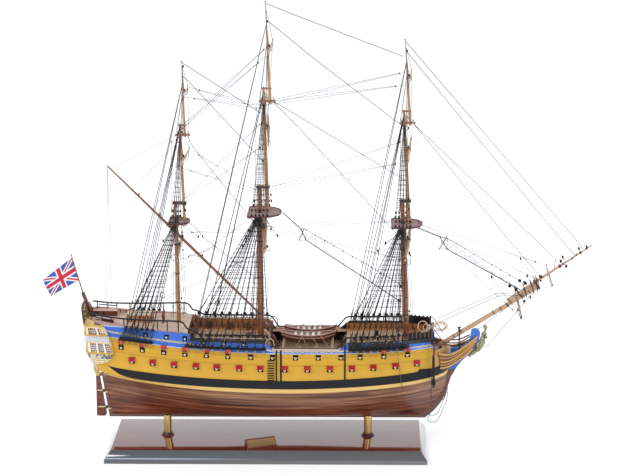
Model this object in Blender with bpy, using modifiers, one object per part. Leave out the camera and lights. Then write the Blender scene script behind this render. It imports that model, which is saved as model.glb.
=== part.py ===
# Display model of an eighteenth-century two-decked ship of the line on a wooden
# plinth with two brass pedestals, bare yards, rudder hung on pintles.
# X points to the bow, Y to port, Z up; the origin is the middle of the plinth's
# underside. All sizes below are millimetres and MM turns them into metres.

import math

import bmesh
import bpy
import numpy as np
from mathutils import Matrix, Vector

MM = 0.001
FIT = 0.3

# Plinth and pedestals
PLINTH_LENGTH = 554.6
PLINTH_WIDTH = 189.2
PLINTH_RIM = 7.0
PLINTH_HEIGHT = 21.3
PLINTH_CHAMFER = 11.2
PEDESTAL_X = (-175.3, 175.3)
COLUMN_RADIUS = 7.1
COLLAR_RADIUS = 11.5
COLLAR_HEIGHT = 5.2
SLOT_CHEEK = 4.0

# Nameplate: the wedge's near left corner, its turn in degrees and its section
WEDGE_CORNER = (-31.2, -78.8)
WEDGE_TURN = 23.2
WEDGE_WIDTH = 54.2
WEDGE_DEPTH = 15.0
WEDGE_LEDGE = 3.0
WEDGE_RISE = 13.0
PLATE_THICKNESS = 1.2
PLATE_MARGIN = 2.0

# Hull
KEEL_BOTTOM = 54.7
KEEL_HALF = 2.6
RABBET = 60.0
MIDSHIP = 40.0
HALF_BEAM = 80.0
STEM_X = 312.5
STERN_X = -300.0
BOTTOM_AFT_X = -272.2
BOTTOM_AFT_RAKE = 14.7
STERNPOST_X = -276.7
STERNPOST_RAKE = 0.15
STERN_HALF = 48.0
WALL = 3.2
WALE_LOW = 130.5
WALE_AFT_RISE = 1.75e-4
WALE_FORE_RISE = 16.0
WALE_HEIGHT = 14.5
WALE_PROUD = 1.1
WALE_TAPER_X = -240.0
WALE_END_X = -269.0

# The sides end aft on a slope under the counter: height and x
COUNTER = ((150.0, -285.0), (152.0, -286.0), (166.0, -291.0), (174.0, -297.0), (178.0, -300.0))
COUNTER_START_X = -250.0

# Deck heights at the lowest point of their sheer
UPPER_DECK = 173.5
QUARTERDECK = 195.5
POOP_DECK = 224.6
POOP_FRONT_X = -132.0
QUARTERDECK_FRONT_X = 8.0
FORECASTLE_BACK_X = 138.0
BEAKHEAD_X = 283.5

# Guns
LOWER_GUNS_X = (
    -227.7, -191.6, -154.9, -117.4, -81.9, -43.7, -7.5,
    34.0, 72.5, 110.6, 148.1, 184.6, 222.0, 258.8,
)
LOWER_AXIS = 165.0
UPPER_GUNS_X = (
    -246.5, -209.7, -172.8, -136.4, -99.7, -63.0, -24.1,
    12.8, 52.3, 90.8, 129.6, 162.0, 202.3, 242.4,
)
UPPER_AXIS = 184.5
WAIST_FIRST = 7
FORECASTLE_FIRST = 11
PORT_SIZE = 10.0
UPPER_PORT_SIZE = 9.0
CABIN_PORT_SIZE = 8.0

# Quarterdeck guns: x and height above the quarterdeck; the first ones are in the
# cabins under the poop
CABIN_GUNS = (
    (-204.4, 14.5), (-168.2, 14.5), (-136.5, 14.5), (-104.0, 9.5), (-70.0, 9.5), (-36.0, 9.5)
)
POOP_GUNS = 3

# Poop skylight, boats on the skid beams, catheads and anchors
SKYLIGHT = ((-240.0, -11.0, 227.0), (-198.0, 11.0, 243.0))
BEAM_TOP = 194.8
BEAMS_X = (30.0, 58.0, 86.0, 114.0)
GANGWAY_WIDTH = 14.0
BOAT_KEEL_Z = 198.0
LAUNCH_CENTRE = (73.0, -20.0, 211.0)
LAUNCH_SIZE = (96.0, 27.0, 13.0)
LONGBOAT_CENTRE = (75.0, 20.0, 210.0)
LONGBOAT_SIZE = (90.0, 24.0, 12.0)
CATHEAD = ((276.0, 35.5, 199.0), (283.0, 36.5, 200.6), (287.5, 41.5, 202.0), (289.0, 62.0, 207.5))
ANCHOR_X = 288.0
ANCHOR_Y = 58.0
ANCHOR_TOP = 203.2
ANCHOR_CROWN = 128.0
ANCHOR_REACH = 9.0
ANCHOR_TIP_RISE = 12.0
ANCHOR_STOCK_LOW = 181.0

# Spars: mast centres at the deck and the lower masthead, heights of the parts
MASTS = {
    "mizzen": dict(
        foot=(-152.0, 226.0), head=(-154.5, 441.0), radius=3.6, top_z=405.0,
        top_size=(37.0, 52.0), top_x=-147.5, tm_foot=(-138.5, 398.0),
        tm_head=(-144.0, 575.5), tm_radius=2.7, cross_z=557.0,
        tg_foot=(-135.5, 553.0), truck=(-138.6, 683.0), tg_radius=2.0,
    ),
    "main": dict(
        foot=(-10.0, 197.0), head=(-10.0, 469.0), radius=5.4, top_z=421.0,
        top_size=(58.0, 78.0), top_x=-1.0, tm_foot=(3.2, 413.0),
        tm_head=(-1.5, 638.5), tm_radius=3.4, cross_z=615.0,
        tg_foot=(10.2, 610.0), truck=(3.3, 784.0), tg_radius=2.4,
    ),
    "fore": dict(
        foot=(241.5, 199.5), head=(233.4, 445.0), radius=5.2, top_z=401.0,
        top_size=(54.0, 70.0), top_x=241.5, tm_foot=(245.6, 393.0),
        tm_head=(235.5, 599.5), tm_radius=3.3, cross_z=578.0,
        tg_foot=(246.6, 573.0), truck=(237.3, 720.3), tg_radius=2.3,
    ),
}

# Yards: mast, part of the mast, height, length, greatest radius and the turn
# seen from above in degrees
YARDS = {
    "main_yard": ("main", "lower", 394.4, 330.0, 3.9, 2.5),
    "main_topsail_yard": ("main", "top", 567.3, 236.0, 2.9, 3.0),
    "main_topgallant_yard": ("main", "gallant", 704.7, 160.0, 1.9, -1.0),
    "fore_yard": ("fore", "lower", 373.1, 291.0, 3.6, -3.0),
    "fore_topsail_yard": ("fore", "top", 530.8, 210.0, 2.7, -2.8),
    "fore_topgallant_yard": ("fore", "gallant", 654.6, 146.0, 1.8, -3.5),
    "crossjack_yard": ("mizzen", "lower", 361.8, 208.0, 2.5, 2.6),
    "mizzen_topsail_yard": ("mizzen", "top", 516.1, 160.0, 2.1, -1.8),
    "mizzen_topgallant_yard": ("mizzen", "gallant", 630.0, 100.0, 1.4, -1.5),
}
PARREL_GAP = 0.45
LATEEN_Y = 6.1


def finish(name, colour, roughness, metallic=0.0):
    material = bpy.data.materials.new(name)
    material.use_nodes = True
    shader = material.node_tree.nodes["Principled BSDF"]
    shader.inputs["Base Color"].default_value = (*colour, 1.0)
    shader.inputs["Roughness"].default_value = roughness
    shader.inputs["Metallic"].default_value = metallic
    return material


for old in list(bpy.data.objects):
    bpy.data.objects.remove(old)

ship = bpy.data.collections.new("two_decker_model")
cutters = bpy.data.collections.new("cutters")
bpy.context.scene.collection.children.link(ship)
bpy.context.scene.collection.children.link(cutters)

COLOURS = {
    "walnut": ((0.23, 0.10, 0.045), 0.5, 0.0),
    "plinth": ((0.16, 0.03, 0.015), 0.15, 0.0),
    "brass": ((0.75, 0.52, 0.2), 0.25, 1.0),
    "bronze": ((0.42, 0.27, 0.12), 0.4, 0.8),
    "yellow": ((0.75, 0.47, 0.06), 0.5, 0.0),
    "black": ((0.012, 0.012, 0.014), 0.45, 0.0),
    "deck": ((0.55, 0.36, 0.18), 0.6, 0.0),
    "tan": ((0.62, 0.4, 0.2), 0.5, 0.0),
    "maroon": ((0.12, 0.03, 0.03), 0.5, 0.0),
    "gilt": ((0.7, 0.45, 0.12), 0.35, 0.6),
    "mahogany": ((0.25, 0.08, 0.04), 0.45, 0.0),
    "flag": ((0.5, 0.05, 0.08), 0.8, 0.0),
    "rope": ((0.06, 0.05, 0.045), 0.8, 0.0),
}


def own_material(name, colour):
    values, roughness, metallic = COLOURS[colour]
    return finish(name + "_" + colour, values, roughness, metallic)


def place(name, mesh, colour=None, guide=False):
    obj = bpy.data.objects.new(name, mesh)
    if guide:
        cutters.objects.link(obj)
        obj.hide_render = True
        obj.display_type = "WIRE"
    else:
        ship.objects.link(obj)
        mesh.materials.append(own_material(name, colour))
    return obj


def mesh_of(points, faces):
    """A closed mesh from points in millimetres, with its faces turned outwards."""
    mesh = bpy.data.meshes.new("shape")
    mesh.from_pydata([Vector(p) * MM for p in points], [], faces)
    bm = bmesh.new()
    bm.from_mesh(mesh)
    bmesh.ops.recalc_face_normals(bm, faces=bm.faces)
    bm.to_mesh(mesh)
    bm.free()
    return mesh


def loft(rings):
    """Skin closed rings whose points mirror each other end to end, so that the
    first and last ring close with strips between the mirrored points."""
    count = len(rings[0])
    points = [p for ring in rings for p in ring]
    faces = []
    for r in range(len(rings) - 1):
        a = r * count
        b = a + count
        for k in range(count):
            n = (k + 1) % count
            faces.append((a + k, a + n, b + n, b + k))
    for base in (0, (len(rings) - 1) * count):
        for k in range(count // 2 - 1):
            quad = (base + k, base + k + 1, base + count - 2 - k, base + count - 1 - k)
            faces.append(quad)
    return mesh_of(points, faces)


def box(low, high):
    x0, y0, z0 = low
    x1, y1, z1 = high
    ring0 = [(x0, y0, z0), (x0, y0, z1), (x0, y1, z1), (x0, y1, z0)]
    ring1 = [(x1, y, z) for _, y, z in ring0]
    return loft([ring0, ring1])


def rod(start, end, radius0, radius1=None, sides=8):
    """A round bar between two points in millimetres, tapered when asked."""
    start = Vector(start)
    end = Vector(end)
    radius1 = radius0 if radius1 is None else radius1
    axis = end - start
    turn = axis.to_track_quat("Z", "Y").to_matrix().to_4x4()
    matrix = Matrix.Translation((start + end) / 2 * MM) @ turn
    bm = bmesh.new()
    bmesh.ops.create_cone(
        bm, cap_ends=True, cap_tris=False, segments=sides, radius1=radius0 * MM,
        radius2=radius1 * MM, depth=axis.length * MM, matrix=matrix,
    )
    mesh = bpy.data.meshes.new("rod")
    bm.to_mesh(mesh)
    bm.free()
    return mesh


def plate(outline, y0, y1):
    """A flat outline in X and Z, as thick as from y0 to y1."""
    count = len(outline)
    points = [(x, y0, z) for x, z in outline] + [(x, y1, z) for x, z in outline]
    faces = [tuple(range(count)), tuple(range(2 * count - 1, count - 1, -1))]
    for k in range(count):
        n = (k + 1) % count
        faces.append((k, n, count + n, count + k))
    return mesh_of(points, faces)


def slab(outline, z0, z1):
    """A flat outline in X and Y, as thick as from z0 to z1."""
    count = len(outline)
    points = [(x, y, z0) for x, y in outline] + [(x, y, z1) for x, y in outline]
    faces = [tuple(range(count)), tuple(range(2 * count - 1, count - 1, -1))]
    for k in range(count):
        n = (k + 1) % count
        faces.append((k, n, count + n, count + k))
    return mesh_of(points, faces)


def joined(meshes):
    bm = bmesh.new()
    for mesh in meshes:
        bm.from_mesh(mesh)
    result = bpy.data.meshes.new("joined")
    bm.to_mesh(result)
    bm.free()
    return result


def boolean(obj, meshes, operation):
    guide = place(obj.name + "_" + operation.lower(), joined(meshes), guide=True)
    modifier = obj.modifiers.new(operation.lower(), "BOOLEAN")
    modifier.operation = operation
    modifier.object = guide
    modifier.solver = "EXACT"
    return modifier


def fuse(obj, meshes):
    """Join solids to an object; they may touch it but not each other."""
    boolean(obj, meshes, "UNION")


def fuse_each(obj, meshes):
    """Join solids that also meet each other, one after the other."""
    for number, mesh in enumerate(meshes):
        guide = place("%s_piece_%d" % (obj.name, number), mesh, guide=True)
        modifier = obj.modifiers.new("union", "BOOLEAN")
        modifier.operation = "UNION"
        modifier.object = guide
        modifier.solver = "EXACT"


def cut(obj, meshes):
    boolean(obj, meshes, "DIFFERENCE")


def turned(name, profile, foot, head, colour, steps=10):
    """A turned spar: radius and height pairs from foot to head, leaned from the
    foot point to the head point, both (x, z) on the centre plane."""
    top = [(0.0, profile[-1][1])]
    outline = top + [(r, z) for r, z in reversed(profile)] + [(0.0, profile[0][1])]
    mesh = bpy.data.meshes.new(name)
    count = len(outline)
    mesh.from_pydata(
        [(r * MM, 0, z * MM) for r, z in outline], [(k, k + 1) for k in range(count - 1)], []
    )
    obj = place(name, mesh, colour)
    screw = obj.modifiers.new("turn", "SCREW")
    screw.steps = steps
    screw.render_steps = steps
    screw.use_merge_vertices = True
    screw.merge_threshold = 0.00001
    screw.use_smooth_shade = True
    lean = math.atan2(head[0] - foot[0], head[1] - foot[1])
    obj.location = (foot[0] * MM, 0, foot[1] * MM)
    obj.rotation_euler = (0, lean, 0)
    return obj


def spar(start, end, start_radius, middle_radius, end_radius, sides=8):
    """A yard: thick in the middle and tapered in two steps to both ends."""
    start = Vector(start)
    end = Vector(end)
    stations = (
        (0.0, start_radius), (0.22, (start_radius + 1.4 * middle_radius) / 2.4),
        (0.42, middle_radius), (0.58, middle_radius),
        (0.78, (end_radius + 1.4 * middle_radius) / 2.4), (1.0, end_radius),
    )
    axis = (end - start).normalized()
    side = axis.orthogonal().normalized()
    up = axis.cross(side)
    rings = []
    for share, radius in stations:
        centre = start.lerp(end, share)
        ring = []
        for k in range(sides):
            angle = 2 * math.pi * (k + 0.5) / sides
            ring.append(tuple(centre + side * radius * math.cos(angle) + up * radius * math.sin(angle)))
        rings.append(ring)
    return loft(rings)


def bar_along(path, half_width, half_height):
    """A rectangular bar swept along points, its width level."""
    rings = []
    count = len(path)
    for k, point in enumerate(path):
        point = Vector(point)
        before = Vector(path[max(k - 1, 0)])
        after = Vector(path[min(k + 1, count - 1)])
        along = (after - before).normalized()
        side = along.cross(Vector((0, 0, 1))).normalized()
        up = side.cross(along).normalized()
        w = side * half_width
        h = up * half_height
        rings.append([tuple(point - w - h), tuple(point - w + h), tuple(point + w + h), tuple(point + w - h)])
    return loft(rings)


def tube(name, points, radius, colour, sides_level=2):
    """A rope or wire along points in millimetres, with closed ends."""
    curve = bpy.data.curves.new(name, "CURVE")
    curve.dimensions = "3D"
    line = curve.splines.new("POLY")
    line.points.add(len(points) - 1)
    for point, place_at in zip(line.points, points):
        point.co = (*(Vector(place_at) * MM), 1.0)
    curve.bevel_depth = radius * MM
    curve.bevel_resolution = sides_level
    curve.use_fill_caps = True
    obj = bpy.data.objects.new(name, curve)
    ship.objects.link(obj)
    curve.materials.append(own_material(name, colour))
    return obj


# Lines of the hull


def wale_z(x):
    """Height of the wale's lower edge, which sweeps up to both ends."""
    aft = max(0.0, 50.0 - x)
    fore = max(0.0, x - 50.0)
    return WALE_LOW + WALE_AFT_RISE * aft ** 2 + WALE_FORE_RISE * (fore / 262.0) ** 1.5


def sheer(x, aft_rise, fore_rise):
    """Rise of a deck or row of ports above its lowest point."""
    aft = max(0.0, 50.0 - x)
    fore = max(0.0, x - 50.0)
    return aft_rise * 1e-4 * aft ** 2 + fore_rise * 1e-4 * fore ** 2


def upper_deck_z(x):
    return UPPER_DECK + sheer(x, 1.7, 0.9)


def quarterdeck_z(x):
    return QUARTERDECK + sheer(x, 1.5, 0.8)


def poop_z(x):
    return POOP_DECK + 0.045 * (POOP_FRONT_X - x)


SIDE_TOP = (
    (-312.0, 243.5), (-277.0, 238.5), (-240.0, 233.5), (-215.0, 230.5), (-204.0, 229.7),
    (-143.0, 224.8), (-128.0, 222.3), (-121.0, 217.5), (0.0, 215.5), (13.0, 197.0),
    (127.0, 197.0), (140.0, 209.0), (281.0, 212.0), (286.0, 188.5), (314.0, 188.5),
)


def side_top_z(x):
    return float(np.interp(x, [p[0] for p in SIDE_TOP], [p[1] for p in SIDE_TOP]))


def bottom_end_x(f, bow):
    """Where a level of the bottom meets the stem or the sternpost."""
    if bow:
        return STEM_X - 50.0 * (1.0 - f) ** 2.6
    return BOTTOM_AFT_X - BOTTOM_AFT_RAKE * f


def bottom_half(t, f, bow):
    """Half breadth of the bottom: t runs from midship to the end, f from the
    keel to the wale."""
    full = KEEL_HALF + (HALF_BEAM - KEEL_HALF) * (1.0 - (1.0 - f) ** 2.6) ** 0.6
    if bow:
        body = max(0.0, 1.0 - t ** (1.9 + 2.1 * f ** 1.2)) ** (1.15 - 0.65 * f)
        return KEEL_HALF + (full - KEEL_HALF) * body
    end = KEEL_HALF + (STERN_HALF - KEEL_HALF) * max(0.0, (f - 0.6) / 0.4) ** 1.7
    body = max(0.0, 1.0 - t ** (1.7 + 1.5 * f)) ** (1.9 - 0.9 * f)
    return end + (full - end) * body


def tumblehome(h):
    """How far the side leans in at a height above the wale's lower edge."""
    return 22.0 * (max(0.0, h - 25.0) / 80.0) ** 1.25


def side_half(x, h):
    """Half breadth of the topsides at a height above the wale's lower edge."""
    lean = tumblehome(h)
    if x > MIDSHIP:
        t = min(1.0, (x - MIDSHIP) / (STEM_X - MIDSHIP))
        return 2.9 + (HALF_BEAM - 2.9 - lean) * max(0.0, 1.0 - t ** 4) ** 0.5
    t = (MIDSHIP - x) / (MIDSHIP - STERN_X)
    end = STERN_HALF - 0.45 * lean
    return end + (HALF_BEAM - lean - end) * (1.0 - t ** 3.2)


def side_at(x, z):
    return side_half(x, z - wale_z(x))


def raked_x(x, z):
    """Move a station near the stern forward to follow the slope of the counter."""
    if x > COUNTER_START_X:
        return x
    end = float(np.interp(z, [p[0] for p in COUNTER], [p[1] for p in COUNTER]))
    share = (COUNTER_START_X - x) / (COUNTER_START_X - STERN_X)
    return COUNTER_START_X + share * (end - COUNTER_START_X)


BOW_STEPS = 15


def bow_stations(start):
    """Stations that close up towards the stem."""
    stations = []
    for k in range(1, BOW_STEPS + 1):
        s = k / BOW_STEPS
        t = 1.0 - (1.0 - s) ** 2
        stations.append(MIDSHIP + t * (STEM_X - MIDSHIP))
    return [x for x in stations if x > start]


SIDE_STATIONS = sorted(
    set(
        [-300.0, -290.0, -277.0, -269.0, -255.0, -240.0, -215.0, -190.0, -165.0, -143.0]
        + [-128.0, -121.0]
        + [-100.0, -60.0, -25.0, 0.0, 13.0, 40.0, 85.0, 127.0, 140.0, 281.0, 286.0]
        + bow_stations(150.0)
    )
)


def wall_point(x, h, depth):
    """A point on the side, moved in square to it in plan by a depth."""
    step = 0.4
    x0 = max(STERN_X, x - step)
    x1 = min(STEM_X, x + step)
    y = side_half(x, h)
    if x > STEM_X - 0.01:
        normal = Vector((1.0, 0.0))
    else:
        slope = (side_half(x1, h) - side_half(x0, h)) / (x1 - x0)
        normal = Vector((-slope, 1.0)).normalized()
    point = Vector((x, y)) - normal * depth
    return point


def wall_ring(x, side):
    """The outer face goes up, with the wale standing proud, and the inner face
    comes down."""
    bottom = wale_z(raked_x(x, wale_z(x))) + FIT / 2
    rise = side_top_z(x) - bottom
    taper = min(1.0, max(0.0, (x - WALE_END_X) / (WALE_TAPER_X - WALE_END_X)))
    proud = WALE_PROUD * taper
    first = WALE_HEIGHT + 0.6
    outer = [(0.0, -proud), (WALE_HEIGHT, -proud), (first, 0.0)]
    for share in (0.3, 0.55, 0.78, 1.0):
        outer.append((first + share * (rise - first), 0.0))
    inner = [(h, WALL) for h, _ in reversed(outer)]
    ring = []
    for h, depth in outer + inner:
        z = bottom + h
        at = raked_x(x, z)
        p = wall_point(at, z - wale_z(at), depth)
        ring.append((p.x, side * p.y, z))
    return ring


def inner_half(x, z, gap=0.65):
    """Half breadth inside the planking, a fitting gap away from it."""
    xs = []
    ys = []
    for k in range(80):
        s = k / 79.0
        station = STERN_X + (STEM_X - STERN_X) * (1.0 - (1.0 - s) ** 2.0)
        p = wall_point(station, z - wale_z(station), WALL + gap)
        xs.append(p.x)
        ys.append(p.y)
    return float(np.interp(x, xs, ys))


# Plinth, nameplate and pedestals


def rectangle_ring(half_x, half_y, z):
    return [(-half_x, -half_y, z), (-half_x, half_y, z), (half_x, half_y, z), (half_x, -half_y, z)]


def make_plinth():
    hx = PLINTH_LENGTH / 2
    hy = PLINTH_WIDTH / 2
    rings = [
        rectangle_ring(hx, hy, 0.0),
        rectangle_ring(hx, hy, PLINTH_RIM),
        rectangle_ring(hx - PLINTH_CHAMFER, hy - PLINTH_CHAMFER, PLINTH_HEIGHT),
    ]
    place("plinth", loft(rings), "plinth")


def make_nameplate():
    """A wedge stands on the plinth's front, turned a little to the stern, and
    carries a plate with nothing on it."""
    turn = math.radians(WEDGE_TURN)
    across = Vector((math.cos(turn), math.sin(turn), 0))
    inward = Vector((-math.sin(turn), math.cos(turn), 0))
    front = Vector((*WEDGE_CORNER, PLINTH_HEIGHT + FIT))
    back = front + inward * WEDGE_DEPTH
    up = Vector((0, 0, WEDGE_RISE))
    edge = back + up - inward * WEDGE_LEDGE
    outline = [front, back, back + up, edge]
    rings = [[p + across * step for p in outline] for step in (0.0, WEDGE_WIDTH)]
    place("nameplate_block", loft(rings), "plinth")
    slope = (edge - front).normalized()
    out = across.cross(slope)
    low = front + slope * PLATE_MARGIN + out * FIT
    top = edge - slope * PLATE_MARGIN + out * FIT
    face = [low, top, top + out * PLATE_THICKNESS, low + out * PLATE_THICKNESS]
    ends = (PLATE_MARGIN, WEDGE_WIDTH - PLATE_MARGIN)
    place("nameplate", loft([[p + across * step for p in face] for step in ends]), "bronze")


def make_pedestals():
    for number, x in enumerate(PEDESTAL_X):
        name = ("pedestal_aft", "pedestal_fore")[number]
        top = KEEL_BOTTOM - FIT + SLOT_CHEEK
        base = PLINTH_HEIGHT + FIT
        profile = [
            (COLLAR_RADIUS, 0.0), (COLLAR_RADIUS, 1.4), (COLLAR_RADIUS - 1.2, 3.0),
            (COLLAR_RADIUS - 3.2, COLLAR_HEIGHT - 0.6), (COLLAR_RADIUS - 3.8, COLLAR_HEIGHT),
            (COLUMN_RADIUS, COLLAR_HEIGHT), (COLUMN_RADIUS, top - base),
        ]
        obj = turned(name, profile, (x, base), (x, base + 1), "brass", steps=16)
        slot = box(
            (x - 12, -KEEL_HALF - FIT, KEEL_BOTTOM - FIT), (x + 12, KEEL_HALF + FIT, top + 5)
        )
        cut(obj, [slot])


# Keel, stem and sternpost are one flat frame; the rudder hangs on its after edge


def sternpost_x(z):
    return STERNPOST_X - STERNPOST_RAKE * (z - KEEL_BOTTOM)


HINGE_OFFSET = 2.0
GUDGEON_Z = (71.0, 101.0, 131.0)
GUDGEON_RADIUS = 1.7
RUDDER_FOOT = 55.8
RUDDER_HEAD = 150.0


def hinge_point(z):
    return (sternpost_x(z) - HINGE_OFFSET, 0.0, z)


# The knee of the head: its lower and fore edge from the stem up, then its top
# edge back to the bowsprit's bed
KNEE_FRONT = (
    (319.8, 130.3), (324.1, 137.1), (329.9, 148.0), (339.3, 159.6), (348.0, 167.5),
    (356.0, 173.5), (361.5, 181.0), (365.0, 190.0), (368.5, 201.0), (369.3, 209.0),
    (365.5, 215.5), (358.5, 216.5),
)
KNEE_TOP = (
    (353.5, 213.0), (352.5, 204.0), (350.5, 194.5), (339.4, 184.2), (328.0, 181.5),
    (318.0, 181.3), (313.0, 182.0), (311.5, 188.9), (305.0, 184.9),
)
BOTTOM_LEVELS = (0.0, 0.06, 0.14, 0.25, 0.4, 0.58, 0.78, 1.0)


def make_keel():
    inner_fore = []
    inner_aft = []
    for f in BOTTOM_LEVELS:
        x = bottom_end_x(f, True)
        inner_fore.append((x + 0.35, RABBET + f * (wale_z(x) - RABBET)))
        x = bottom_end_x(f, False)
        inner_aft.append((x - 0.35, RABBET + f * (wale_z(x) - RABBET)))
    head = wale_z(STEM_X)
    outline = [
        (sternpost_x(KEEL_BOTTOM), KEEL_BOTTOM), (275.0, KEEL_BOTTOM), (289.5, 67.0),
        (302.0, 82.3), (310.5, 98.2), (315.3, 115.6),
    ]
    outline += KNEE_FRONT + KNEE_TOP
    outline += [(304.6, head + 0.6), (STEM_X + 0.35, head + 0.6)]
    outline += list(reversed(inner_fore))[1:]
    outline += inner_aft
    top_z = inner_aft[-1][1]
    outline.append((sternpost_x(top_z), top_z))
    frame = place("keel_and_stem", plate(outline, -KEEL_HALF, KEEL_HALF), "walnut")
    gudgeons = []
    for z in GUDGEON_Z:
        x, _, _ = hinge_point(z)
        gudgeons.append(rod(hinge_point(z - 2.6), hinge_point(z), GUDGEON_RADIUS, sides=10))
        gudgeons.append(box((x, -1.2, z - 2.5), (x + 3.0, 1.2, z - 0.2)))
    fuse_each(frame, gudgeons)


def make_rudder():
    bottom, top = RUDDER_FOOT, RUDDER_HEAD

    def fore_x(z):
        return sternpost_x(z) - 2 * HINGE_OFFSET

    outline = [
        (fore_x(bottom + 4) - 3.0, bottom), (fore_x(bottom + 4), bottom + 4), (fore_x(top), top),
        (-302.6, top), (-302.2, 141.0), (-298.6, 130.0), (-298.9, bottom + 1.5), (-297.5, bottom),
    ]
    rudder = place("rudder", plate(outline, -2.4, 2.4), "walnut")
    pintles = []
    for z in GUDGEON_Z:
        x, _, _ = hinge_point(z)
        pintles.append(rod(hinge_point(z + 0.4), hinge_point(z + 3.0), GUDGEON_RADIUS, sides=10))
        pintles.append(box((x - 3.2, -1.2, z + 0.6), (x, 1.2, z + 2.8)))
    fuse_each(rudder, pintles)


def make_bottom():
    """The planked bottom, solid from the keel to the wale."""
    shares = [1.0 - (1.0 - k / 9.0) ** 1.7 for k in range(10)]

    def ring(t, bow):
        starboard = []
        for f in BOTTOM_LEVELS:
            end = bottom_end_x(f, bow)
            x = MIDSHIP + t * (end - MIDSHIP)
            z = RABBET + FIT + f * (wale_z(x) - FIT / 2 - RABBET - FIT)
            starboard.append((x, -bottom_half(t, f, bow), z))
        port = [(x, -y, z) for x, y, z in reversed(starboard)]
        return starboard + port

    rings = [ring(t, False) for t in reversed(shares)]
    rings += [ring(t, True) for t in shares[1:]]
    place("hull_bottom", loft(rings), "walnut")


# Topsides with their gun ports, lids and rails


def lower_axis_z(x):
    return LOWER_AXIS + sheer(x, 1.4, 1.4)


def upper_axis_z(x):
    return UPPER_AXIS + sheer(x, 1.5, 0.9)


def cabin_axis_z(x):
    return quarterdeck_z(x) + dict(CABIN_GUNS)[x]


def port_cutter(x, z, size, side):
    y = side * side_at(x, z)
    return box(
        (x - size / 2, min(y - 9, y + 9), z - size / 2),
        (x + size / 2, max(y - 9, y + 9), z + size / 2),
    )


def lid(x, z, size, side):
    """A port lid hinged at its upper edge and held open."""
    y = side_at(x, z + size / 2)
    hinge_z = z + size / 2 + 1.0
    reach = size + 0.6
    rise = math.radians(22.0)
    out = Vector((0, side * math.cos(rise), math.sin(rise)))
    up = Vector((0, -side * math.sin(rise), math.cos(rise)))
    start = Vector((x, side * (y - 0.8), hinge_z))
    half = size / 2 + 0.4
    rings = []
    for dx in (-half, half):
        p = start + Vector((dx, 0, 0))
        q = p + out * reach
        rings.append([tuple(p), tuple(p + up * 1.3), tuple(q + up * 1.3), tuple(q)])
    return loft(rings)


def rail_path(side):
    path = []
    profile = (
        (-305.2, 253.5), (-290.0, 250.6), (-270.0, 247.8), (-240.0, 245.8), (-220.0, 245.0),
        (-180.0, 244.6), (-150.0, 244.4), (-144.0, 243.8), (-139.0, 241.0), (-135.0, 235.0),
        (-132.0, 231.4), (-126.0, 230.2), (-119.5, 226.5), (-113.0, 222.6), (-95.0, 221.5), (-60.0, 221.0),
        (-25.0, 220.7), (0.0, 220.5), (8.0, 215.0), (16.0, 202.0), (24.0, 198.6),
        (70.0, 198.5), (116.0, 198.6), (125.0, 202.0), (136.0, 215.0), (146.0, 218.0),
        (175.0, 218.5), (205.0, 219.3), (230.0, 220.0), (252.0, 220.6), (268.0, 221.0),
    )
    for x, z in profile:
        inside = min(z, side_top_z(x))
        y = side_at(x, inside) - 1.8
        path.append((x, side * y, z))
    return path


STANCHIONS = (
    [-298.0, -280.0, -264.5, -242.0, -223.0, -204.0, -184.0, -167.0, -148.0]
    + [-110.0, -93.0, -76.0, -60.0, -44.0, -28.0, -12.0]
    + [150.0, 164.0, 178.0, 192.0, 206.0, 220.0, 234.0, 248.0, 262.0]
)


def make_sides():
    for name, side in (("starboard", -1), ("port", 1)):
        rings = [wall_ring(x, side) for x in SIDE_STATIONS]
        wall = place("side_" + name, loft(rings), "yellow")
        ports = [port_cutter(x, lower_axis_z(x), PORT_SIZE, side) for x in LOWER_GUNS_X]
        ports += [port_cutter(x, upper_axis_z(x), UPPER_PORT_SIZE, side) for x in UPPER_GUNS_X]
        ports += [port_cutter(x, cabin_axis_z(x), CABIN_PORT_SIZE, side) for x, _ in CABIN_GUNS]
        cut(wall, ports)
        lids = [lid(x, lower_axis_z(x), PORT_SIZE, side) for x in LOWER_GUNS_X]
        for number, x in enumerate(UPPER_GUNS_X):
            if number < WAIST_FIRST - 1 or number > FORECASTLE_FIRST:
                lids.append(lid(x, upper_axis_z(x), UPPER_PORT_SIZE, side))
        fuse(wall, lids)

        path = rail_path(side)
        rail = place("rail_" + name, bar_along(path, 1.3, 1.1), "black")
        posts = []
        xs = [p[0] for p in path]
        zs = [p[2] for p in path]
        ys = [p[1] for p in path]
        for x in STANCHIONS:
            y = float(np.interp(x, xs, ys))
            z = float(np.interp(x, xs, zs))
            posts.append(box((x - 1.0, y - 0.9, side_top_z(x) + FIT), (x + 1.0, y + 0.9, z)))
        fuse(rail, posts)


# Decks, each a block between the sides with its guns run out through the ports


def deck_block(x0, x1, low, high, steps):
    rings = []
    for x in np.linspace(x0, x1, steps):
        x = float(x)
        z0 = low(raked_x(x, low(x)))
        z1 = high(x)
        starboard = []
        for z in (z0, (z0 + z1) / 2, z1):
            at = raked_x(x, z)
            starboard.append((at, -inner_half(at, z), z))
        rings.append(starboard + [(px, -py, pz) for px, py, pz in reversed(starboard)])
    return loft(rings)


def gun(x, z, side, inboard, outboard, radius=1.7):
    """A gun barrel with a swelled muzzle, lying square to the side."""
    y = side_at(x, z)
    start = Vector((x, side * (y - inboard), z))
    swell = Vector((x, side * (y + outboard - 2.2), z))
    end = Vector((x, side * (y + outboard), z))
    rings = []
    stations = ((start, radius), (swell, radius * 0.75), (end, radius))
    for centre, r in stations:
        ring = []
        for k in range(6):
            angle = 2 * math.pi * (k + 0.5) / 6
            ring.append((centre.x + r * math.cos(angle), centre.y, centre.z + r * math.sin(angle)))
        rings.append(ring)
    return loft(rings)


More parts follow.
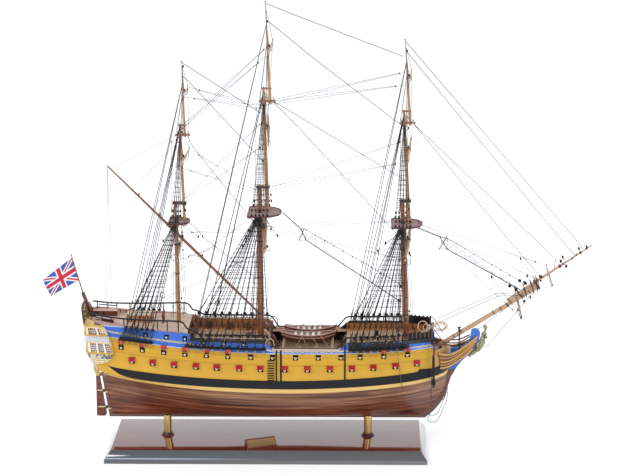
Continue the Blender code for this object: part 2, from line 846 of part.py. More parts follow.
def carriage(x, z, side):
    y = side_at(x, z)
    deck = upper_deck_z(x)
    low = side * (y - 24.0)
    high = side * (y - 7.5)
    return box((x - 3.0, min(low, high), deck - 0.5), (x + 3.0, max(low, high), z - 0.6))


def make_decks():
    below = place(
        "gun_deck",
        deck_block(STERN_X + 3.5, 298.0, lambda x: wale_z(x) + 0.3, upper_deck_z, 30),
        "deck",
    )
    barrels = []
    for side in (-1, 1):
        for x in LOWER_GUNS_X:
            barrels.append(gun(x, lower_axis_z(x), side, 6.5, 7.0))
    fuse(below, barrels)
    waist = []
    for side in (-1, 1):
        for x in UPPER_GUNS_X[WAIST_FIRST:FORECASTLE_FIRST]:
            waist.append(carriage(x, upper_axis_z(x), side))
    fuse(below, waist)
    waist_guns = []
    for side in (-1, 1):
        for x in UPPER_GUNS_X[WAIST_FIRST:FORECASTLE_FIRST]:
            waist_guns.append(gun(x, upper_axis_z(x), side, 26.0, 5.0, 1.6))
    fuse(below, waist_guns)

    quarter = place(
        "quarterdeck",
        deck_block(
            STERN_X + 1.5, QUARTERDECK_FRONT_X, lambda x: upper_deck_z(x) + 0.3, quarterdeck_z, 18
        ),
        "deck",
    )
    barrels = []
    for side in (-1, 1):
        for x in UPPER_GUNS_X[:WAIST_FIRST]:
            barrels.append(gun(x, upper_axis_z(x), side, 6.5, 5.0, 1.6))
    fuse(quarter, barrels)
    feet = []
    short_guns = []
    for side in (-1, 1):
        for x, _ in CABIN_GUNS[POOP_GUNS:]:
            foot, barrel = cabin_gun(x, side)
            feet.append(foot)
            short_guns.append(barrel)
    fuse(quarter, feet)
    fuse(quarter, short_guns)

    poop = place(
        "poop_deck",
        deck_block(
            STERN_X + 1.5, POOP_FRONT_X, lambda x: quarterdeck_z(x) + 0.3, poop_z, 12
        ),
        "deck",
    )
    barrels = []
    for side in (-1, 1):
        for x, _ in CABIN_GUNS[:POOP_GUNS]:
            barrels.append(gun(x, cabin_axis_z(x), side, 6.0, 4.0, 1.4))
    fuse(poop, barrels)
    fuse(poop, [box(*SKYLIGHT)])

    fore = place(
        "forecastle",
        deck_block(
            FORECASTLE_BACK_X, BEAKHEAD_X, lambda x: upper_deck_z(x) + 0.3, quarterdeck_z, 14
        ),
        "deck",
    )
    barrels = []
    for side in (-1, 1):
        for x in UPPER_GUNS_X[FORECASTLE_FIRST:]:
            barrels.append(gun(x, upper_axis_z(x), side, 6.5, 5.0, 1.6))
    fuse(fore, barrels)
    catheads = []
    for side in (-1, 1):
        catheads.append(bar_along([(x, side * y, z) for x, y, z in CATHEAD], 2.0, 2.0))
    fuse(fore, catheads)


def cabin_gun(x, side):
    """The carriage and barrel of a short gun run out at a quarterdeck port."""
    z = cabin_axis_z(x)
    y = side_at(x, z)
    deck = quarterdeck_z(x)
    low = side * (y - 20.0)
    high = side * (y + 3.6)
    barrel = rod((x, low, z), (x, high, z), 1.5, 1.2, sides=8)
    inner = side * (y - 18.0)
    outer = side * (y - 7.0)
    foot = box((x - 2.6, min(inner, outer), deck - 0.5), (x + 2.6, max(inner, outer), z - 0.4))
    return foot, barrel


# The stern at rising heights: its middle, its side edges and its half breadth
STERN = (
    (151.2, -297.5, -290.0, 36.0), (158.0, -302.5, -291.5, 42.0), (166.0, -307.5, -294.5, 46.0),
    (172.0, -309.5, -298.5, 48.5), (178.0, -311.0, -302.5, 51.0), (186.0, -312.0, -305.0, 54.0),
    (200.0, -312.5, -305.4, 54.5), (214.0, -313.2, -307.2, 53.5), (221.0, -313.6, -309.0, 52.0),
    (230.0, -314.4, -309.6, 50.0), (236.0, -315.0, -310.2, 46.0), (238.0, -315.2, -310.4, 45.0),
    (248.0, -316.4, -312.5, 39.0), (254.5, -317.0, -314.5, 31.0), (258.0, -317.2, -316.0, 20.0),
)
TAFFRAIL_FOOT = 237.0

# The quarter gallery at rising heights: its after end, its fore end and its bulge
GALLERY = (
    (166.0, -291.6, -287.0, 1.4), (169.0, -293.5, -277.0, 2.6), (173.0, -297.0, -268.5, 4.4),
    (177.0, -301.0, -265.0, 6.2), (183.5, -304.0, -262.0, 8.0), (191.0, -305.0, -257.8, 9.8),
    (204.5, -305.6, -263.8, 9.6), (206.5, -306.0, -264.6, 8.4), (217.0, -307.8, -269.4, 8.2),
    (229.0, -309.2, -274.8, 7.4), (235.5, -309.0, -284.0, 3.0), (242.0, -309.0, -300.0, 0.8),
)


def make_stern():
    """The stern block with its counter, taffrail and the quarter galleries that
    wrap round the ends of the sides."""
    rings = []
    for z, middle, edge, half in STERN:
        fore_x = raked_x(STERN_X, z) - 0.4
        if z > TAFFRAIL_FOOT:
            fore_x -= 6.0
        between = (3.0 * middle + edge) / 4.0
        ring = [(fore_x, -half, z), (fore_x, -half / 2, z), (fore_x, half / 2, z), (fore_x, half, z)]
        ring += [(edge, half, z), (between, half / 2, z), (between, -half / 2, z), (edge, -half, z)]
        rings.append(ring)
    stern = place("stern_and_galleries", loft(rings), "yellow")
    galleries = []
    for side in (-1, 1):
        rings = []
        for z, aft_x, fore_x, bulge in GALLERY:
            inner = []
            outer = []
            for x in (fore_x, (fore_x + aft_x) / 2, aft_x):
                y = side_at(max(x, STERN_X), z) + 0.4
                inner.append((x, side * y, z))
                edge = 0.35 if x == fore_x else 1.0
                outer.append((x, side * (y + bulge * edge), z))
            rings.append(inner + list(reversed(outer)))
        galleries.append(loft(rings))
    fuse(stern, galleries)


# Head rails from the bow to the figurehead, highest first, starboard side mirrored
HEAD_RAILS = (
    ((297.5, 41.5, 182.5), (305.0, 36.5, 179.8), (313.5, 30.5, 177.6), (324.0, 23.5, 178.6),
     (335.2, 16.5, 183.2), (350.8, 9.3, 192.4), (360.5, 5.6, 199.6), (364.7, 4.6, 203.2)),
    ((300.5, 38.0, 167.0), (309.0, 32.0, 165.4), (320.0, 24.5, 167.0), (333.0, 15.5, 172.6),
     (346.0, 9.0, 181.2), (357.0, 5.4, 190.8), (362.0, 4.5, 195.6)),
    ((300.0, 38.0, 155.8), (308.0, 32.6, 155.4), (317.0, 26.6, 157.2), (328.0, 19.4, 161.8),
     (338.8, 12.4, 167.6), (350.0, 7.0, 175.4), (356.0, 4.8, 181.6)),
)
HEAD_TIMBERS = ((313.5, 1.0), (337.0, 1.0))


def make_head():
    """Head rails each side from the bow to the figurehead, with two timbers."""
    for name, side in (("starboard", -1), ("port", 1)):
        meshes = []
        for path in HEAD_RAILS:
            meshes.append(bar_along([(x, side * y, z) for x, y, z in path], 1.2, 1.6))
        for x, inset in HEAD_TIMBERS:
            ends = []
            for path in (HEAD_RAILS[2], HEAD_RAILS[0]):
                y = float(np.interp(x, [p[0] for p in path], [p[1] for p in path]))
                z = float(np.interp(x, [p[0] for p in path], [p[2] for p in path]))
                ends.append(Vector((x, side * (y - inset), z)))
            meshes.append(rod(ends[0], ends[1], 1.6, sides=6))
        rail = place("head_rails_" + name, meshes[0], "gilt")
        fuse_each(rail, meshes[3:] + meshes[1:3])


# The figurehead at rising heights: middle, half depth and half width
FIGURE = (
    (166.0, 351.0, 2.6, 3.6), (171.0, 355.5, 5.4, 4.8), (177.0, 362.0, 8.0, 5.8),
    (184.0, 367.6, 8.4, 6.2), (190.0, 371.5, 7.0, 5.6), (196.0, 373.6, 5.8, 5.0),
    (202.0, 375.2, 6.0, 5.8), (207.5, 376.0, 5.2, 6.2), (210.0, 377.0, 3.0, 3.2),
    (212.0, 377.6, 1.9, 2.0), (215.0, 378.5, 3.1, 2.8), (219.0, 378.8, 3.3, 2.9),
    (223.0, 378.3, 2.0, 1.8),
)


def make_figurehead():
    """A standing figure in a robe that leans out over the sea and straddles the
    front of the knee."""
    rings = []
    for z, x, deep, wide in FIGURE:
        ring = []
        for k in range(10):
            angle = 2 * math.pi * (k + 0.5) / 10
            ring.append((x + deep * math.cos(angle), wide * math.sin(angle), z))
        rings.append(ring)
    figure = place("figurehead", loft(rings), "gilt")
    knee = [(x + 0.45, z - 0.3) for x, z in KNEE_FRONT[2:9]]
    knee += [(KNEE_FRONT[9][0] + 0.45, KNEE_FRONT[10][1]), (340.0, KNEE_FRONT[10][1])]
    half = KEEL_HALF + FIT
    cut(figure, [plate(knee, -half, half)])


CHANNELS = {
    "mizzen": (-250.0, -192.0, 6, 210.5),
    "main": (-136.0, 2.0, 10, 201.0),
    "fore": (142.0, 242.0, 9, 199.5),
}


def channel_z(name, x):
    low, high, count, z = CHANNELS[name]
    middle = (low + high) / 2
    return z + sheer(x, 1.5, 0.8) - sheer(middle, 1.5, 0.8)


def make_channels():
    """Shelves that spread the shrouds, each with a row of deadeyes."""
    for mast, (x0, x1, count, z) in CHANNELS.items():
        for name, side in (("starboard", -1), ("port", 1)):
            steps = 8
            rings = []
            for x in np.linspace(x0, x1, steps):
                x = float(x)
                level = channel_z(mast, x)
                y = side_at(x, level - 1.0) + 0.35
                low = level - 1.2
                high = level + 1.2
                rings.append([
                    (x, side * y, low), (x, side * y, high),
                    (x, side * (y + 9.0), high), (x, side * (y + 9.0), low),
                ])
            shelf = place("channel_%s_%s" % (mast, name), loft(rings), "black")
            eyes = []
            for x in np.linspace(x0 + 4.0, x1 - 4.0, count):
                x = float(x)
                level = channel_z(mast, x)
                y = side * (side_at(x, level - 1.0) + 7.2)
                eyes.append(rod((x, y - 1.0, level + 2.6), (x, y + 1.0, level + 2.6), 2.2, sides=6))
            fuse(shelf, eyes)


def make_gangways():
    """Gangway planks along both sides of the waist, joined by the skid beams that
    carry the boats."""
    x0, x1 = QUARTERDECK_FRONT_X + 0.5, FORECASTLE_BACK_X - 0.5
    planks = []
    for side in (-1, 1):
        rings = []
        for x in np.linspace(x0, x1, 6):
            x = float(x)
            y = inner_half(x, BEAM_TOP)
            low, high = BEAM_TOP - 1.0, BEAM_TOP + 0.6
            rings.append([
                (x, side * y, low), (x, side * y, high),
                (x, side * (y - GANGWAY_WIDTH), high), (x, side * (y - GANGWAY_WIDTH), low),
            ])
        planks.append(loft(rings))
    beams = []
    for x in BEAMS_X:
        beams.append(box((x - 2.0, -54.0, BEAM_TOP - 3.0), (x + 2.0, 54.0, BEAM_TOP)))
    chocks = []
    for y, top in ((LAUNCH_CENTRE[1], BOAT_KEEL_Z), (LONGBOAT_CENTRE[1], BOAT_KEEL_Z)):
        for x in BEAMS_X[1:3]:
            chocks.append(box((x - 1.6, y - 5.0, BEAM_TOP - 0.4), (x + 1.6, y + 5.0, top - FIT)))
    frame = place("waist_beams", planks[0], "deck")
    fuse(frame, beams)
    fuse(frame, [planks[1]])
    fuse(frame, chocks)


def make_boat(name, centre, size):
    """An open clinker boat: a shell with a sharp bow and a narrow transom."""
    length, beam, depth = size
    wall = 1.1
    rings = []
    shares = (0.0, 0.08, 0.25, 0.5, 0.75, 0.9, 1.0)
    for share in shares:
        x = centre[0] + (share - 0.5) * length
        if share < 0.5:
            half = beam / 2 * (0.55 + 0.45 * math.sin(math.pi * share))
        else:
            half = max(1.6, beam / 2 * (1.0 - ((share - 0.5) * 2) ** 2.6))
        lift = depth * 0.42 * abs(share - 0.5) ** 2 * 4
        keel = depth * 0.35 * max(0.0, share - 0.8) * 5 * 0.6
        outer = []
        inner = []
        for angle in (90.0, 55.0, 25.0, 0.0):
            a = math.radians(angle)
            y = half * math.cos(a) ** 0.7
            z = -depth * math.sin(a) ** 1.3 + (keel if angle == 90.0 else 0.0)
            high = lift if angle < 30 else lift * 0.3
            outer.append((y, z + high))
            floor = 0.4 if angle > 0 else 0.0
            if angle == 90.0:
                floor = wall
            inner.append((y * max(0.0, 1 - wall / half), z + high + floor))
        ring = []
        for y, z in reversed(outer):
            ring.append((x, centre[1] - y, centre[2] + z))
        for y, z in outer[1:]:
            ring.append((x, centre[1] + y, centre[2] + z))
        back = []
        for y, z in reversed(inner):
            back.append((x, centre[1] - y, centre[2] + z))
        for y, z in inner[1:]:
            back.append((x, centre[1] + y, centre[2] + z))
        rings.append(ring + list(reversed(back)))
    place(name, loft(rings), "mahogany")


# Masts, tops and yards


def along(foot, head, z):
    share = (z - foot[1]) / (head[1] - foot[1])
    return foot[0] + share * (head[0] - foot[0])


def make_masts():
    for mast, m in MASTS.items():
        foot, head = m["foot"], m["head"]
        length = math.hypot(head[0] - foot[0], head[1] - foot[1])
        top_h = m["top_z"] - foot[1]
        r = m["radius"]
        profile = [
            (r, 0.0), (r * 0.98, top_h * 0.5), (r * 0.86, top_h - 16.0), (r * 1.15, top_h - 12.0),
            (r * 1.15, top_h - 5.4), (r * 0.72, top_h - 5.3), (r * 0.66, length),
        ]
        lower = turned(mast + "_lower_mast", profile, foot, head, "tan")
        tm_foot, tm_head = m["tm_foot"], m["tm_head"]
        cap_z = head[1] - 3.0
        x_mast = along(foot, head, cap_z)
        x_top = along(tm_foot, tm_head, cap_z)
        tr = m["tm_radius"]
        cap_low = (x_mast - r * 0.66 - 1.2, -tr - 1.8, cap_z - 2.0)
        fuse(lower, [box(cap_low, (x_top + tr + 2.4, tr + 1.8, cap_z + 2.0))])
        hole = rod((x_top + 0.25, 0, cap_z - 9), (x_top - 0.25, 0, cap_z + 9), tr * 0.98 + 0.5, sides=12)
        cut(lower, [hole])

        size_x, size_y = m["top_size"]
        z = m["top_z"]
        back = m["top_x"] - size_x / 2
        front = m["top_x"] + size_x / 2
        edge = [(back, -size_y / 2), (back, size_y / 2)]
        for k in range(9):
            a = math.pi / 2 - math.pi * k / 8
            edge.append((front - size_x * 0.55 + size_x * 0.55 * math.cos(a), size_y / 2 * math.sin(a)))
        top = place(mast + "_top", slab(edge, z, z + 2.0), "maroon")
        low_mast = along(foot, head, z)
        low_top = along(tm_foot, tm_head, z)
        trees = []
        half_gap = r * 0.72 + 0.8
        for side in (-1, 1):
            y0 = side * half_gap
            y1 = side * (half_gap + 2.4)
            trees.append(box(
                (back + 6.0, min(y0, y1), z - 4.8), (front - 5.0, max(y0, y1), z + 0.4)
            ))
        fuse(top, trees)
        hole_x0 = low_mast - r * 0.72 - 0.8
        hole_x1 = low_top + tr + 0.9
        cut(top, [box((hole_x0, -half_gap, z - 2.0), (hole_x1, half_gap, z + 6.0))])

        tm_len = math.hypot(tm_head[0] - tm_foot[0], tm_head[1] - tm_foot[1])
        profile = [(tr, 0.0), (tr * 0.95, tm_len * 0.4), (tr * 0.78, tm_len - 26.0), (tr * 0.6, tm_len)]
        upper = turned(mast + "_upper_mast", profile, tm_foot, tm_head, "tan")
        cross_z = m["cross_z"]
        x_a = along(tm_foot, tm_head, cross_z)
        tg_foot, truck = m["tg_foot"], m["truck"]
        x_b = along(tg_foot, truck, cross_z)
        scale = m["tg_radius"] / 2.4
        pieces = []
        for side in (-1, 1):
            y0 = side * 1.2 * scale
            y1 = side * (1.2 * scale + 1.8)
            low = (x_a - 9.0, min(y0, y1), cross_z - 2.0)
            pieces.append(box(low, (x_b + 9.0, max(y0, y1), cross_z + 1.0)))
        for dx in (-6.0, x_b - x_a + 6.0):
            pieces.append(box(
                (x_a + dx - 1.0, -20.0 * scale, cross_z + 0.2), (x_a + dx + 1.0, 20.0 * scale, cross_z + 2.0)
            ))
        cap_z = tm_head[1] - 2.5
        pieces.append(box(
            (along(tm_foot, tm_head, cap_z) - 2.8, -2.6, cap_z - 1.4),
            (along(tg_foot, truck, cap_z) + 3.0, 2.6, cap_z + 1.4),
        ))
        tg = m["tg_radius"]
        pieces.append(rod((tg_foot[0], 0, tg_foot[1]), (truck[0], 0, truck[1] - 2.0), tg, 0.8))
        pieces.append(rod((truck[0], 0, truck[1] - 3.0), (truck[0], 0, truck[1]), 1.7, 1.2, sides=6))
        fuse_each(upper, pieces)


def mast_front(mast, part, z):
    """The fore side of a mast at a height, from its axis and its taper."""
    m = MASTS[mast]
    if part == "lower":
        foot, head, radius, taper = m["foot"], m["head"], m["radius"], 0.87
    elif part == "top":
        foot, head, radius, taper = m["tm_foot"], m["tm_head"], m["tm_radius"], 0.86
    else:
        foot, head, radius, taper = m["tg_foot"], m["truck"], m["tg_radius"], 0.66
    return along(foot, head, z) + radius * taper


def make_yards():
    for name, (mast, part, z, length, radius, turn) in YARDS.items():
        x = mast_front(mast, part, z) + radius + PARREL_GAP
        angle = math.radians(turn)
        half = length / 2
        dx = half * math.sin(angle)
        dy = half * math.cos(angle)
        mesh = spar((x + dx, -dy, z), (x - dx, dy, z), radius * 0.42, radius, radius * 0.42)
        place(name, mesh, "tan")
    lateen = spar((-270.0, LATEEN_Y, 501.6), (-14.9, LATEEN_Y, 242.8), 1.3, 2.6, 1.6, sides=8)
    place("lateen_yard", lateen, "mahogany")
    for name, x, z, length, radius in (
        ("spritsail_yard", 433.5, 262.8, 208.0, 2.2),
        ("sprit_topsail_yard", 486.3, 310.3, 146.0, 1.7),
    ):
        end_radius = radius * 0.45
        mesh = spar((x, -length / 2, z), (x, length / 2, z), end_radius, radius, end_radius)
        place(name, mesh, "tan")


def make_bowsprit():
    start = Vector((296.5, 0, 184.9))
    end = Vector((470.0, 0, 292.8))
    bowsprit = place("bowsprit", rod(start, end, 3.9, 3.2, sides=12), "tan")
    axis = (end - start).normalized()
    heel = Vector((414.5, 0, 266.2))
    tip = Vector((558.6, 0, 365.1))
    jib = place("jib_boom", rod(heel, tip, 2.6, 1.1, sides=10), "tan")
    cap_at = end - axis * 3.0
    reach = (tip - heel).normalized()
    share = (cap_at - heel).dot(reach)
    jib_at = heel + reach * share
    cap_up = (jib_at - cap_at).normalized()
    low = cap_at - cap_up * 4.8
    high = jib_at + cap_up * 4.6
    ring0 = []
    ring1 = []
    for p in (low, high):
        ring0.append(tuple(p - axis * 1.8 + Vector((0, -4.6, 0))))
        ring1.append(tuple(p + axis * 1.8 + Vector((0, -4.6, 0))))
    for p in (high, low):
        ring0.append(tuple(p - axis * 1.8 + Vector((0, 4.6, 0))))
        ring1.append(tuple(p + axis * 1.8 + Vector((0, 4.6, 0))))
    fuse(bowsprit, [loft([ring0, ring1])])
    hole_low = jib_at - reach * 12
    hole_high = jib_at + reach * 12
    cut(bowsprit, [rod(hole_low, hole_high, 2.75, 2.75, sides=12)])


def make_ensign():
    """The flag's hoist lies along its raked staff; its fly hangs down and aft."""
    foot = Vector((-311.9, 0, 258.4))
    truck = Vector((-335.3, 0, 345.7))
    staff = place("ensign_staff", rod(foot, truck, 1.3, 0.8, sides=8), "tan")
    fuse(staff, [rod(truck - Vector((0, 0, 1.2)), truck + Vector((0, 0, 1.2)), 1.8, sides=8)])
    corners = []
    for x, z in ((-335.3, 341.4), (-324.9, 301.0), (-373.0, 272.3), (-385.9, 301.5)):
        corners.append(Vector((x, 0, z)))
    rings = []
    columns = 9
    for k in range(columns):
        s = k / (columns - 1)
        top = corners[0].lerp(corners[3], s)
        low = corners[1].lerp(corners[2], s)
        sway = 2.2 * math.sin(s * 1.5 * math.pi) * s
        ring = []
        for y in (-0.4, 0.4):
            pair = [top, top.lerp(low, 0.33), top.lerp(low, 0.67), low]
            if y > 0:
                pair.reverse()
            ring += [(p.x, p.y + sway + y, p.z) for p in pair]
        rings.append(ring)
    place("ensign", loft(rings), "flag")


def make_stays():
    """The main stay runs from the main top's rim to the fore mast and the fore
    stay from the fore masthead to the jib-boom's heel."""
    main = [(29.5, 421.2), (60.5, 392.2), (69.0, 372.8), (228.7, 265.7), (232.8, 262.9)]
    fore = [(249.8, 399.0), (298.3, 378.5), (310.5, 357.4), (418.8, 295.7), (436.7, 285.5)]
    for name, path in (("main_stay", main), ("fore_stay", fore)):
        tube(name, [(x, 0, z) for x, z in path], 1.0, "rope")


def make_anchors():
    """Each anchor hangs upright under its cathead with its arms athwart the hull
    and its wooden stock along the head of the shank."""
    x = ANCHOR_X
    for name, side in (("starboard", -1), ("port", 1)):
        y = side * ANCHOR_Y
        stock = box((x - 1.8, y - 2.0, ANCHOR_STOCK_LOW), (x + 1.8, y + 2.0, ANCHOR_TOP))
        anchor = place("anchor_" + name, stock, "black")
        shank = rod((x, y, ANCHOR_STOCK_LOW + 2.0), (x, y, ANCHOR_CROWN), 1.3, sides=6)
        arms = []
        for reach in (-ANCHOR_REACH, ANCHOR_REACH):
            tip = (x, y + reach, ANCHOR_CROWN + ANCHOR_TIP_RISE)
            arms.append(rod(tip, (x, y, ANCHOR_CROWN), 1.6, sides=6))
        fuse_each(anchor, [shank] + arms)


make_plinth()
make_nameplate()
make_pedestals()
make_keel()
make_rudder()
make_bottom()
make_sides()
make_decks()
make_stern()
make_head()
make_figurehead()
make_channels()
make_gangways()
make_boat("launch", LAUNCH_CENTRE, LAUNCH_SIZE)
make_boat("longboat", LONGBOAT_CENTRE, LONGBOAT_SIZE)
make_masts()
make_yards()
make_bowsprit()
make_ensign()
make_stays()
make_anchors()
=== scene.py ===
import math
import random

import bmesh
import bpy
import numpy as np
from mathutils import Matrix, Vector


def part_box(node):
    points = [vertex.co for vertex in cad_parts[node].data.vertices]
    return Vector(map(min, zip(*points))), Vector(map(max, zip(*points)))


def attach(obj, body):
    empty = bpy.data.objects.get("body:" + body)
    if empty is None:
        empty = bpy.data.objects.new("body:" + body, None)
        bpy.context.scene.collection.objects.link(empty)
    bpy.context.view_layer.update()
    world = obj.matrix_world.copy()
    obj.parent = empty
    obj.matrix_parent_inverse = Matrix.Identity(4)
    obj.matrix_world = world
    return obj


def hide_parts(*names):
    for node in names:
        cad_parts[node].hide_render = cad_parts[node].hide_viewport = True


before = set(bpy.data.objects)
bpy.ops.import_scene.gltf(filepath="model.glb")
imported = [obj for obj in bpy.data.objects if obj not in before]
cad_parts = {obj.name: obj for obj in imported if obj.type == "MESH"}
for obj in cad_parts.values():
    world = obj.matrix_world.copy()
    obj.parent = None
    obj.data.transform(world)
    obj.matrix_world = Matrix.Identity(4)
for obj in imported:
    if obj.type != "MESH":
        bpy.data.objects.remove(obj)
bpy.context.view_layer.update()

random.seed(74)
mm = 0.001

# The viewer stands about three and a half metres off the starboard side, a little
# forward of midships, and looks down at the model. The room is a white sweep of
# paper lit by broad, soft lamps.
eye = Vector((181.35, -3651.4, 1282.3)) * mm
turn_left, look_down, tilt = 0.0256, 0.2431, -0.0045
ahead = Vector((
    -math.sin(turn_left) * math.cos(look_down),
    math.cos(turn_left) * math.cos(look_down),
    -math.sin(look_down),
))
level = Vector((math.cos(turn_left), math.sin(turn_left), 0))
above = level.cross(ahead)
right_hand = level * math.cos(tilt) + above * math.sin(tilt)
overhead = above * math.cos(tilt) - level * math.sin(tilt)
camera_data = bpy.data.cameras.new("camera")
sensor_wide, picture_wide, focal_points = 36.0, 634.0, 2197.0
camera_data.sensor_width = sensor_wide
camera_data.lens = focal_points * sensor_wide / picture_wide
camera_data.clip_start = 0.05
camera = bpy.data.objects.new("camera", camera_data)
bpy.context.scene.collection.objects.link(camera)
camera.matrix_world = Matrix((
    (right_hand.x, overhead.x, -ahead.x, eye.x),
    (right_hand.y, overhead.y, -ahead.y, eye.y),
    (right_hand.z, overhead.z, -ahead.z, eye.z),
    (0, 0, 0, 1),
))
bpy.context.scene.camera = camera
bpy.context.scene.view_settings.view_transform = "Standard"

room = bpy.data.worlds.new("white_room")
bpy.context.scene.world = room
room.use_nodes = True
room.node_tree.nodes["Background"].inputs["Color"].default_value = (0.95, 0.97, 1.0, 1)
room.node_tree.nodes["Background"].inputs["Strength"].default_value = 0.78


def lamp(name, place, aim, width, power, colour):
    light = bpy.data.lights.new(name, "AREA")
    light.size = width
    light.energy = power
    light.color = colour
    holder = bpy.data.objects.new(name, light)
    bpy.context.scene.collection.objects.link(holder)
    holder.location = place
    holder.rotation_euler = (Vector(aim) - Vector(place)).to_track_quat("-Z", "Y").to_euler()


lamp("key", (-1.5, -2.0, 2.5), (0.05, 0, 0.25), 1.2, 29.0, (1.0, 0.98, 0.95))
lamp("fill", (2.2, -2.4, 1.3), (0.05, 0, 0.3), 1.6, 9.0, (0.95, 0.97, 1.0))
lamp("rim", (0.6, 2.4, 2.2), (0.05, 0, 0.3), 1.5, 14.0, (1.0, 1.0, 1.0))


class Wire:
    """A socket that can be reckoned with: each sum adds its own Math node."""

    def __init__(self, tree, socket):
        self.tree = tree
        self.socket = socket

    def node(self, kind, settings, values, output=0):
        """A shader node with its settings; values are put into or wired to its sockets."""
        made = self.tree.nodes.new(kind)
        for key, value in settings.items():
            if key == "stops":
                ramp = made.color_ramp.elements
                while len(ramp) < len(value):
                    ramp.new(0.5)
                for element, (place, colour) in zip(ramp, value):
                    element.position = place
                    element.color = (*colour, 1.0)
            else:
                setattr(made, key, value)
        for key, value in values.items():
            if isinstance(value, Wire):
                self.tree.links.new(value.socket, made.inputs[key])
            else:
                made.inputs[key].default_value = value
        return Wire(self.tree, made.outputs[output])

    def math(self, operation, *others):
        terms = dict(enumerate((self,) + others))
        return self.node("ShaderNodeMath", {"operation": operation}, terms)

    def __add__(self, other):
        return self.math("ADD", other)

    def __sub__(self, other):
        return self.math("SUBTRACT", other)

    def __mul__(self, other):
        return self.math("MULTIPLY", other)

    def __truediv__(self, other):
        return self.math("DIVIDE", other)

    def __pow__(self, other):
        return self.math("POWER", other)

    def __rsub__(self, other):
        return self.node("ShaderNodeMath", {"operation": "SUBTRACT"}, {0: other, 1: self})

    __radd__ = __add__
    __rmul__ = __mul__

    def mix(self, first, second):
        """A colour between two, by this wire's number."""
        first, second = (c if isinstance(c, Wire) else (*c, 1.0) for c in (first, second))
        return self.node("ShaderNodeMix", {"data_type": "RGBA"}, {0: self, 6: first, 7: second}, 2)


class Finish:
    """A material: its Principled shader and the place it is painted by."""

    def __init__(self, name, roughness=0.5, metallic=0.0, coat=0.0):
        self.material = bpy.data.materials.new(name)
        self.material.use_nodes = True
        tree = self.material.node_tree
        self.shader = tree.nodes["Principled BSDF"]
        self.shader.inputs["Roughness"].default_value = roughness
        self.shader.inputs["Metallic"].default_value = metallic
        self.shader.inputs["Coat Weight"].default_value = coat
        self.shader.inputs["Coat Roughness"].default_value = 0.12
        source = tree.nodes.new("ShaderNodeTexCoord")
        self.place = Wire(tree, source.outputs["Object"])
        self.unwrapped = Wire(tree, source.outputs["UV"])

    def set(self, socket, value):
        if isinstance(value, Wire):
            value.tree.links.new(value.socket, self.shader.inputs[socket])
        else:
            self.shader.inputs[socket].default_value = value

    def noise(self, stretch, detail=3.0, place=None):
        """Noise over a stretched place, from 0 to 1."""
        place = place or self.place
        mapped = place.node("ShaderNodeMapping", {}, {"Vector": place, "Scale": stretch})
        return mapped.node(
            "ShaderNodeTexNoise", {}, {"Vector": mapped, "Scale": 1.0, "Detail": detail, "Roughness": 0.55}
        )

    def axis(self, letter, place=None):
        """One coordinate of a place, as a number in millimetres."""
        place = place or self.place
        return place.node("ShaderNodeSeparateXYZ", {}, {0: place}, letter) / mm

    def bump(self, height, strength, depth):
        self.set("Normal", height.node(
            "ShaderNodeBump", {}, {"Strength": strength, "Distance": depth, "Height": height}
        ))


def clamp01(wire):
    return wire.node("ShaderNodeClamp", {}, {0: wire})


def rise(wire, low, high):
    """0 below low and 1 above high, with a smooth step between."""
    return wire.node(
        "ShaderNodeMapRange", {"interpolation_type": "SMOOTHSTEP"}, {0: wire, 1: low, 2: high}
    )


def zone(value, low, high, soft=0.25):
    """1 between low and high, fading over a soft edge on both sides."""
    return rise(value, low - soft, low + soft) * (1.0 - rise(value, high - soft, high + soft))


def paper():
    finish = Finish("white_paper", roughness=0.9)
    grain = finish.noise((300, 300, 300))
    finish.set("Base Color", grain.mix((0.93, 0.94, 0.955), (0.96, 0.965, 0.975)))
    finish.shader.inputs["Emission Color"].default_value = (1, 1, 1, 1)
    finish.shader.inputs["Emission Strength"].default_value = 0.3
    return finish.material


bpy.ops.object.select_all(action="DESELECT")
bpy.ops.mesh.primitive_plane_add(size=14.0, location=(0, 3.0, -0.0002))
sweep = bpy.context.object
sweep.name = "paper_sweep"
bpy.ops.object.mode_set(mode="EDIT")
bpy.ops.mesh.subdivide(number_cuts=6)
bpy.ops.object.mode_set(mode="OBJECT")
sweep.data.transform(sweep.matrix_world)
sweep.matrix_world = Matrix.Identity(4)
sweep.data.materials.append(paper())


# The plinth is a board of dark red-brown wood under clear lacquer, with an upright
# rim and a wide sloped border. Its polish mirrors the studio and the columns, and its black rim and border
# also carry painted reflections and a painted highlight.
def still(obj):
    """Moves an object's place, turn and size into its mesh."""
    bpy.context.view_layer.update()
    obj.data.transform(obj.matrix_world)
    obj.matrix_world = Matrix.Identity(4)
    obj.data.update()
    return obj


def alone(obj):
    bpy.ops.object.select_all(action="DESELECT")
    obj.select_set(True)
    bpy.context.view_layer.objects.active = obj


def new_cube(name, low, high):
    """A box between two corners in millimetres, ready to be shaped."""
    low, high = Vector(low) * mm, Vector(high) * mm
    bpy.ops.object.select_all(action="DESELECT")
    bpy.ops.mesh.primitive_cube_add(size=1.0, location=(low + high) / 2, scale=high - low)
    obj = bpy.context.object
    obj.name = name
    return still(obj)


def pick(obj, test, kind="faces"):
    """In edit mode, selects only the faces or edges that a test accepts."""
    mesh = bmesh.from_edit_mesh(obj.data)
    for group in (mesh.faces, mesh.edges, mesh.verts):
        for item in group:
            item.select_set(False)
    for item in getattr(mesh, kind):
        if test(item):
            item.select_set(True)
    mesh.select_flush_mode()
    bmesh.update_edit_mesh(obj.data)


def edit(obj, kind="FACE"):
    alone(obj)
    bpy.ops.object.mode_set(mode="EDIT")
    bpy.ops.mesh.select_mode(type=kind)


def inset(width, **more):
    bpy.ops.mesh.inset(thickness=width * mm, **more)


def shift(x, y, z):
    bpy.ops.transform.translate(value=(x * mm, y * mm, z * mm))


def stretch_by(x, y, z):
    bpy.ops.transform.resize(value=(x, y, z))


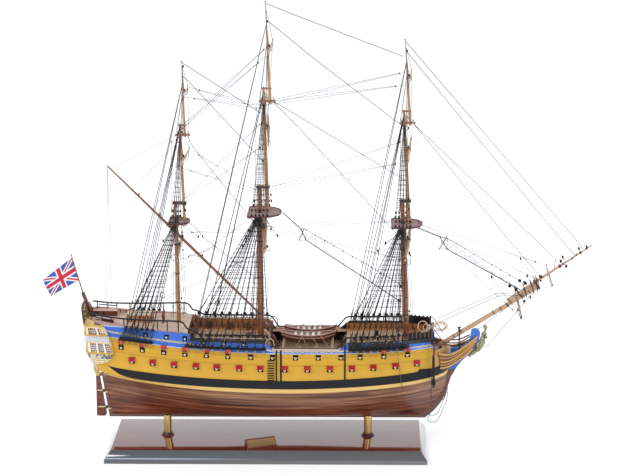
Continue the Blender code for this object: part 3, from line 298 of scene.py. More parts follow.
def pick_all():
    bpy.ops.mesh.select_all(action="SELECT")


def face_out():
    """In edit mode, turns all faces outwards."""
    pick_all()
    bpy.ops.mesh.normals_make_consistent(inside=False)


def shade_to(degrees):
    bpy.ops.object.shade_smooth_by_angle(angle=math.radians(degrees))


def done():
    bpy.ops.object.mode_set(mode="OBJECT")


def shape(obj, kind, **settings):
    """Adds one modifier with its settings and applies it."""
    alone(obj)
    step = obj.modifiers.new(kind.lower(), kind)
    for key, value in settings.items():
        setattr(step, key, value)
    bpy.ops.object.modifier_apply(modifier=step.name)


def soften(obj, width, segments=2, angle=30):
    """Small rounded edges, then smooth shading up to an angle."""
    shape(
        obj, "BEVEL", width=width * mm, segments=segments, limit_method="ANGLE",
        angle_limit=math.radians(angle), harden_normals=False,
    )
    shade_to(angle)
    return obj


def ball(name, radius, segments, rings, place=(0, 0, 0)):
    bpy.ops.object.select_all(action="DESELECT")
    bpy.ops.mesh.primitive_uv_sphere_add(
        segments=segments, ring_count=rings, radius=radius * mm, location=Vector(place) * mm
    )
    bpy.context.object.name = name
    return bpy.context.object


def put_in_scene(name, data):
    obj = bpy.data.objects.new(name, data)
    bpy.context.scene.collection.objects.link(obj)
    return obj


def dress(obj, material, body="ship", replaced=()):
    """Gives a finished piece its material, its body and the nodes it stands for."""
    obj.data.materials.clear()
    obj.data.materials.append(material)
    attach(obj, body)
    if replaced:
        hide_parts(*replaced)
    return obj


def lacquered_board():
    finish = Finish("lacquered_board", roughness=0.08, coat=1.0)
    shader = finish.shader
    shader.inputs["IOR"].default_value = 1.75
    shader.inputs["Coat IOR"].default_value = 1.75
    shader.inputs["Coat Roughness"].default_value = 0.03
    x, y, z = finish.axis("X"), finish.axis("Y"), finish.axis("Z")
    grain = finish.noise((7, 120, 50), detail=5.0)
    cloud = finish.noise((5, 8, 8), detail=2.0)
    streak = rise(grain, 0.35, 0.7)
    red = streak.mix((0.150, 0.022, 0.012), (0.230, 0.042, 0.020))
    # Painted reflections: the black border is bluish towards the stern, grey towards the bow and lighter low
    # down; the black rim grows lighter grey towards the bow.
    along = rise(x, -280.0, 200.0)
    low_bevel_painted_reflection = along.mix((0.022, 0.036, 0.070), (0.034, 0.040, 0.042))
    bevel_painted_reflection = rise(z, 7.0, 21.0).mix(low_bevel_painted_reflection, along.mix((0.008, 0.013, 0.028), (0.014, 0.016, 0.018)))
    # A painted highlight: a pale blue band along the foot of the border at the after end.
    painted_highlight_band = zone(z, 8.0, 9.6, 0.5) * (1.0 - rise(x, -220.0, 40.0))
    bevel_painted_reflection = (painted_highlight_band * 0.8).mix(bevel_painted_reflection, (0.50, 0.62, 0.78))
    rim = along.mix((0.012, 0.016, 0.026), (0.075, 0.082, 0.085))
    border = rise(z, 6.9, 7.3).mix(rim, bevel_painted_reflection)
    finish.set("Base Color", rise(z, 21.0, 21.25).mix(border, red))
    finish.set("Roughness", 0.05 + 0.05 * cloud)
    finish.bump(grain, 0.02, 0.0001)
    return finish.material


board_low, board_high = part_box("plinth")
board = new_cube("plinth_board", board_low / mm, Vector((board_high.x, board_high.y, 7.0 * mm)) / mm)
edit(board)
pick(board, lambda face: face.normal.z > 0.9)
inset(11.2)
shift(0, 0, 14.3)
done()
soften(board, 0.5, 3, 12)
dress(board, lacquered_board(), replaced=["plinth"])


# A small wedge of red wood is glued to the plinth, turned a little, and carries a
# plate of aged brass. The plate is bare but for a raised border and its two pins.
def stained(
    name, dark, light, stretch=(50, 240, 240), relief=0.15, roughness=0.4, metallic=0.0, coat=0.1,
    detail=3.0, depth=0.0002,
):
    """A finish that wavers between two colours, with a fine relief to match."""
    finish = Finish(name, roughness, metallic, coat)
    grain = finish.noise(stretch, detail)
    finish.set("Base Color", grain.mix(dark, light))
    finish.bump(grain, relief, depth)
    return finish.material


def repaint(name, material):
    """Gives a solid of the frame its finish."""
    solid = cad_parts[name]
    solid.data.materials.clear()
    solid.data.materials.append(material)


def aged_brass():
    finish = Finish("aged_brass", roughness=0.35, metallic=1.0)
    brushed = finish.noise((60, 900, 900), detail=4.0)
    stain = finish.noise((70, 90, 90), detail=3.0)
    warm = stain.mix((0.36, 0.215, 0.095), (0.47, 0.29, 0.13))
    finish.set("Base Color", brushed.mix(warm, (0.42, 0.26, 0.115)))
    finish.set("Roughness", 0.42 + 0.15 * stain)
    finish.bump(brushed, 0.12, 0.0001)
    return finish.material


repaint("nameplate_block", stained(
    "wedge_wood", (0.075, 0.010, 0.010), (0.23, 0.022, 0.016), (12, 160, 90), 0.05, 0.2, coat=0.7,
    detail=4.0, depth=0.0001,
))
plate_low, plate_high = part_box("nameplate")
plate_mid = (plate_low + plate_high) / 2
plate_turn, plate_slope = math.radians(23.2), math.atan2(13.0, 12.0)
plate_long, plate_tall = 50.2, 13.7
plate_place = (
    Matrix.Translation(plate_mid) @ Matrix.Rotation(plate_turn, 4, "Z") @ Matrix.Rotation(plate_slope, 4, "X")
)
plate = new_cube(
    "nameplate_sheet", (-plate_long / 2, -plate_tall / 2, -0.6), (plate_long / 2, plate_tall / 2, 0.6)
)
edit(plate)
pick(plate, lambda face: face.normal.z > 0.9)
inset(0.9)
inset(0.4)
shift(0, 0, -0.3)
done()
plate.matrix_world = plate_place
still(plate)
soften(plate, 0.12, 2, 30)
dress(plate, aged_brass(), replaced=["nameplate"])
for number, side in enumerate((-1, 1)):
    pin = ball("plate_pin_%d" % number, 0.6, 16, 8)
    edit(pin)
    pick(pin, lambda face: face.calc_center_median().z < -0.1 * mm)
    stretch_by(1, 1, 0.1)
    done()
    pin.matrix_world = plate_place @ Matrix.Translation(Vector((side * (plate_long / 2 - 3.2), 0, 0.4)) * mm)
    still(pin)
    pin.data.shade_smooth()
    dress(pin, plate.data.materials[0])


# Two turned brass columns carry the keel in a slot cut across their heads. A dark
# turned collar covers the foot of each.
def turned_piece(name, outline, foot, sides=40):
    """Spins an outline of radius and height pairs about the upright through foot."""
    bpy.ops.object.select_all(action="DESELECT")
    mesh = bpy.data.meshes.new(name)
    points = [(radius * mm, 0, height * mm) for radius, height in outline]
    mesh.from_pydata(points, [(k, k + 1) for k in range(len(points) - 1)], [])
    obj = put_in_scene(name, mesh)
    edit(obj, "VERT")
    pick_all()
    bpy.ops.mesh.spin(steps=sides, angle=2 * math.pi, center=(0, 0, 0), axis=(0, 0, 1))
    pick_all()
    bpy.ops.mesh.remove_doubles(threshold=0.00001)
    bpy.ops.mesh.normals_make_consistent(inside=False)
    done()
    obj.location = Vector(foot) * mm
    still(obj)
    shade_to(40)
    return obj


def cut_by(obj, tool):
    """Cuts the tool's form out of a piece; the tool is used up."""
    shape(obj, "BOOLEAN", operation="DIFFERENCE", object=tool, solver="EXACT")
    bpy.data.objects.remove(tool)


def polished_brass():
    finish = Finish("polished_brass", roughness=0.2, metallic=1.0)
    rings = finish.noise((40, 40, 2600), detail=2.0)
    haze = finish.noise((90, 90, 60), detail=3.0)
    finish.set("Base Color", haze.mix((0.62, 0.40, 0.14), (0.80, 0.56, 0.24)))
    finish.set("Roughness", 0.16 + 0.16 * haze)
    finish.bump(rings, 0.08, 0.0001)
    return finish.material


brass = polished_brass()
collar_finish = stained(
    "collar_wood", (0.035, 0.010, 0.008), (0.12, 0.028, 0.014), (50, 50, 700), 0.08, 0.25, coat=0.6,
    depth=0.0001,
)
keel_slot_floor = 54.4
for name in ("pedestal_aft", "pedestal_fore"):
    low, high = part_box(name)
    centre = (low + high) / 2 / mm
    base, head = low.z / mm, high.z / mm
    rise_of = head - base
    column = turned_piece("column_" + name, [
        (0, 0.2), (7.1, 0.2), (7.1, rise_of - 0.5), (6.6, rise_of), (0, rise_of),
    ], (centre.x, 0, base))
    cut_by(
        column, new_cube("keel_slot", (centre.x - 9, -2.9, keel_slot_floor), (centre.x + 9, 2.9, head + 3))
    )
    dress(column, brass, replaced=[name])
    collar = turned_piece("collar_" + name, [
        (7.12, 0.05), (10.9, 0.05), (11.4, 0.5), (11.4, 1.3), (11.0, 1.9), (10.0, 2.5), (9.3, 3.2),
        (8.7, 4.0), (8.6, 4.5), (8.8, 4.9), (8.5, 5.2), (7.12, 5.2), (7.12, 0.05),
    ], (centre.x, 0, base))
    dress(collar, collar_finish)


# The bottom is planked in walnut from the keel to the wale. The planks run fore and
# aft with the swell of the hull, butt at staggered frames and are varnished; the
# strake under the wale is painted ochre.
keel_low, keel_side, rabbet, midship, half_beam = 54.7, 2.6, 60.0, 40.0, 80.0
stem_x, stern_x, stern_half = 312.5, -300.0, 48.0
wale_tall = 14.5


def wale_z(x):
    """Height of the wale's lower edge, sweeping up to both ends."""
    return 130.5 + 1.75e-4 * max(0.0, 50.0 - x) ** 2 + 16.0 * (max(0.0, x - 50.0) / 262.0) ** 1.5


def bottom_end(f, bow):
    if bow:
        return stem_x - 50.0 * (1.0 - f) ** 2.6
    return -272.2 - 14.7 * f


def bottom_half(t, f, bow):
    """Half breadth: t runs from midships to the end, f from the keel to the wale."""
    full = keel_side + (half_beam - keel_side) * (1.0 - (1.0 - f) ** 2.6) ** 0.6
    if bow:
        body = max(0.0, 1.0 - t ** (1.9 + 2.1 * f ** 1.2)) ** (1.15 - 0.65 * f)
        return keel_side + (full - keel_side) * body
    end = keel_side + (stern_half - keel_side) * (max(0.0, f - 0.6) / 0.4) ** 1.7
    body = max(0.0, 1.0 - t ** (1.7 + 1.5 * f)) ** (1.9 - 0.9 * f)
    return end + (full - end) * body


def grid(name, across_count, along_count):
    """A flat grid with a UV map from 0 to 1, to be bent to a surface."""
    bpy.ops.object.select_all(action="DESELECT")
    bpy.ops.mesh.primitive_grid_add(
        x_subdivisions=across_count, y_subdivisions=along_count, size=2.0, calc_uvs=True
    )
    obj = bpy.context.object
    obj.name = name
    return obj


def thicken(obj, thickness, offset=-1.0):
    shape(obj, "SOLIDIFY", thickness=thickness * mm, offset=offset)


def from_waist(x):
    """How far a place lies abaft and before the waist, as two wires."""
    return (50.0 - x).math("MAXIMUM", 0.0), (x - 50.0).math("MAXIMUM", 0.0)


def wale_line(x):
    """The wale's lower edge as a wire, in millimetres."""
    aft, fore = from_waist(x)
    return 130.5 + 1.75e-4 * aft * aft + 16.0 * (fore / 262.0) ** 1.5


def walnut(name, planked=True):
    """Varnished walnut: streaks along each plank, planks of different browns, and painted light: lighter high
    on the bilge, darker low down.
    """
    finish = Finish(name, roughness=0.38, coat=0.12)
    x, z = finish.axis("X"), finish.axis("Z")
    if planked:
        rows = finish.unwrapped.node(
            "ShaderNodeMapping", {}, {"Vector": finish.unwrapped, "Scale": (7, 54, 1)}
        )
        plank = rows.node(
            "ShaderNodeTexBrick", {"offset": 0.0, "offset_frequency": 1},
            {"Vector": rows, "Color1": (0, 0, 0, 1), "Color2": (1, 1, 1, 1), "Mortar": (0.5, 0.5, 0.5, 1),
             "Scale": 1.0, "Mortar Size": 0.05, "Mortar Smooth": 0.5, "Brick Width": 90.0, "Row Height": 1.0},
        )
        seam = Wire(plank.tree, plank.socket.node.outputs["Fac"])
        streak = finish.noise((16, 420, 1), detail=5.0, place=finish.unwrapped)
        sweep_tone = finish.noise((4, 34, 1), detail=3.0, place=finish.unwrapped)
    else:
        plank = finish.noise((12, 12, 12))
        seam = None
        streak = finish.noise((60, 60, 700), detail=4.0)
        sweep_tone = finish.noise((14, 14, 14))
    tone = clamp01(plank * 0.12 + streak * 1.7 + sweep_tone * 2.4 - 1.62)
    # Painted light: the wood is paler and pinker high on the bilge, a painted highlight, and darker and
    # redder low down, a painted shade; the line between them rises towards the ends.
    painted_shade_low = 1.0 - rise(z - (x / 320.0).math("ABSOLUTE") * 16.0, 62.0, 112.0)
    pale = tone.node("ShaderNodeValToRGB", {"stops": (
        (0.0, (0.036, 0.009, 0.004)), (0.3, (0.110, 0.029, 0.012)), (0.6, (0.240, 0.092, 0.042)),
        (1.0, (0.460, 0.240, 0.125)),
    )}, {0: tone})
    deep = tone.node("ShaderNodeValToRGB", {"stops": (
        (0.0, (0.022, 0.005, 0.002)), (0.35, (0.100, 0.017, 0.005)), (0.7, (0.230, 0.048, 0.015)),
        (1.0, (0.350, 0.124, 0.048)),
    )}, {0: tone})
    wood = painted_shade_low.mix(pale, deep)
    if seam:
        wood = (seam * 0.3).mix(wood, (0.030, 0.010, 0.007))
        ochre = streak.mix((0.66, 0.40, 0.085), (0.80, 0.55, 0.19))
        under = wale_line(x) - 7.2 + rise(x, -255.0, -281.0) * 7.0
        wood = rise(z, under, under + 0.5).mix(wood, ochre)
        finish.bump(streak * 0.3 - seam, 0.35, 0.0003)
    else:
        ochre = streak.mix((0.60, 0.34, 0.05), (0.78, 0.50, 0.13))
        wood = (rise(z, 128.8, 129.4) * rise(x, -255.0, -256.0)).mix(wood, ochre)
        finish.bump(streak, 0.25, 0.0002)
    finish.set("Base Color", wood)
    finish.set("Roughness", 0.32 + 0.2 * streak)
    return finish.material


bottom = grid("bottom_planking", 180, 65)
for vertex in bottom.data.vertices:
    along, up = vertex.co.x, vertex.co.y
    bow = along > 0
    t = 1.0 - (1.0 - abs(along)) ** 1.5
    f = max(0.0, (abs(up) - 0.02) / 0.98)
    end = bottom_end(f, bow)
    x = midship + t * (end - midship)
    z = rabbet + 0.3 + f * (wale_z(x) - rabbet - 0.45)
    half = 0.0 if abs(up) < 0.02 else bottom_half(t, f, bow)
    vertex.co = (x * mm, math.copysign(half, up) * mm, z * mm)
thicken(bottom, 1.4)
edit(bottom)
face_out()
done()
bottom.data.shade_smooth()
shade_to(50)
dress(bottom, walnut("bottom_walnut"), replaced=["hull_bottom"])


# The keel, the stem and the sternpost are one frame of walnut. Above the wale the
# stem spreads into the knee of the head, which is painted blue.
def backbone_finish():
    finish = Finish("backbone_wood", roughness=0.38, coat=0.25)
    x, z = finish.axis("X"), finish.axis("Z")
    streak = finish.noise((30, 200, 500), detail=4.0)
    wood = streak.mix((0.075, 0.030, 0.020), (0.215, 0.100, 0.062))
    stain = finish.noise((150, 150, 150), detail=2.0)
    blue = stain.mix((0.022, 0.125, 0.55), (0.035, 0.19, 0.70))
    past_stem = rise(x, 312.0, 313.0)
    above_wale = rise(z, 143.0, 144.0)
    finish.set("Base Color", (past_stem * above_wale).mix(wood, blue))
    finish.bump(streak, 0.2, 0.0002)
    return finish.material


repaint("keel_and_stem", backbone_finish())


# The rudder is a walnut blade that hangs on its pintles between three pairs of pale
# brass straps. One of each pair runs forward over the sternpost and one back over
# the blade, and small pins hold them.
repaint("rudder", walnut("rudder_walnut", planked=False))
strap_finish = stained(
    "strap_brass", (0.66, 0.50, 0.28), (0.88, 0.76, 0.50), (300, 300, 300), 0.1, 0.35, 0.85, 0.0, depth=0.0001
)
strap_levels = (71.0, 101.0, 131.0)


def post_x(z):
    return -276.7 - 0.15 * (z - keel_low)


def join_all(pieces, name):
    alone(pieces[0])
    for piece in pieces:
        piece.select_set(True)
    bpy.ops.object.join()
    pieces[0].name = name
    return pieces[0]


def strap(name, x0, x1, z, half):
    """A strap round both faces, its end rounded and pinned."""
    parts = []
    for side in (-1, 1):
        y0, y1 = sorted((side * half, side * (half + 0.45)))
        bar = new_cube(name, (min(x0, x1), y0, z - 1.0), (max(x0, x1), y1, z + 1.0))
        edit(bar)
        pick_all()
        bpy.ops.mesh.subdivide(number_cuts=2)
        tip = x1 * mm
        pick(bar, lambda face: abs(face.calc_center_median().x - tip) < 0.1 * mm)
        stretch_by(1, 1, 0.45)
        done()
        parts.append(soften(bar, 0.12, 2))
        for share in (0.2, 0.5, 0.8):
            x = x0 + (x1 - x0) * share
            parts.append(still(ball("rivet", 0.35, 8, 6, (x, side * (half + 0.4), z))))
    return join_all(parts, name)


for number, z in enumerate(strap_levels):
    reach = 20.0 if z < 120 else 14.0
    spread = 2.6
    post_strap = strap("post_strap_%d" % number, post_x(z) - 0.4, post_x(z) + reach, z - 1.3, spread)
    dress(post_strap, strap_finish)
    blade_strap = strap("blade_strap_%d" % number, post_x(z) - 4.0, -298.0, z + 1.7, 2.4)
    dress(blade_strap, strap_finish, body="rudder")


# The topsides are planked above the wale and lean inwards as they rise. Ochre paint
# covers the gun decks; above them a blue frieze carries gold scrollwork.
side_top_line = (
    (-312.0, 243.5), (-277.0, 238.5), (-240.0, 233.5), (-215.0, 230.5), (-204.0, 229.7), (-143.0, 224.8),
    (-128.0, 222.3), (-121.0, 217.5), (0.0, 215.5), (13.0, 197.0),
    (127.0, 197.0), (140.0, 209.0), (281.0, 212.0), (286.0, 188.5), (314.0, 188.5),
)
counter_line = ((150.0, -285.0), (152.0, -286.0), (166.0, -291.0), (174.0, -297.0), (178.0, -300.0))


def side_top(x):
    return float(np.interp(x, [p[0] for p in side_top_line], [p[1] for p in side_top_line]))


def side_half(x, h):
    """Half breadth of the topsides at a height above the wale's lower edge."""
    lean = 22.0 * (max(0.0, h - 25.0) / 80.0) ** 1.25
    if x > midship:
        t = min(1.0, (x - midship) / (stem_x - midship))
        return 2.9 + (half_beam - 2.9 - lean) * max(0.0, 1.0 - t ** 4) ** 0.5
    end = stern_half - 0.45 * lean
    return end + (half_beam - lean - end) * (1.0 - ((midship - x) / (midship - stern_x)) ** 3.2)


def raked(x, z):
    """The after end of the side follows the rake of the counter."""
    if x > -250.0:
        return x
    end = float(np.interp(z, [p[0] for p in counter_line], [p[1] for p in counter_line]))
    return -250.0 + (-250.0 - x) / 50.0 * (end + 250.0)


def side_point(x, z, side, proud=0.0):
    """A point on the planking, or standing proud of it square to its run."""
    h = z - wale_z(x)
    x0, x1 = max(stern_x, x - 0.4), min(stem_x, x + 0.4)
    slope = (side_half(x1, h) - side_half(x0, h)) / (x1 - x0)
    outward = Vector((-slope, 1.0)).normalized()
    if x > stem_x - 0.01:
        outward = Vector((1.0, 0.0))
    y = side_half(x, h) + outward.y * proud
    return Vector((raked(x, z) + outward.x * proud, side * y, z))


side_columns = sorted(
    set(p[0] for p in side_top_line[1:-1])
    | set(float(x) for x in np.linspace(stern_x, 150, 96))
    | set(float(stem_x - (stem_x - 150) * (1 - s) ** 2) for s in np.linspace(0.02, 1, 44))
)


def skin(name, side, rows, proud=0.0):
    """A sheet over the side; rows gives the height of each row at a station."""
    sheet = grid(name, len(side_columns) - 1, rows(0.0)[1])
    count = len(side_columns)
    for index, vertex in enumerate(sheet.data.vertices):
        x = side_columns[index % count]
        level = (vertex.co.y + 1) / 2
        vertex.co = side_point(x, rows(x)[0](level), side, proud(x) if callable(proud) else proud) * mm
    return sheet


def face_outboard(sheet, side, face):
    """Turns a sheet away from the middle of the ship, judged by one of its faces."""
    if side * sheet.data.polygons[face].normal.y < 0:
        sheet.data.flip_normals()


def port_line(x, base, aft_rise, fore_rise):
    return base + aft_rise * 1e-4 * max(0.0, 50.0 - x) ** 2 + fore_rise * 1e-4 * max(0.0, x - 50.0) ** 2


def frieze_low(x):
    return port_line(x, 191.0, 2.35, 0.9)


poop_front, waist_aft, waist_fore = -132.0, 8.0, 138.0
gun_deck_sheer, upper_deck_sheer = (173.5, 1.7, 0.9), (195.5, 1.5, 0.8)


def topside_paint():
    finish = Finish("topside_paint", roughness=0.42, coat=0.15)
    x, z = finish.axis("X"), finish.axis("Z")
    aft, fore = from_waist(x)
    grain = finish.noise((25, 300, 420), detail=4.0)
    cloud = finish.noise((14, 20, 26), detail=2.0)
    ochre = clamp01(grain * 0.5 + cloud * 0.6 - 0.1).mix((0.54, 0.285, 0.010), (0.74, 0.43, 0.022))
    low_edge = 191.0 + 2.35e-4 * aft * aft + 0.9e-4 * fore * fore
    middle = 171.0 + 2.0e-4 * aft * aft + 1.2e-4 * fore * fore
    blue = cloud.mix((0.020, 0.110, 0.52), (0.040, 0.180, 0.70))
    above_low = z - low_edge
    wander = finish.noise((70, 70, 70), detail=1.0)
    centre = 8.6 - 2.6 * rise(x, poop_front, -118.0) - 2.0 * rise(x, 0.0, 14.0)
    beat = (x / 2.6 + wander * 4.0).math("SINE")
    curl = 1.0 - rise(((above_low - centre - beat * 0.9) / 0.7).math("ABSOLUTE"), 0.4, 1.1)
    leaf = 1.0 - rise(((above_low - centre + beat * 1.1) / 0.8).math("ABSOLUTE"), 0.4, 1.1)
    gold_mask = clamp01(curl + leaf) * rise(wander, 0.2, 0.4)
    gold = grain.mix((0.62, 0.48, 0.20), (0.85, 0.74, 0.45))
    frieze = gold_mask.mix(blue, gold)
    purple = grain.mix((0.34, 0.20, 0.32), (0.52, 0.36, 0.46))
    upper_strip = rise(z, 232.0, 232.6) * (1.0 - rise(x, -214.0, -208.0))
    frieze = upper_strip.mix(frieze, purple)
    under_top = 212.8 + 1.5e-4 * aft * aft + 0.8e-4 * fore * fore - z
    pitch = grain.mix((0.004, 0.004, 0.006), (0.016, 0.016, 0.020))
    by_main = zone(x, -128.0, 8.0, 1.0) * (1.0 - rise(under_top, 5.6, 6.2))
    by_fore = zone(x, 142.0, 246.0, 0.5) * (0.6 + rise(wander, 0.4, 0.48))
    by_bow = rise(x, 246.0, 246.5) * rise(z, 204.6, 205.2)
    frieze = clamp01(by_main + by_fore + by_bow).mix(frieze, pitch)
    colour = rise(above_low, -0.2, 0.2).mix(ochre, frieze)
    groove = zone(z - middle, -0.35, 0.35, 0.15)
    colour = (groove * 0.75).mix(colour, (0.10, 0.05, 0.01))
    past_end = rise(x, 287.6, 288.0)
    bow_wood = grain.mix((0.40, 0.19, 0.035), (0.66, 0.38, 0.10))
    colour = past_end.mix(colour, bow_wood)
    finish.set("Base Color", colour)
    finish.set("Roughness", 0.34 + 0.2 * grain)
    finish.bump(grain * 0.25 + gold_mask * rise(above_low, -0.2, 0.2) - groove * 0.8, 0.4, 0.0004)
    return finish.material


lower_guns_x = (
    -227.7, -191.6, -154.9, -117.4, -81.9, -43.7, -7.5, 34.0, 72.5, 110.6, 148.1, 184.6, 222.0, 258.8,
)
upper_guns_x = (
    -246.5, -209.7, -172.8, -136.4, -99.7, -63.0, -24.1, 12.8, 52.3, 90.8, 129.6, 162.0, 202.3, 242.4,
)
cabin_guns = ((-204.4, 14.5), (-168.2, 14.5), (-136.5, 14.5), (-104.0, 9.5), (-70.0, 9.5), (-36.0, 9.5))


def port_places():
    """Centre, size, lid and gun of each port along one side."""
    places = []
    for k, (low_x, high_x) in enumerate(zip(lower_guns_x, upper_guns_x)):
        places.append((low_x, port_line(low_x, 165.0, 1.4, 1.4), 10.0, True, 7.0))
        places.append((high_x, port_line(high_x, 184.5, 1.5, 0.9), 9.0, k < 6 or k > 11, 5.0))
    for x, height in cabin_guns:
        places.append((x, port_line(x, *upper_deck_sheer) + height, 8.0, False, 3.8))
    return places


paint = topside_paint()
both_sides = (("starboard", -1), ("port", 1))
for name, side in both_sides:
    def wall_rows(x):
        low, high = wale_z(x) + 0.15, side_top(x)
        return (lambda share: low + (high - low) * share), 20

    wall = skin("topside_" + name, side, wall_rows)
    alone(wall)
    edit(wall)
    face_out()
    done()
    face_outboard(wall, side, len(wall.data.polygons) // 2)
    thicken(wall, 3.2)
    cutter_parts = []
    for x, z, size, _, _ in port_places():
        y = abs(side_point(x, z, side).y)
        low_y, high_y = sorted((side * (y - 9), side * (y + 9)))
        cutter_parts.append(new_cube(
            "port_cutter", (x - size / 2, low_y, z - size / 2), (x + size / 2, high_y, z + size / 2)
        ))
    cut_by(wall, join_all(cutter_parts, "port_cutters"))
    shade_to(35)
    dress(wall, paint, replaced=["side_" + name])


# The wale is a belt of thick black planks round the hull at the waterline. It runs
# out to a point under the stern and steps up by one plank at the bow.
def black_paint():
    finish = Finish("black_paint")
    finish.shader.inputs["Specular IOR Level"].default_value = 0.25
    dust = finish.noise((120, 120, 260), detail=4.0)
    finish.set("Base Color", dust.mix((0.003, 0.003, 0.005), (0.013, 0.015, 0.022)))
    finish.set("Roughness", 0.28 + 0.3 * dust)
    finish.bump(dust, 0.15, 0.0002)
    return finish.material


black = black_paint()
for name, side in both_sides:
    def wale_rows(x):
        low = wale_z(x) + 0.2 + (wale_tall - 0.8) * min(1.0, max(0.0, -212.0 - x) / 64.0) ** 2.4
        high = wale_z(x) + wale_tall - 0.1
        if x > 262.0:
            high = max(high, 161.0 - 0.1 * (x - 262.0))
        return (lambda share: low + (high - low) * share), 6

    belt = skin("wale_" + name, side, wale_rows, lambda x: 1.1 * min(1.0, max(0.05, (x + 272.0) / 30.0)))
    face_outboard(belt, side, 60)
    thicken(belt, 1.0)
    soften(belt, 0.25, 2, 60)
    dress(belt, black)


# Each gun port is closed behind by a black box: painted shade for the dark inside of
# the open port. The lids are crimson boards hinged over the ports: those of the lower row stand out and
# droop, those of the upper row are hauled up against the side. Ports in the waist have none.
def copies(obj, frames, name):
    """Copies a finished piece to many places, each with its own mesh, as one piece."""
    made = []
    for place in frames:
        twin = obj.copy()
        twin.data = obj.data.copy()
        twin.data.transform(place)
        if place.determinant() < 0:
            twin.data.flip_normals()
        bpy.context.scene.collection.objects.link(twin)
        made.append(twin)
    bpy.data.objects.remove(obj)
    return join_all(made, name)


def smooth_copies(obj, frames, name):
    row = copies(obj, frames, name)
    row.data.shade_smooth()
    return row


def on_side(x, z, side):
    """The frame of a fitting on the side: Y points outboard, X along the ship."""
    place = Matrix.Translation(side_point(x, z, side) * mm)
    return place if side > 0 else place @ Matrix.Scale(-1, 4, (0, 1, 0))


crimson = stained(
    "crimson_paint", (0.30, 0.004, 0.018), (0.60, 0.012, 0.045), (160, 160, 160), roughness=0.35, coat=0.3
)
lid_board = new_cube("lid_board", (-0.5, 0, -0.06), (0.5, 1, 0.06))
edit(lid_board)
pick(lid_board, lambda face: face.normal.z < -0.9 or face.normal.z > 0.9)
inset(0.1, use_individual=True)
stretch_by(1, 1, 1.35)
done()
for name, side in both_sides:
    lids, linings = [], []
    for x, z, size, has_lid, outboard in port_places():
        reach = size * (1.08 if outboard > 6 else 0.92)
        lift = -21 if outboard > 6 else random.uniform(68, 80)
        if has_lid:
            hinge = Matrix.Translation((0, -0.3 * mm, (size / 2 + 0.9) * mm))
            lids.append(
                on_side(x, z, side) @ hinge @ Matrix.Rotation(math.radians(lift), 4, "X")
                @ Matrix.Diagonal((size * 1.12, reach, 10.0, 1))
            )
        linings.append(on_side(x, z, side) @ Matrix.Diagonal((size, 1.0, size, 1)))
    board_copy = lid_board.copy()
    board_copy.data = lid_board.data.copy()
    lid_row = copies(board_copy, lids, "port_lids_" + name)
    soften(lid_row, 0.12, 1)
    dress(lid_row, crimson)
    # The black box behind each port is painted shade for the dark inside of the open port.
    frame_piece = new_cube("port_lining", (-0.5, -3.4, -0.5), (0.5, 0.15, 0.5))
    edit(frame_piece)
    pick(frame_piece, lambda face: face.normal.y > 0.9)
    inset(0.09)
    shift(0, -2.6, 0)
    done()
    lining_row = copies(frame_piece, linings, "port_linings_" + name)
    dress(lining_row, black)
bpy.data.objects.remove(lid_board)


# The guns are blackened brass barrels with a swelled muzzle, the muzzle face left
# bright. Those of the lower deck stand furthest out.
def gun_metal():
    finish = Finish("gun_metal", roughness=0.35, metallic=0.3, coat=0.2)
    y = finish.unwrapped.node("ShaderNodeSeparateXYZ", {}, {0: finish.unwrapped})
    grime = finish.noise((400, 400, 400), detail=2.0)
    bright = grime.mix((0.62, 0.55, 0.36), (0.88, 0.84, 0.66))
    dark = grime.mix((0.006, 0.006, 0.008), (0.022, 0.022, 0.026))
    finish.set("Base Color", rise(y, 0.84, 0.86).mix(dark, bright))
    finish.bump(grime, 0.1, 0.0001)
    return finish.material


gun_finish = gun_metal()


def barrel_piece(name, radius, length):
    """A gun on the Y axis, its muzzle at the plus end; the UV runs along it."""
    outline = [
        (0.0, -1.0), (0.42, -0.95), (0.3, -0.55), (1.05, 0.0), (1.15, 0.6), (1.12, 5.0), (0.92, 7.0),
        (0.80, length - 3.2), (0.86, length - 2.8), (0.80, length - 2.4), (1.02, length - 0.9),
        (1.10, length - 0.35), (0.98, length), (0.52, length), (0.48, length - 1.6), (0.0, length - 1.6),
    ]
    barrel = turned_piece(name, [(r * radius, h) for r, h in outline], (0, 0, 0), sides=14)
    barrel.data.transform(Matrix.Rotation(-math.pi / 2, 4, "X"))
    layer = barrel.data.uv_layers.new(name="UVMap")
    for loop in barrel.data.loops:
        point = barrel.data.vertices[loop.vertex_index].co
        layer.data[loop.index].uv = (point.y / (length * mm), 0.0)
    return barrel


for name, side in both_sides:
    groups = {7.0: [], 5.0: [], 3.8: []}
    for x, z, _, _, outboard in port_places():
        groups[outboard].append((x, z))
    for outboard, radius, barrel_long, deck in (
        (7.0, 2.0, 16.0, "lower"), (5.0, 1.85, 22.0, "upper"), (3.8, 1.6, 20.0, "quarterdeck"),
    ):
        gun = barrel_piece("gun", radius, barrel_long)
        frames_here = [
            on_side(x, z, side) @ Matrix.Translation((0, (outboard + 0.3 - barrel_long) * mm, 0))
            for x, z in groups[outboard]
        ]
        dress(smooth_copies(gun, frames_here, "guns_%s_%s" % (deck, name)), gun_finish)


# Mouldings run the length of the topsides: one between the rows of ports, one above
# the chain plates, one under the frieze and a cap along the top edge.
def batten(name, side, line, x0, x1, tall, proud, finish, inward=0.3):
    """A strip bent along the side at a height given by line."""
    count = max(8, int((x1 - x0) / 5))
    xs = [x1 - (x1 - x0) * (1 - k / (count - 1)) ** (1.5 if x1 > 250 else 1.0) for k in range(count)]
    strip = grid(name, count - 1, 1)
    for index, vertex in enumerate(strip.data.vertices):
        x = xs[index % count]
        level = line(x) + (tall / 2 if vertex.co.y > 0 else -tall / 2)
        vertex.co = side_point(x, level, side, proud) * mm
    face_outboard(strip, side, count // 2)
    thicken(strip, proud + inward)
    soften(strip, min(0.3, tall / 4), 2, 50)
    return dress(strip, finish)


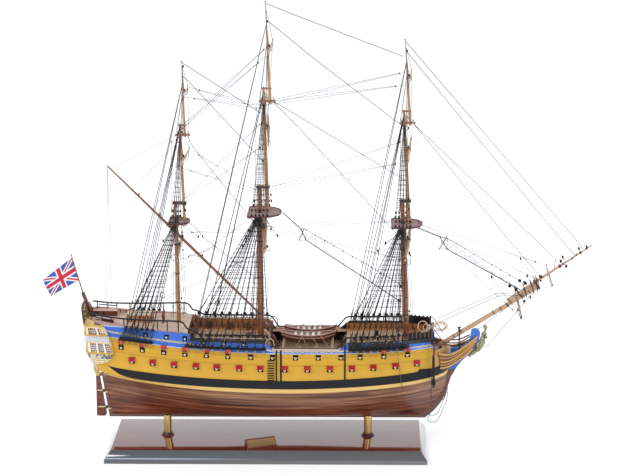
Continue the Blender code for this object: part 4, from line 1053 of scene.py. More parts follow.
ochre_trim = stained("ochre_trim", (0.50, 0.26, 0.012), (0.72, 0.42, 0.05))
cream_trim = stained("cream_trim", (0.62, 0.50, 0.30), (0.84, 0.76, 0.58))
light_trim = stained("light_trim", (0.42, 0.55, 0.78), (0.72, 0.80, 0.92))
cap_wood = stained("cap_wood", (0.30, 0.13, 0.08), (0.56, 0.33, 0.24))
pale_plank = stained("pale_plank", (0.55, 0.36, 0.26), (0.74, 0.55, 0.44))
for name, side in both_sides:
    batten(
        "between_rows_" + name, side, lambda x: port_line(x, 171.6, 2.0, 1.2), -285, 287, 1.2, 0.8, ochre_trim
    )
    batten("chain_moulding_" + name, side, lambda x: frieze_low(x) - 6.2, -262, 287, 1.3, 0.9, ochre_trim)
    batten("frieze_moulding_" + name, side, lambda x: frieze_low(x) + 0.2, -262, 287, 1.2, 0.9, light_trim)
    batten("frieze_edge_" + name, side, lambda x: frieze_low(x) - 1.2, -262, 287, 1.0, 0.9, ochre_trim)
    batten("poop_line_" + name, side, lambda x: 232.6 - 0.02 * (x + 277), -292, -216, 1.3, 0.8, light_trim)
    batten("poop_cap_" + name, side, lambda x: side_top(x) + 0.3, -298, -143, 1.9, 0.9, cap_wood, inward=4.2)
    batten(
        "quarterdeck_cap_" + name, side, lambda x: side_top(x) + 0.3, -120, -1, 1.6, 0.9, pale_plank,
        inward=4.2,
    )
    batten("waist_rail_" + name, side, lambda x: side_top(x) + 1.0, 13, 127, 2.6, 1.6, pale_plank, inward=5.0)
    batten("forecastle_cap_" + name, side, lambda x: side_top(x) + 0.3, 141, 281, 1.6, 0.9, black, inward=4.2)


# A string of carved leaves, white and gilt by turns, runs along the frieze of the
# waist and again close to the bow. Each is a curl of wood laid on the side.
gilding = stained(
    "gilt_wood", (0.50, 0.33, 0.11), (0.86, 0.72, 0.40), (220, 220, 220), 0.25, metallic=0.25, detail=4.0
)
leaf_white = stained("leaf_white", (0.66, 0.62, 0.48), (0.92, 0.90, 0.80))


def leaf():
    """A short curled leaf lying in the XZ plane, its face towards plus Y."""
    obj = ball("leaf", 1.0, 8, 6)
    edit(obj)
    pick_all()
    stretch_by(1.5, 0.45, 0.6)
    pick(obj, lambda face: face.calc_center_median().x > 0.6 * mm)
    shift(0.4, 0, 0.9)
    stretch_by(0.7, 1, 0.7)
    pick(obj, lambda face: face.calc_center_median().x < -0.8 * mm)
    shift(0, 0, -0.5)
    stretch_by(0.8, 1, 0.6)
    done()
    obj.data.shade_smooth()
    return obj


for name, side in both_sides:
    for batch, finish_here, phase in (("white", leaf_white, 0.0), ("gilt", gilding, 2.2)):
        spots = []
        for x0, x1, line in (
            (16.0, 126.0, lambda x: frieze_low(x) + 3.0), (262.0, 284.0, lambda x: frieze_low(x) + 3.4),
        ):
            x = x0 + phase
            while x < x1:
                tip = 1 if int((x - x0) / 4.4) % 2 else -1
                spots.append(
                    on_side(x, line(x) + 0.5 * tip, side)
                    @ Matrix.Rotation(math.radians(random.uniform(-25, 25)), 4, "Y")
                    @ Matrix.Diagonal((0.8, 1.0, 1.1 * tip, 1))
                )
                x += 4.4
        dress(copies(leaf(), spots, "leaves_%s_%s" % (batch, name)), finish_here)


# Gilt scrolls are carved on the blue frieze of the quarterdeck and the poop. Each is
# a fine curl of carved wood laid flat on the side.
def ribbon(name, points, radius, finish, sides=1):
    """Round-section curves through lists of points in millimetres, as one piece."""
    curve = bpy.data.curves.new(name, "CURVE")
    curve.dimensions = "3D"
    curve.bevel_depth = radius * mm
    curve.bevel_resolution = sides
    curve.use_fill_caps = True
    for run in points:
        line = curve.splines.new("POLY")
        line.points.add(len(run) - 1)
        for point, place in zip(line.points, run):
            point.co = (*(Vector(place) * mm), 1.0)
    obj = put_in_scene(name, curve)
    curve.materials.append(finish)
    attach(obj, "ship")
    return obj


def scroll(x, z, side, size, hand):
    """One spiral that opens into a stem, on the face of the side."""
    run = []
    for k in range(26):
        turn = k / 25 * 2.2 * math.pi
        r = size * (0.16 + 0.84 * k / 25) * 0.5
        run.append((x + hand * r * math.cos(turn), z + r * math.sin(turn)))
    end_x, end_z = run[-1]
    for k in range(1, 9):
        run.append((end_x + hand * size * 0.22 * k, end_z + size * 0.32 * math.sin(k * 0.8)))
    return [side_point(px, pz, side, 0.35) for px, pz in run]


for name, side in both_sides:
    scrolls = []
    for number in range(35):
        x = -258.0 + 7.3 * number
        level = frieze_low(x) + (8.6 if x < poop_front else 6.0)
        scrolls.append(scroll(x, level, side, 3.6, 1 if number % 2 else -1))
    ribbon("frieze_scrolls_" + name, scrolls, 0.4, gilding)


# Black skids guard the side where boats are hoisted, and a ladder of short battens
# climbs it amidships.
for name, side in both_sides:
    skids = []
    for x, wide in ((19.6, 2.4), (27.3, 3.0), (136.2, 2.6)):
        low, high = wale_z(x) + wale_tall, side_top(x) + 0.5
        strip = grid("skid", 3, 10)
        for index, vertex in enumerate(strip.data.vertices):
            share = (vertex.co.y + 1) / 2
            across = vertex.co.x * wide / 2
            vertex.co = side_point(x + across, low + (high - low) * share, side, 1.7) * mm
        face_outboard(strip, side, 0)
        thicken(strip, 2.0)
        skids.append(strip)
    skid_row = join_all(skids, "skids_" + name)
    soften(skid_row, 0.3, 2, 50)
    dress(skid_row, black)
    steps = []
    for k in range(10):
        z = wale_z(10.2) + wale_tall + 1.0 + k * 4.2
        if z > 181.0:
            break
        steps.append(on_side(10.2, z, side))
    tread = new_cube("tread", (-6.0, -0.3, -0.7), (6.0, 2.2, 0.7))
    ladder_row = copies(tread, steps, "side_ladder_" + name)
    soften(ladder_row, 0.2, 2)
    dress(ladder_row, black)


# A black rail runs the length of each side on turned stanchions, high over the poop,
# the quarterdeck and the forecastle and low in the waist. A second bar under it
# guards the after end of the poop.
rail_line = (
    (-305.2, 253.5), (-290.0, 250.6), (-270.0, 247.8), (-240.0, 245.8), (-220.0, 245.0), (-180.0, 244.6),
    (-150.0, 244.4), (-144.0, 243.8), (-139.0, 241.0), (-135.0, 235.0), (-132.0, 231.4), (-126.0, 230.2),
    (-119.5, 226.5), (-113.0, 222.6), (-95.0, 221.5), (-60.0, 221.0), (-25.0, 220.7), (0.0, 220.5),
    (8.0, 215.0), (16.0, 202.0), (24.0, 198.6), (70.0, 198.5), (116.0, 198.6), (125.0, 202.0),
    (136.0, 215.0), (146.0, 218.0), (175.0, 218.5), (205.0, 219.3), (230.0, 220.0), (252.0, 220.6),
    (268.0, 221.0),
)
stanchion_x = (
    [-298.0, -280.0, -264.5, -242.0, -223.0, -204.0, -184.0, -167.0, -148.0]
    + [-110.0, -93.0, -76.0, -60.0, -44.0, -28.0, -12.0]
    + [150.0, 164.0, 178.0, 192.0, 206.0, 220.0, 234.0, 248.0, 262.0]
)


def rail_z(x):
    return float(np.interp(x, [p[0] for p in rail_line], [p[1] for p in rail_line]))


def rail_place(x, z, side):
    y = side_point(x, min(z, side_top(x)), 1).y - 1.8
    return Vector((x, side * y, z))


def swept_bar(name, path, wide, tall):
    """A bar of oblong section swept along points in millimetres."""
    bpy.ops.object.select_all(action="DESELECT")
    bpy.ops.mesh.primitive_plane_add(size=1.0)
    obj = bpy.context.object
    obj.name = name
    rings = []
    for k, point in enumerate(path):
        before, after = path[max(k - 1, 0)], path[min(k + 1, len(path) - 1)]
        run = (Vector(after) - Vector(before)).normalized()
        across = run.cross(Vector((0, 0, 1))).normalized() * wide / 2
        up = across.cross(run).normalized() * tall / 2
        rings.append([Vector(point) + across * a + up * b for a, b in ((-1, -1), (1, -1), (1, 1), (-1, 1))])
    mesh = bmesh.new()
    corners = [[mesh.verts.new(p * mm) for p in ring] for ring in rings]
    for first, second in zip(corners, corners[1:]):
        for k in range(4):
            mesh.faces.new((first[k], first[(k + 1) % 4], second[(k + 1) % 4], second[k]))
    mesh.faces.new(corners[0])
    mesh.faces.new(corners[-1])
    bmesh.ops.recalc_face_normals(mesh, faces=mesh.faces)
    mesh.to_mesh(obj.data)
    mesh.free()
    return obj


def smooth_path(points, count):
    """Points spaced evenly along a gentle curve through the given ones."""
    points = [Vector(p) for p in points]
    lengths = [0.0]
    for a, b in zip(points, points[1:]):
        lengths.append(lengths[-1] + (b - a).length)
    out = []
    for k in range(count):
        s = lengths[-1] * k / (count - 1)
        n = min(len(points) - 2, max(i for i, v in enumerate(lengths) if v <= s + 1e-9))
        t = (s - lengths[n]) / (lengths[n + 1] - lengths[n])
        p0, p1 = points[max(n - 1, 0)], points[n]
        p2, p3 = points[n + 1], points[min(n + 2, len(points) - 1)]
        out.append(0.5 * (
            (2 * p1) + (p2 - p0) * t + (2 * p0 - 5 * p1 + 4 * p2 - p3) * t * t
            + (3 * p1 - p0 - 3 * p2 + p3) * t ** 3
        ))
    return out


for name, side in both_sides:
    rail = swept_bar("rail_top", smooth_path([rail_place(x, z, side) for x, z in rail_line], 190), 2.6, 2.4)
    soften(rail, 0.4, 2, 40)
    posts = []
    for x in stanchion_x:
        z0, z1 = side_top(x) + 0.3, rail_z(x)
        low = rail_place(x, z0, side)
        post = turned_piece("post", [
            (0, 0), (1.4, 0), (1.4, 0.8), (0.95, 1.4), (1.0, (z1 - z0) * 0.45), (1.25, (z1 - z0) * 0.52),
            (0.9, (z1 - z0) * 0.6), (0.95, z1 - z0 - 0.5), (0, z1 - z0 - 0.5),
        ], (low.x, low.y, z0), sides=10)
        post.data.shade_smooth()
        posts.append(post)
    lower_rail = swept_bar("lower", [
        rail_place(x, (rail_z(x) + side_top(x)) / 2 + 0.5, side) for x in (-296, -288, -278, -270, -264)
    ], 1.7, 1.5)
    whole = join_all([rail, lower_rail] + posts, "rails_" + name)
    dress(whole, black, replaced=["rail_" + name])


# The masts are of varnished wood in three lengths, golden but for the red brown main
# and fore lower masts. Lower mast and topmast overlap at the top and are held by a
# cap, and so are topmast and topgallant mast.
masts = {
    "mizzen": dict(
        foot=(-152.0, 226.0), head=(-154.5, 441.0), radius=3.6, top_z=405.0, top_size=(37.0, 52.0),
        top_x=-147.5, tm_foot=(-138.5, 398.0), tm_head=(-144.0, 575.5), tm_radius=2.7, cross_z=557.0,
        tg_foot=(-135.5, 553.0), truck=(-138.6, 683.0), tg_radius=2.0,
    ),
    "main": dict(
        foot=(-10.0, 197.0), head=(-10.0, 469.0), radius=5.4, top_z=421.0, top_size=(58.0, 78.0),
        top_x=-1.0, tm_foot=(3.2, 413.0), tm_head=(-1.5, 638.5), tm_radius=3.4, cross_z=615.0,
        tg_foot=(10.2, 610.0), truck=(3.3, 784.0), tg_radius=2.4,
    ),
    "fore": dict(
        foot=(241.5, 199.5), head=(233.4, 445.0), radius=5.2, top_z=401.0, top_size=(54.0, 70.0),
        top_x=241.5, tm_foot=(245.6, 393.0), tm_head=(235.5, 599.5), tm_radius=3.3, cross_z=578.0,
        tg_foot=(246.6, 573.0), truck=(237.3, 720.3), tg_radius=2.3,
    ),
}


def lean_x(foot, head, z):
    return foot[0] + (z - foot[1]) / (head[1] - foot[1]) * (head[0] - foot[0])


def spar_wood(name, light, dark, lacquer=0.3):
    """Straight-grained wood; the UV runs along the spar."""
    finish = Finish(name, roughness=0.35, coat=lacquer)
    streak = finish.noise((160, 160, 9), detail=4.0)
    figure = finish.noise((28, 28, 14), detail=3.0)
    tone = clamp01(streak * 0.8 + figure * 0.7 - 0.35)
    finish.set("Base Color", tone.mix(dark, light))
    finish.set("Roughness", 0.3 + 0.2 * streak)
    finish.bump(streak, 0.15, 0.0002)
    return finish.material


mast_wood = spar_wood("mast_wood", (0.62, 0.335, 0.12), (0.36, 0.145, 0.045))
pale_spar = spar_wood("pale_spar", (0.66, 0.45, 0.27), (0.42, 0.22, 0.12))


def pole(name, start, end, outline, sides):
    """A round spar between two points; outline gives shares of its length and radii."""
    start, end = Vector(start), Vector(end)
    length = (end - start).length
    spar = turned_piece(
        name, [(0, 0)] + [(r, share * length) for share, r in outline] + [(0, length)], (0, 0, 0), sides
    )
    turn = (end - start).to_track_quat("Z", "Y").to_matrix().to_4x4()
    spar.data.transform(Matrix.Translation(start * mm) @ turn)
    spar.data.shade_smooth()
    alone(spar)
    shade_to(35)
    return spar


def ring_band(name, start, end, share, radius, tall):
    """A raised band round a spar."""
    start, end = Vector(start), Vector(end)
    at = start.lerp(end, share)
    along = (end - start).normalized()
    return pole(
        name, at - along * tall / 2, at + along * tall / 2,
        [(0.0, radius - 0.2), (0.15, radius), (0.85, radius), (1.0, radius - 0.2)], 18,
    )


def v3(point):
    return Vector((point[0], 0.0, point[1]))


black_band = stained("black_band", (0.008, 0.008, 0.010), (0.028, 0.026, 0.026))
maroon_wood = stained("maroon_wood", (0.045, 0.012, 0.012), (0.110, 0.036, 0.030))
dark_bands = stained("dark_bands", (0.045, 0.018, 0.012), (0.16, 0.075, 0.05))
top_slats = stained("top_slats", (0.42, 0.20, 0.22), (0.78, 0.60, 0.60))
slat_wood = stained("slat_wood", (0.20, 0.09, 0.055), (0.38, 0.20, 0.12))
for mast, m in masts.items():
    foot, head, r = m["foot"], m["head"], m["radius"]
    tall = head[1] - foot[1]
    share_top = (m["top_z"] - foot[1]) / tall
    low_foot = (lean_x(foot, head, foot[1] - 6), foot[1] - 3.0)
    lower = pole(mast + "_lower_mast_wood", v3(low_foot), v3(head), [
        (0.0, r), (0.25, r * 1.02), (0.6, r * 0.97), (share_top - 0.075, r * 0.88),
        (share_top - 0.07, r * 1.12), (share_top - 0.02, r * 1.12), (share_top - 0.015, r * 0.74),
        (1.0, r * 0.68),
    ], 24)
    cheeks = []
    cap_z = head[1] - 3.0
    mast_x, top_mast_x = lean_x(foot, head, cap_z), lean_x(m["tm_foot"], m["tm_head"], cap_z)
    tr = m["tm_radius"]
    for side in (-1, 1):
        y0, y1 = sorted((side * r * 0.75, side * r * 1.35))
        x = lean_x(foot, head, m["top_z"] - 18)
        cheek = new_cube("cheek", (x - r * 0.7, y0, m["top_z"] - 30), (x + r * 1.1, y1, m["top_z"] - 5.5))
        edit(cheek)
        pick(cheek, lambda face: face.normal.z < -0.9)
        stretch_by(0.5, 0.6, 1)
        shift(-0.2 * r, 0, 0)
        done()
        cheeks.append(soften(cheek, 0.3, 2))
    cap = new_cube(
        "cap", (mast_x - r * 0.7 - 1.6, -tr - 1.9, cap_z - 2.0),
        (top_mast_x + tr + 2.2, tr + 1.9, cap_z + 2.0),
    )
    lower = join_all([lower] + cheeks, mast + "_lower_mast_wood")
    light, dark = {
        "mizzen": ((0.56, 0.29, 0.10), (0.36, 0.15, 0.05)),
        "main": ((0.45, 0.165, 0.060), (0.23, 0.062, 0.022)),
        "fore": ((0.47, 0.165, 0.055), (0.26, 0.068, 0.022)),
    }[mast]
    dress(
        lower, spar_wood(mast + "_mast_wood", light, dark), replaced=[mast + "_lower_mast"]
    )
    soften(cap, 0.5, 3)
    dress(cap, maroon_wood)
    bands = []
    for share in (0.17, 0.39, 0.61, 0.72):
        s = share * share_top / 0.78
        bands.append(ring_band("woolding", v3(low_foot), v3(head), s, r * 1.02 + 0.45, 2.0))
    dress(join_all(bands, mast + "_wooldings"), black_band)

    tm_foot, tm_head = m["tm_foot"], m["tm_head"]
    heel = 4.0 / (tm_head[1] - tm_foot[1])
    upper = pole(mast + "_topmast", v3(tm_foot), v3(tm_head), [
        (0.0, tr * 1.02), (heel * 4, tr * 1.02), (heel * 4.5, tr * 0.92), (0.5, tr * 0.93), (0.86, tr * 0.78),
        (0.862, tr * 0.98), (0.9, tr * 0.98), (0.903, tr * 0.7), (1.0, tr * 0.62),
    ], 20)
    tg_foot, truck = m["tg_foot"], m["truck"]
    tg = m["tg_radius"]
    gallant = pole(mast + "_topgallant_mast", v3(tg_foot), v3(truck) - Vector((0, 0, 2.0)), [
        (0.0, tg), (0.16, tg), (0.165, tg * 0.88), (0.55, tg * 0.76), (0.72, tg * 0.62), (0.722, tg * 0.42),
        (1.0, tg * 0.3),
    ], 16)
    button = turned_piece(
        "truck", [(0, 0), (1.2, 0), (1.7, 0.6), (1.7, 1.5), (1.0, 2.4), (0, 2.6)],
        (truck[0], 0, truck[1] - 2.6), sides=16,
    )
    upper = join_all([upper, gallant, button], mast + "_upper_mast_wood")
    dress(upper, mast_wood, replaced=[mast + "_upper_mast"])

    cross_z = m["cross_z"]
    scale = tg / 2.4
    xa, xb = lean_x(tm_foot, tm_head, cross_z), lean_x(tg_foot, truck, cross_z)
    trees = []
    for side in (-1, 1):
        y0, y1 = sorted((side * (tg + 0.2), side * (tg + 1.9)))
        trees.append(new_cube("trestle", (xa - 8.5, y0, cross_z - 2.2), (xb + 9.0, y1, cross_z + 0.4)))
    for x in (xa - 5.2, (xa + xb) / 2, xb + 5.4):
        beam = new_cube(
            "crosstree", (x - 0.9, -20.0 * scale, cross_z + 0.3), (x + 0.9, 20.0 * scale, cross_z + 1.8)
        )
        edit(beam)
        pick_all()
        bpy.ops.mesh.subdivide(number_cuts=3)
        for direction in (-1, 1):
            edge = direction * 15.0 * scale * mm
            pick(beam, lambda vertex: (vertex.co.y - edge) * direction > 0, "verts")
            shift(-1.6, 0, 0.5)
        done()
        trees.append(beam)
    cap_z = tm_head[1] - 2.5
    x0, x1 = lean_x(tm_foot, tm_head, cap_z), lean_x(tg_foot, truck, cap_z)
    trees.append(new_cube("topmast_cap", (x0 - 2.6, -2.7, cap_z - 1.3), (x1 + 3.1, 2.7, cap_z + 1.3)))
    soften(join_all(trees, mast + "_crosstrees"), 0.3, 2)
    dress(bpy.context.object, slat_wood)


# The tops are platforms of slats on trestletrees and crosstrees, round in front and
# square behind, with a raised rim. Holes beside the mast let the shrouds pass.
def top_outline(m, grow=0.0):
    size_x, size_y = m["top_size"]
    back, front = m["top_x"] - size_x / 2, m["top_x"] + size_x / 2
    half = size_y / 2 + grow
    points = [(back - grow, -half), (back - grow, half)]
    for k in range(25):
        a = math.pi / 2 - math.pi * k / 24
        points.append((front - size_x * 0.55 + (size_x * 0.55 + grow) * math.cos(a), half * math.sin(a)))
    return points


def flat_board(name, outline, z0, z1):
    """A board cut to an outline in plan, in millimetres."""
    bpy.ops.object.select_all(action="DESELECT")
    mesh = bpy.data.meshes.new(name)
    mesh.from_pydata([(x * mm, y * mm, z0 * mm) for x, y in outline], [], [tuple(range(len(outline)))])
    obj = put_in_scene(name, mesh)
    edit(obj)
    pick_all()
    bpy.ops.mesh.extrude_region_move(TRANSFORM_OT_translate={"value": (0, 0, (z1 - z0) * mm)})
    face_out()
    done()
    return obj


for mast, m in masts.items():
    z = m["top_z"]
    size_x, size_y = m["top_size"]
    back, front = m["top_x"] - size_x / 2, m["top_x"] + size_x / 2
    r, tr = m["radius"], m["tm_radius"]
    low_x, high_x = lean_x(m["foot"], m["head"], z), lean_x(m["tm_foot"], m["tm_head"], z)
    deck_piece = flat_board("floor", top_outline(m), z, z + 1.2)
    rim_piece = flat_board("rim", top_outline(m), z - 0.4, z + 2.6)
    cut_by(rim_piece, flat_board("inside", top_outline(m, -1.8), z - 2, z + 4))
    hole = (low_x - r * 0.72 - 1.0, -r * 0.72 - 4.2, z - 3), (high_x + tr + 1.2, r * 0.72 + 4.2, z + 6)
    cut_by(deck_piece, new_cube("lubber_hole", *hole))
    rim = join_all([deck_piece, rim_piece], mast + "_top_platform")
    soften(rim, 0.25, 2)
    dress(rim, maroon_wood, replaced=[mast + "_top"])
    slats = []
    count = int((size_y - 8) / 4.2)
    for k in range(count):
        y = -size_y / 2 + 5.0 + k * (size_y - 10.0) / (count - 1)
        reach = front - size_x * 0.55 + size_x * 0.55 * math.sqrt(max(0.0, 1 - (y / (size_y / 2)) ** 2)) - 2.4
        if abs(y) < r * 0.72 + 5.0:
            slats.append(
                new_cube("slat", (back + 2.2, y - 0.6, z + 1.1), (hole[0][0] - 1.0, y + 0.6, z + 1.9))
            )
            slats.append(new_cube("slat", (hole[1][0] + 1.0, y - 0.6, z + 1.1), (reach, y + 0.6, z + 1.9)))
        else:
            slats.append(new_cube("slat", (back + 2.2, y - 0.6, z + 1.1), (reach, y + 0.6, z + 1.9)))
    half_gap = r * 0.72 + 0.8
    for side in (-1, 1):
        y0, y1 = sorted((side * half_gap, side * (half_gap + 2.4)))
        slats.append(new_cube("trestle", (back + 6.0, y0, z - 4.8), (front - 5.0, y1, z - 0.1)))
    for x in (low_x - r - 2.4, high_x + tr + 2.8, back + 3.0):
        slats.append(
            new_cube("cross", (x - 1.1, -size_y / 2 + 3, z - 1.6), (x + 1.1, size_y / 2 - 3, z - 0.05))
        )
    frame_piece = join_all(slats, mast + "_top_slats")
    soften(frame_piece, 0.2, 1)
    dress(frame_piece, top_slats)


# The yards taper to both ends. Each is slung before its mast; cleats stop the
# lifts and braces near the yardarms.
yards = {
    "main_yard": ("main", "lower", 394.4, 330.0, 3.9, 2.5),
    "main_topsail_yard": ("main", "top", 567.3, 236.0, 2.9, 3.0),
    "main_topgallant_yard": ("main", "gallant", 704.7, 160.0, 1.9, -1.0),
    "fore_yard": ("fore", "lower", 373.1, 291.0, 3.6, -3.0),
    "fore_topsail_yard": ("fore", "top", 530.8, 210.0, 2.7, -2.8),
    "fore_topgallant_yard": ("fore", "gallant", 654.6, 146.0, 1.8, -3.5),
    "crossjack_yard": ("mizzen", "lower", 361.8, 208.0, 2.5, 2.6),
    "mizzen_topsail_yard": ("mizzen", "top", 516.1, 160.0, 2.1, -1.8),
    "mizzen_topgallant_yard": ("mizzen", "gallant", 630.0, 100.0, 1.4, -1.5),
}
mast_parts = {
    "lower": ("foot", "head", "radius", 0.87), "top": ("tm_foot", "tm_head", "tm_radius", 0.86),
    "gallant": ("tg_foot", "truck", "tg_radius", 0.66),
}
yard_ends = {}
for name, (mast, part, z, length, radius, turn) in yards.items():
    m = masts[mast]
    foot_key, head_key, radius_key, taper = mast_parts[part]
    x = lean_x(m[foot_key], m[head_key], z) + m[radius_key] * taper + radius + 0.45
    half = length / 2
    dx, dy = half * math.sin(math.radians(turn)), half * math.cos(math.radians(turn))
    starboard, port = Vector((x + dx, -dy, z)), Vector((x - dx, dy, z))
    yard_ends[name] = (starboard, port, Vector((x, 0, z)), radius)
    timber = pole(name + "_timber", starboard, port, [
        (0.0, radius * 0.40), (0.03, radius * 0.42), (0.2, radius * 0.74), (0.36, radius * 0.95),
        (0.44, radius), (0.56, radius), (0.64, radius * 0.95), (0.8, radius * 0.74), (0.97, radius * 0.42),
        (1.0, radius * 0.40),
    ], 16)
    dress(timber, mast_wood if radius > 2.6 else pale_spar, replaced=[name])
    cleats = []
    for share in (0.05, 0.95, 0.485, 0.515):
        cleats.append(ring_band(
            "cleat", starboard, port, share, radius * (0.62 if share in (0.05, 0.95) else 1.12), 1.4
        ))
    dress(join_all(cleats, name + "_bands"), black_band)

lateen_low, lateen_high = Vector((-14.9, 6.1, 242.8)), Vector((-270.0, 6.1, 501.6))
mahogany_spar = spar_wood("mahogany_spar", (0.38, 0.135, 0.060), (0.17, 0.050, 0.026))
lateen = pole("lateen_timber", lateen_high, lateen_low, [
    (0.0, 1.2), (0.25, 2.0), (0.45, 2.6), (0.62, 2.6), (0.85, 2.1), (1.0, 1.6),
], 16)
dress(lateen, mahogany_spar, replaced=["lateen_yard"])
for name, x, z, length, radius, node in (
    ("spritsail_yard_timber", 433.5, 262.8, 208.0, 2.2, "spritsail_yard"),
    ("sprit_topsail_yard_timber", 486.3, 310.3, 146.0, 1.7, "sprit_topsail_yard"),
):
    starboard, port = Vector((x, -length / 2, z)), Vector((x, length / 2, z))
    yard_ends[node] = (starboard, port, Vector((x, 0, z)), radius)
    timber = pole(
        name, starboard, port,
        [
            (0.0, radius * 0.42), (0.3, radius * 0.9), (0.45, radius), (0.55, radius), (0.7, radius * 0.9),
            (1.0, radius * 0.42),
        ],
        16,
    )
    dress(timber, pale_spar, replaced=[node])


# The bowsprit is one pale pole; the jib-boom lies on it and passes through the cap
# at its end.
sprit_heel, sprit_end = Vector((296.5, 0, 184.9)), Vector((470.0, 0, 292.8))
boom_heel, boom_tip = Vector((414.5, 0, 266.2)), Vector((558.6, 0, 365.1))
bowsprit_pole = pole("bowsprit_pole", sprit_heel, sprit_end, [(0.0, 4.1), (0.5, 3.9), (1.0, 3.2)], 24)
dress(bowsprit_pole, pale_spar, replaced=["bowsprit"])
jib_pole = pole("jib_boom_pole", boom_heel, boom_tip, [(0.0, 2.6), (0.3, 2.5), (0.7, 1.9), (1.0, 1.0)], 18)
dress(jib_pole, pale_spar, replaced=["jib_boom"])
sprit_axis = (sprit_end - sprit_heel).normalized()
boom_axis = (boom_tip - boom_heel).normalized()
cap_at = sprit_end - sprit_axis * 3.0
boom_at = boom_heel + boom_axis * (cap_at - boom_heel).dot(boom_axis)
cap_up = (boom_at - cap_at).normalized()
cap_mid = (cap_at - cap_up * 4.8 + boom_at + cap_up * 4.6) / 2
cap_tall = (boom_at + cap_up * 4.6 - cap_at + cap_up * 4.8).length
sprit_cap = new_cube("bowsprit_cap", (-1.8, -4.6, -cap_tall / 2), (1.8, 4.6, cap_tall / 2))
basis = Matrix((sprit_axis, sprit_axis.cross(-cap_up).normalized(), cap_up)).transposed().to_4x4()
sprit_cap.data.transform(Matrix.Translation(cap_mid * mm) @ basis)
soften(sprit_cap, 0.8, 3)
dress(sprit_cap, maroon_wood)


# The stern rises from a hollow counter to a carved taffrail. It is painted ochre, and
# its mouldings and window frames are cream.
stern_line = (
    (151.2, -297.5, -290.0, 36.0), (158.0, -302.5, -291.5, 42.0), (166.0, -307.5, -294.5, 46.0),
    (172.0, -309.5, -298.5, 48.5), (178.0, -311.0, -302.5, 51.0), (186.0, -312.0, -305.0, 54.0),
    (200.0, -312.5, -305.4, 54.5), (214.0, -313.2, -307.2, 53.5), (221.0, -313.6, -309.0, 52.0),
    (230.0, -314.4, -309.6, 50.0), (236.0, -315.0, -310.2, 46.0), (238.0, -315.2, -310.4, 45.0),
    (248.0, -316.4, -312.5, 39.0), (254.5, -317.0, -314.5, 31.0), (258.0, -317.2, -316.0, 20.0),
)


def row_at(rows, z, column):
    return float(np.interp(z, [row[0] for row in rows], [row[column] for row in rows]))


def stern_point(u, z, proud=0.0):
    """A point on the stern: u runs from -1 to 1 across, z is the height."""
    middle, edge, half = (row_at(stern_line, z, column) for column in (1, 2, 3))
    return Vector((middle + (edge - middle) * u * u - proud, u * half, z))


transom = grid("transom", 24, 36)
for vertex in transom.data.vertices:
    u, share = vertex.co.x, (vertex.co.y + 1) / 2
    vertex.co = stern_point(u, 151.2 + 106.8 * share) * mm
if transom.data.polygons[300].normal.x > 0:
    transom.data.flip_normals()
thicken(transom, 4.0)
shade_to(30)


def stern_paint():
    finish = Finish("stern_paint", roughness=0.4, coat=0.15)
    z = finish.axis("Z")
    grain = finish.noise((90, 90, 90), detail=4.0)
    carving = finish.noise((150, 150, 150), detail=2.0)
    ochre = grain.mix((0.60, 0.33, 0.02), (0.80, 0.52, 0.08))
    cream = grain.mix((0.66, 0.50, 0.26), (0.84, 0.72, 0.46))
    relief = rise(carving, 0.44, 0.54)
    grey = relief.mix((0.10, 0.12, 0.15), (0.62, 0.56, 0.42))
    colour = zone(z, 177.5, 186.5).mix(ochre, grey)
    colour = (1.0 - rise(z, 172.0, 176.0)).mix(colour, cream)
    frieze = zone(z, 206.5, 216.5).mix(colour, (0.66, 0.66, 0.70))
    top = rise(z, 233.5, 234.0)
    dark = relief.mix((0.035, 0.022, 0.018), (0.55, 0.36, 0.12))
    finish.set("Base Color", top.mix(frieze, dark))
    carved = zone(z, 177.5, 186.5) + top
    finish.bump(relief * carved + grain * 0.15, 0.5, 0.0006)
    return finish.material


stern_finish = stern_paint()
dress(transom, stern_finish, replaced=["stern_and_galleries"])

gallery_line = (
    (166.0, -291.6, -287.0, 1.4), (169.0, -293.5, -277.0, 2.6), (173.0, -297.0, -268.5, 4.4),
    (177.0, -301.0, -265.0, 6.2), (183.5, -304.0, -262.0, 8.0), (191.0, -305.0, -257.8, 9.8),
    (204.5, -305.6, -263.8, 9.6), (206.5, -306.0, -264.6, 8.4), (217.0, -307.8, -269.4, 8.2),
    (229.0, -309.2, -274.8, 7.4), (235.5, -309.0, -284.0, 3.0), (242.0, -309.0, -300.0, 0.8),
)


def gallery_at(z, column):
    return row_at(gallery_line, z, column)


def gallery_point(x, z, side, proud=0.0):
    """A point on the outer face of the quarter gallery."""
    aft, fore, bulge = (gallery_at(z, column) for column in (1, 2, 3))
    from_fore = max(0.0, fore - x)
    from_aft = max(0.0, x - aft)
    edge = min(1.0, 0.30 + from_fore / 4.0) * min(1.0, 0.55 + from_aft / 6.0)
    base = side_point(max(x, stern_x), z, 1).y
    return Vector((x, side * (base + bulge * edge + proud), z))


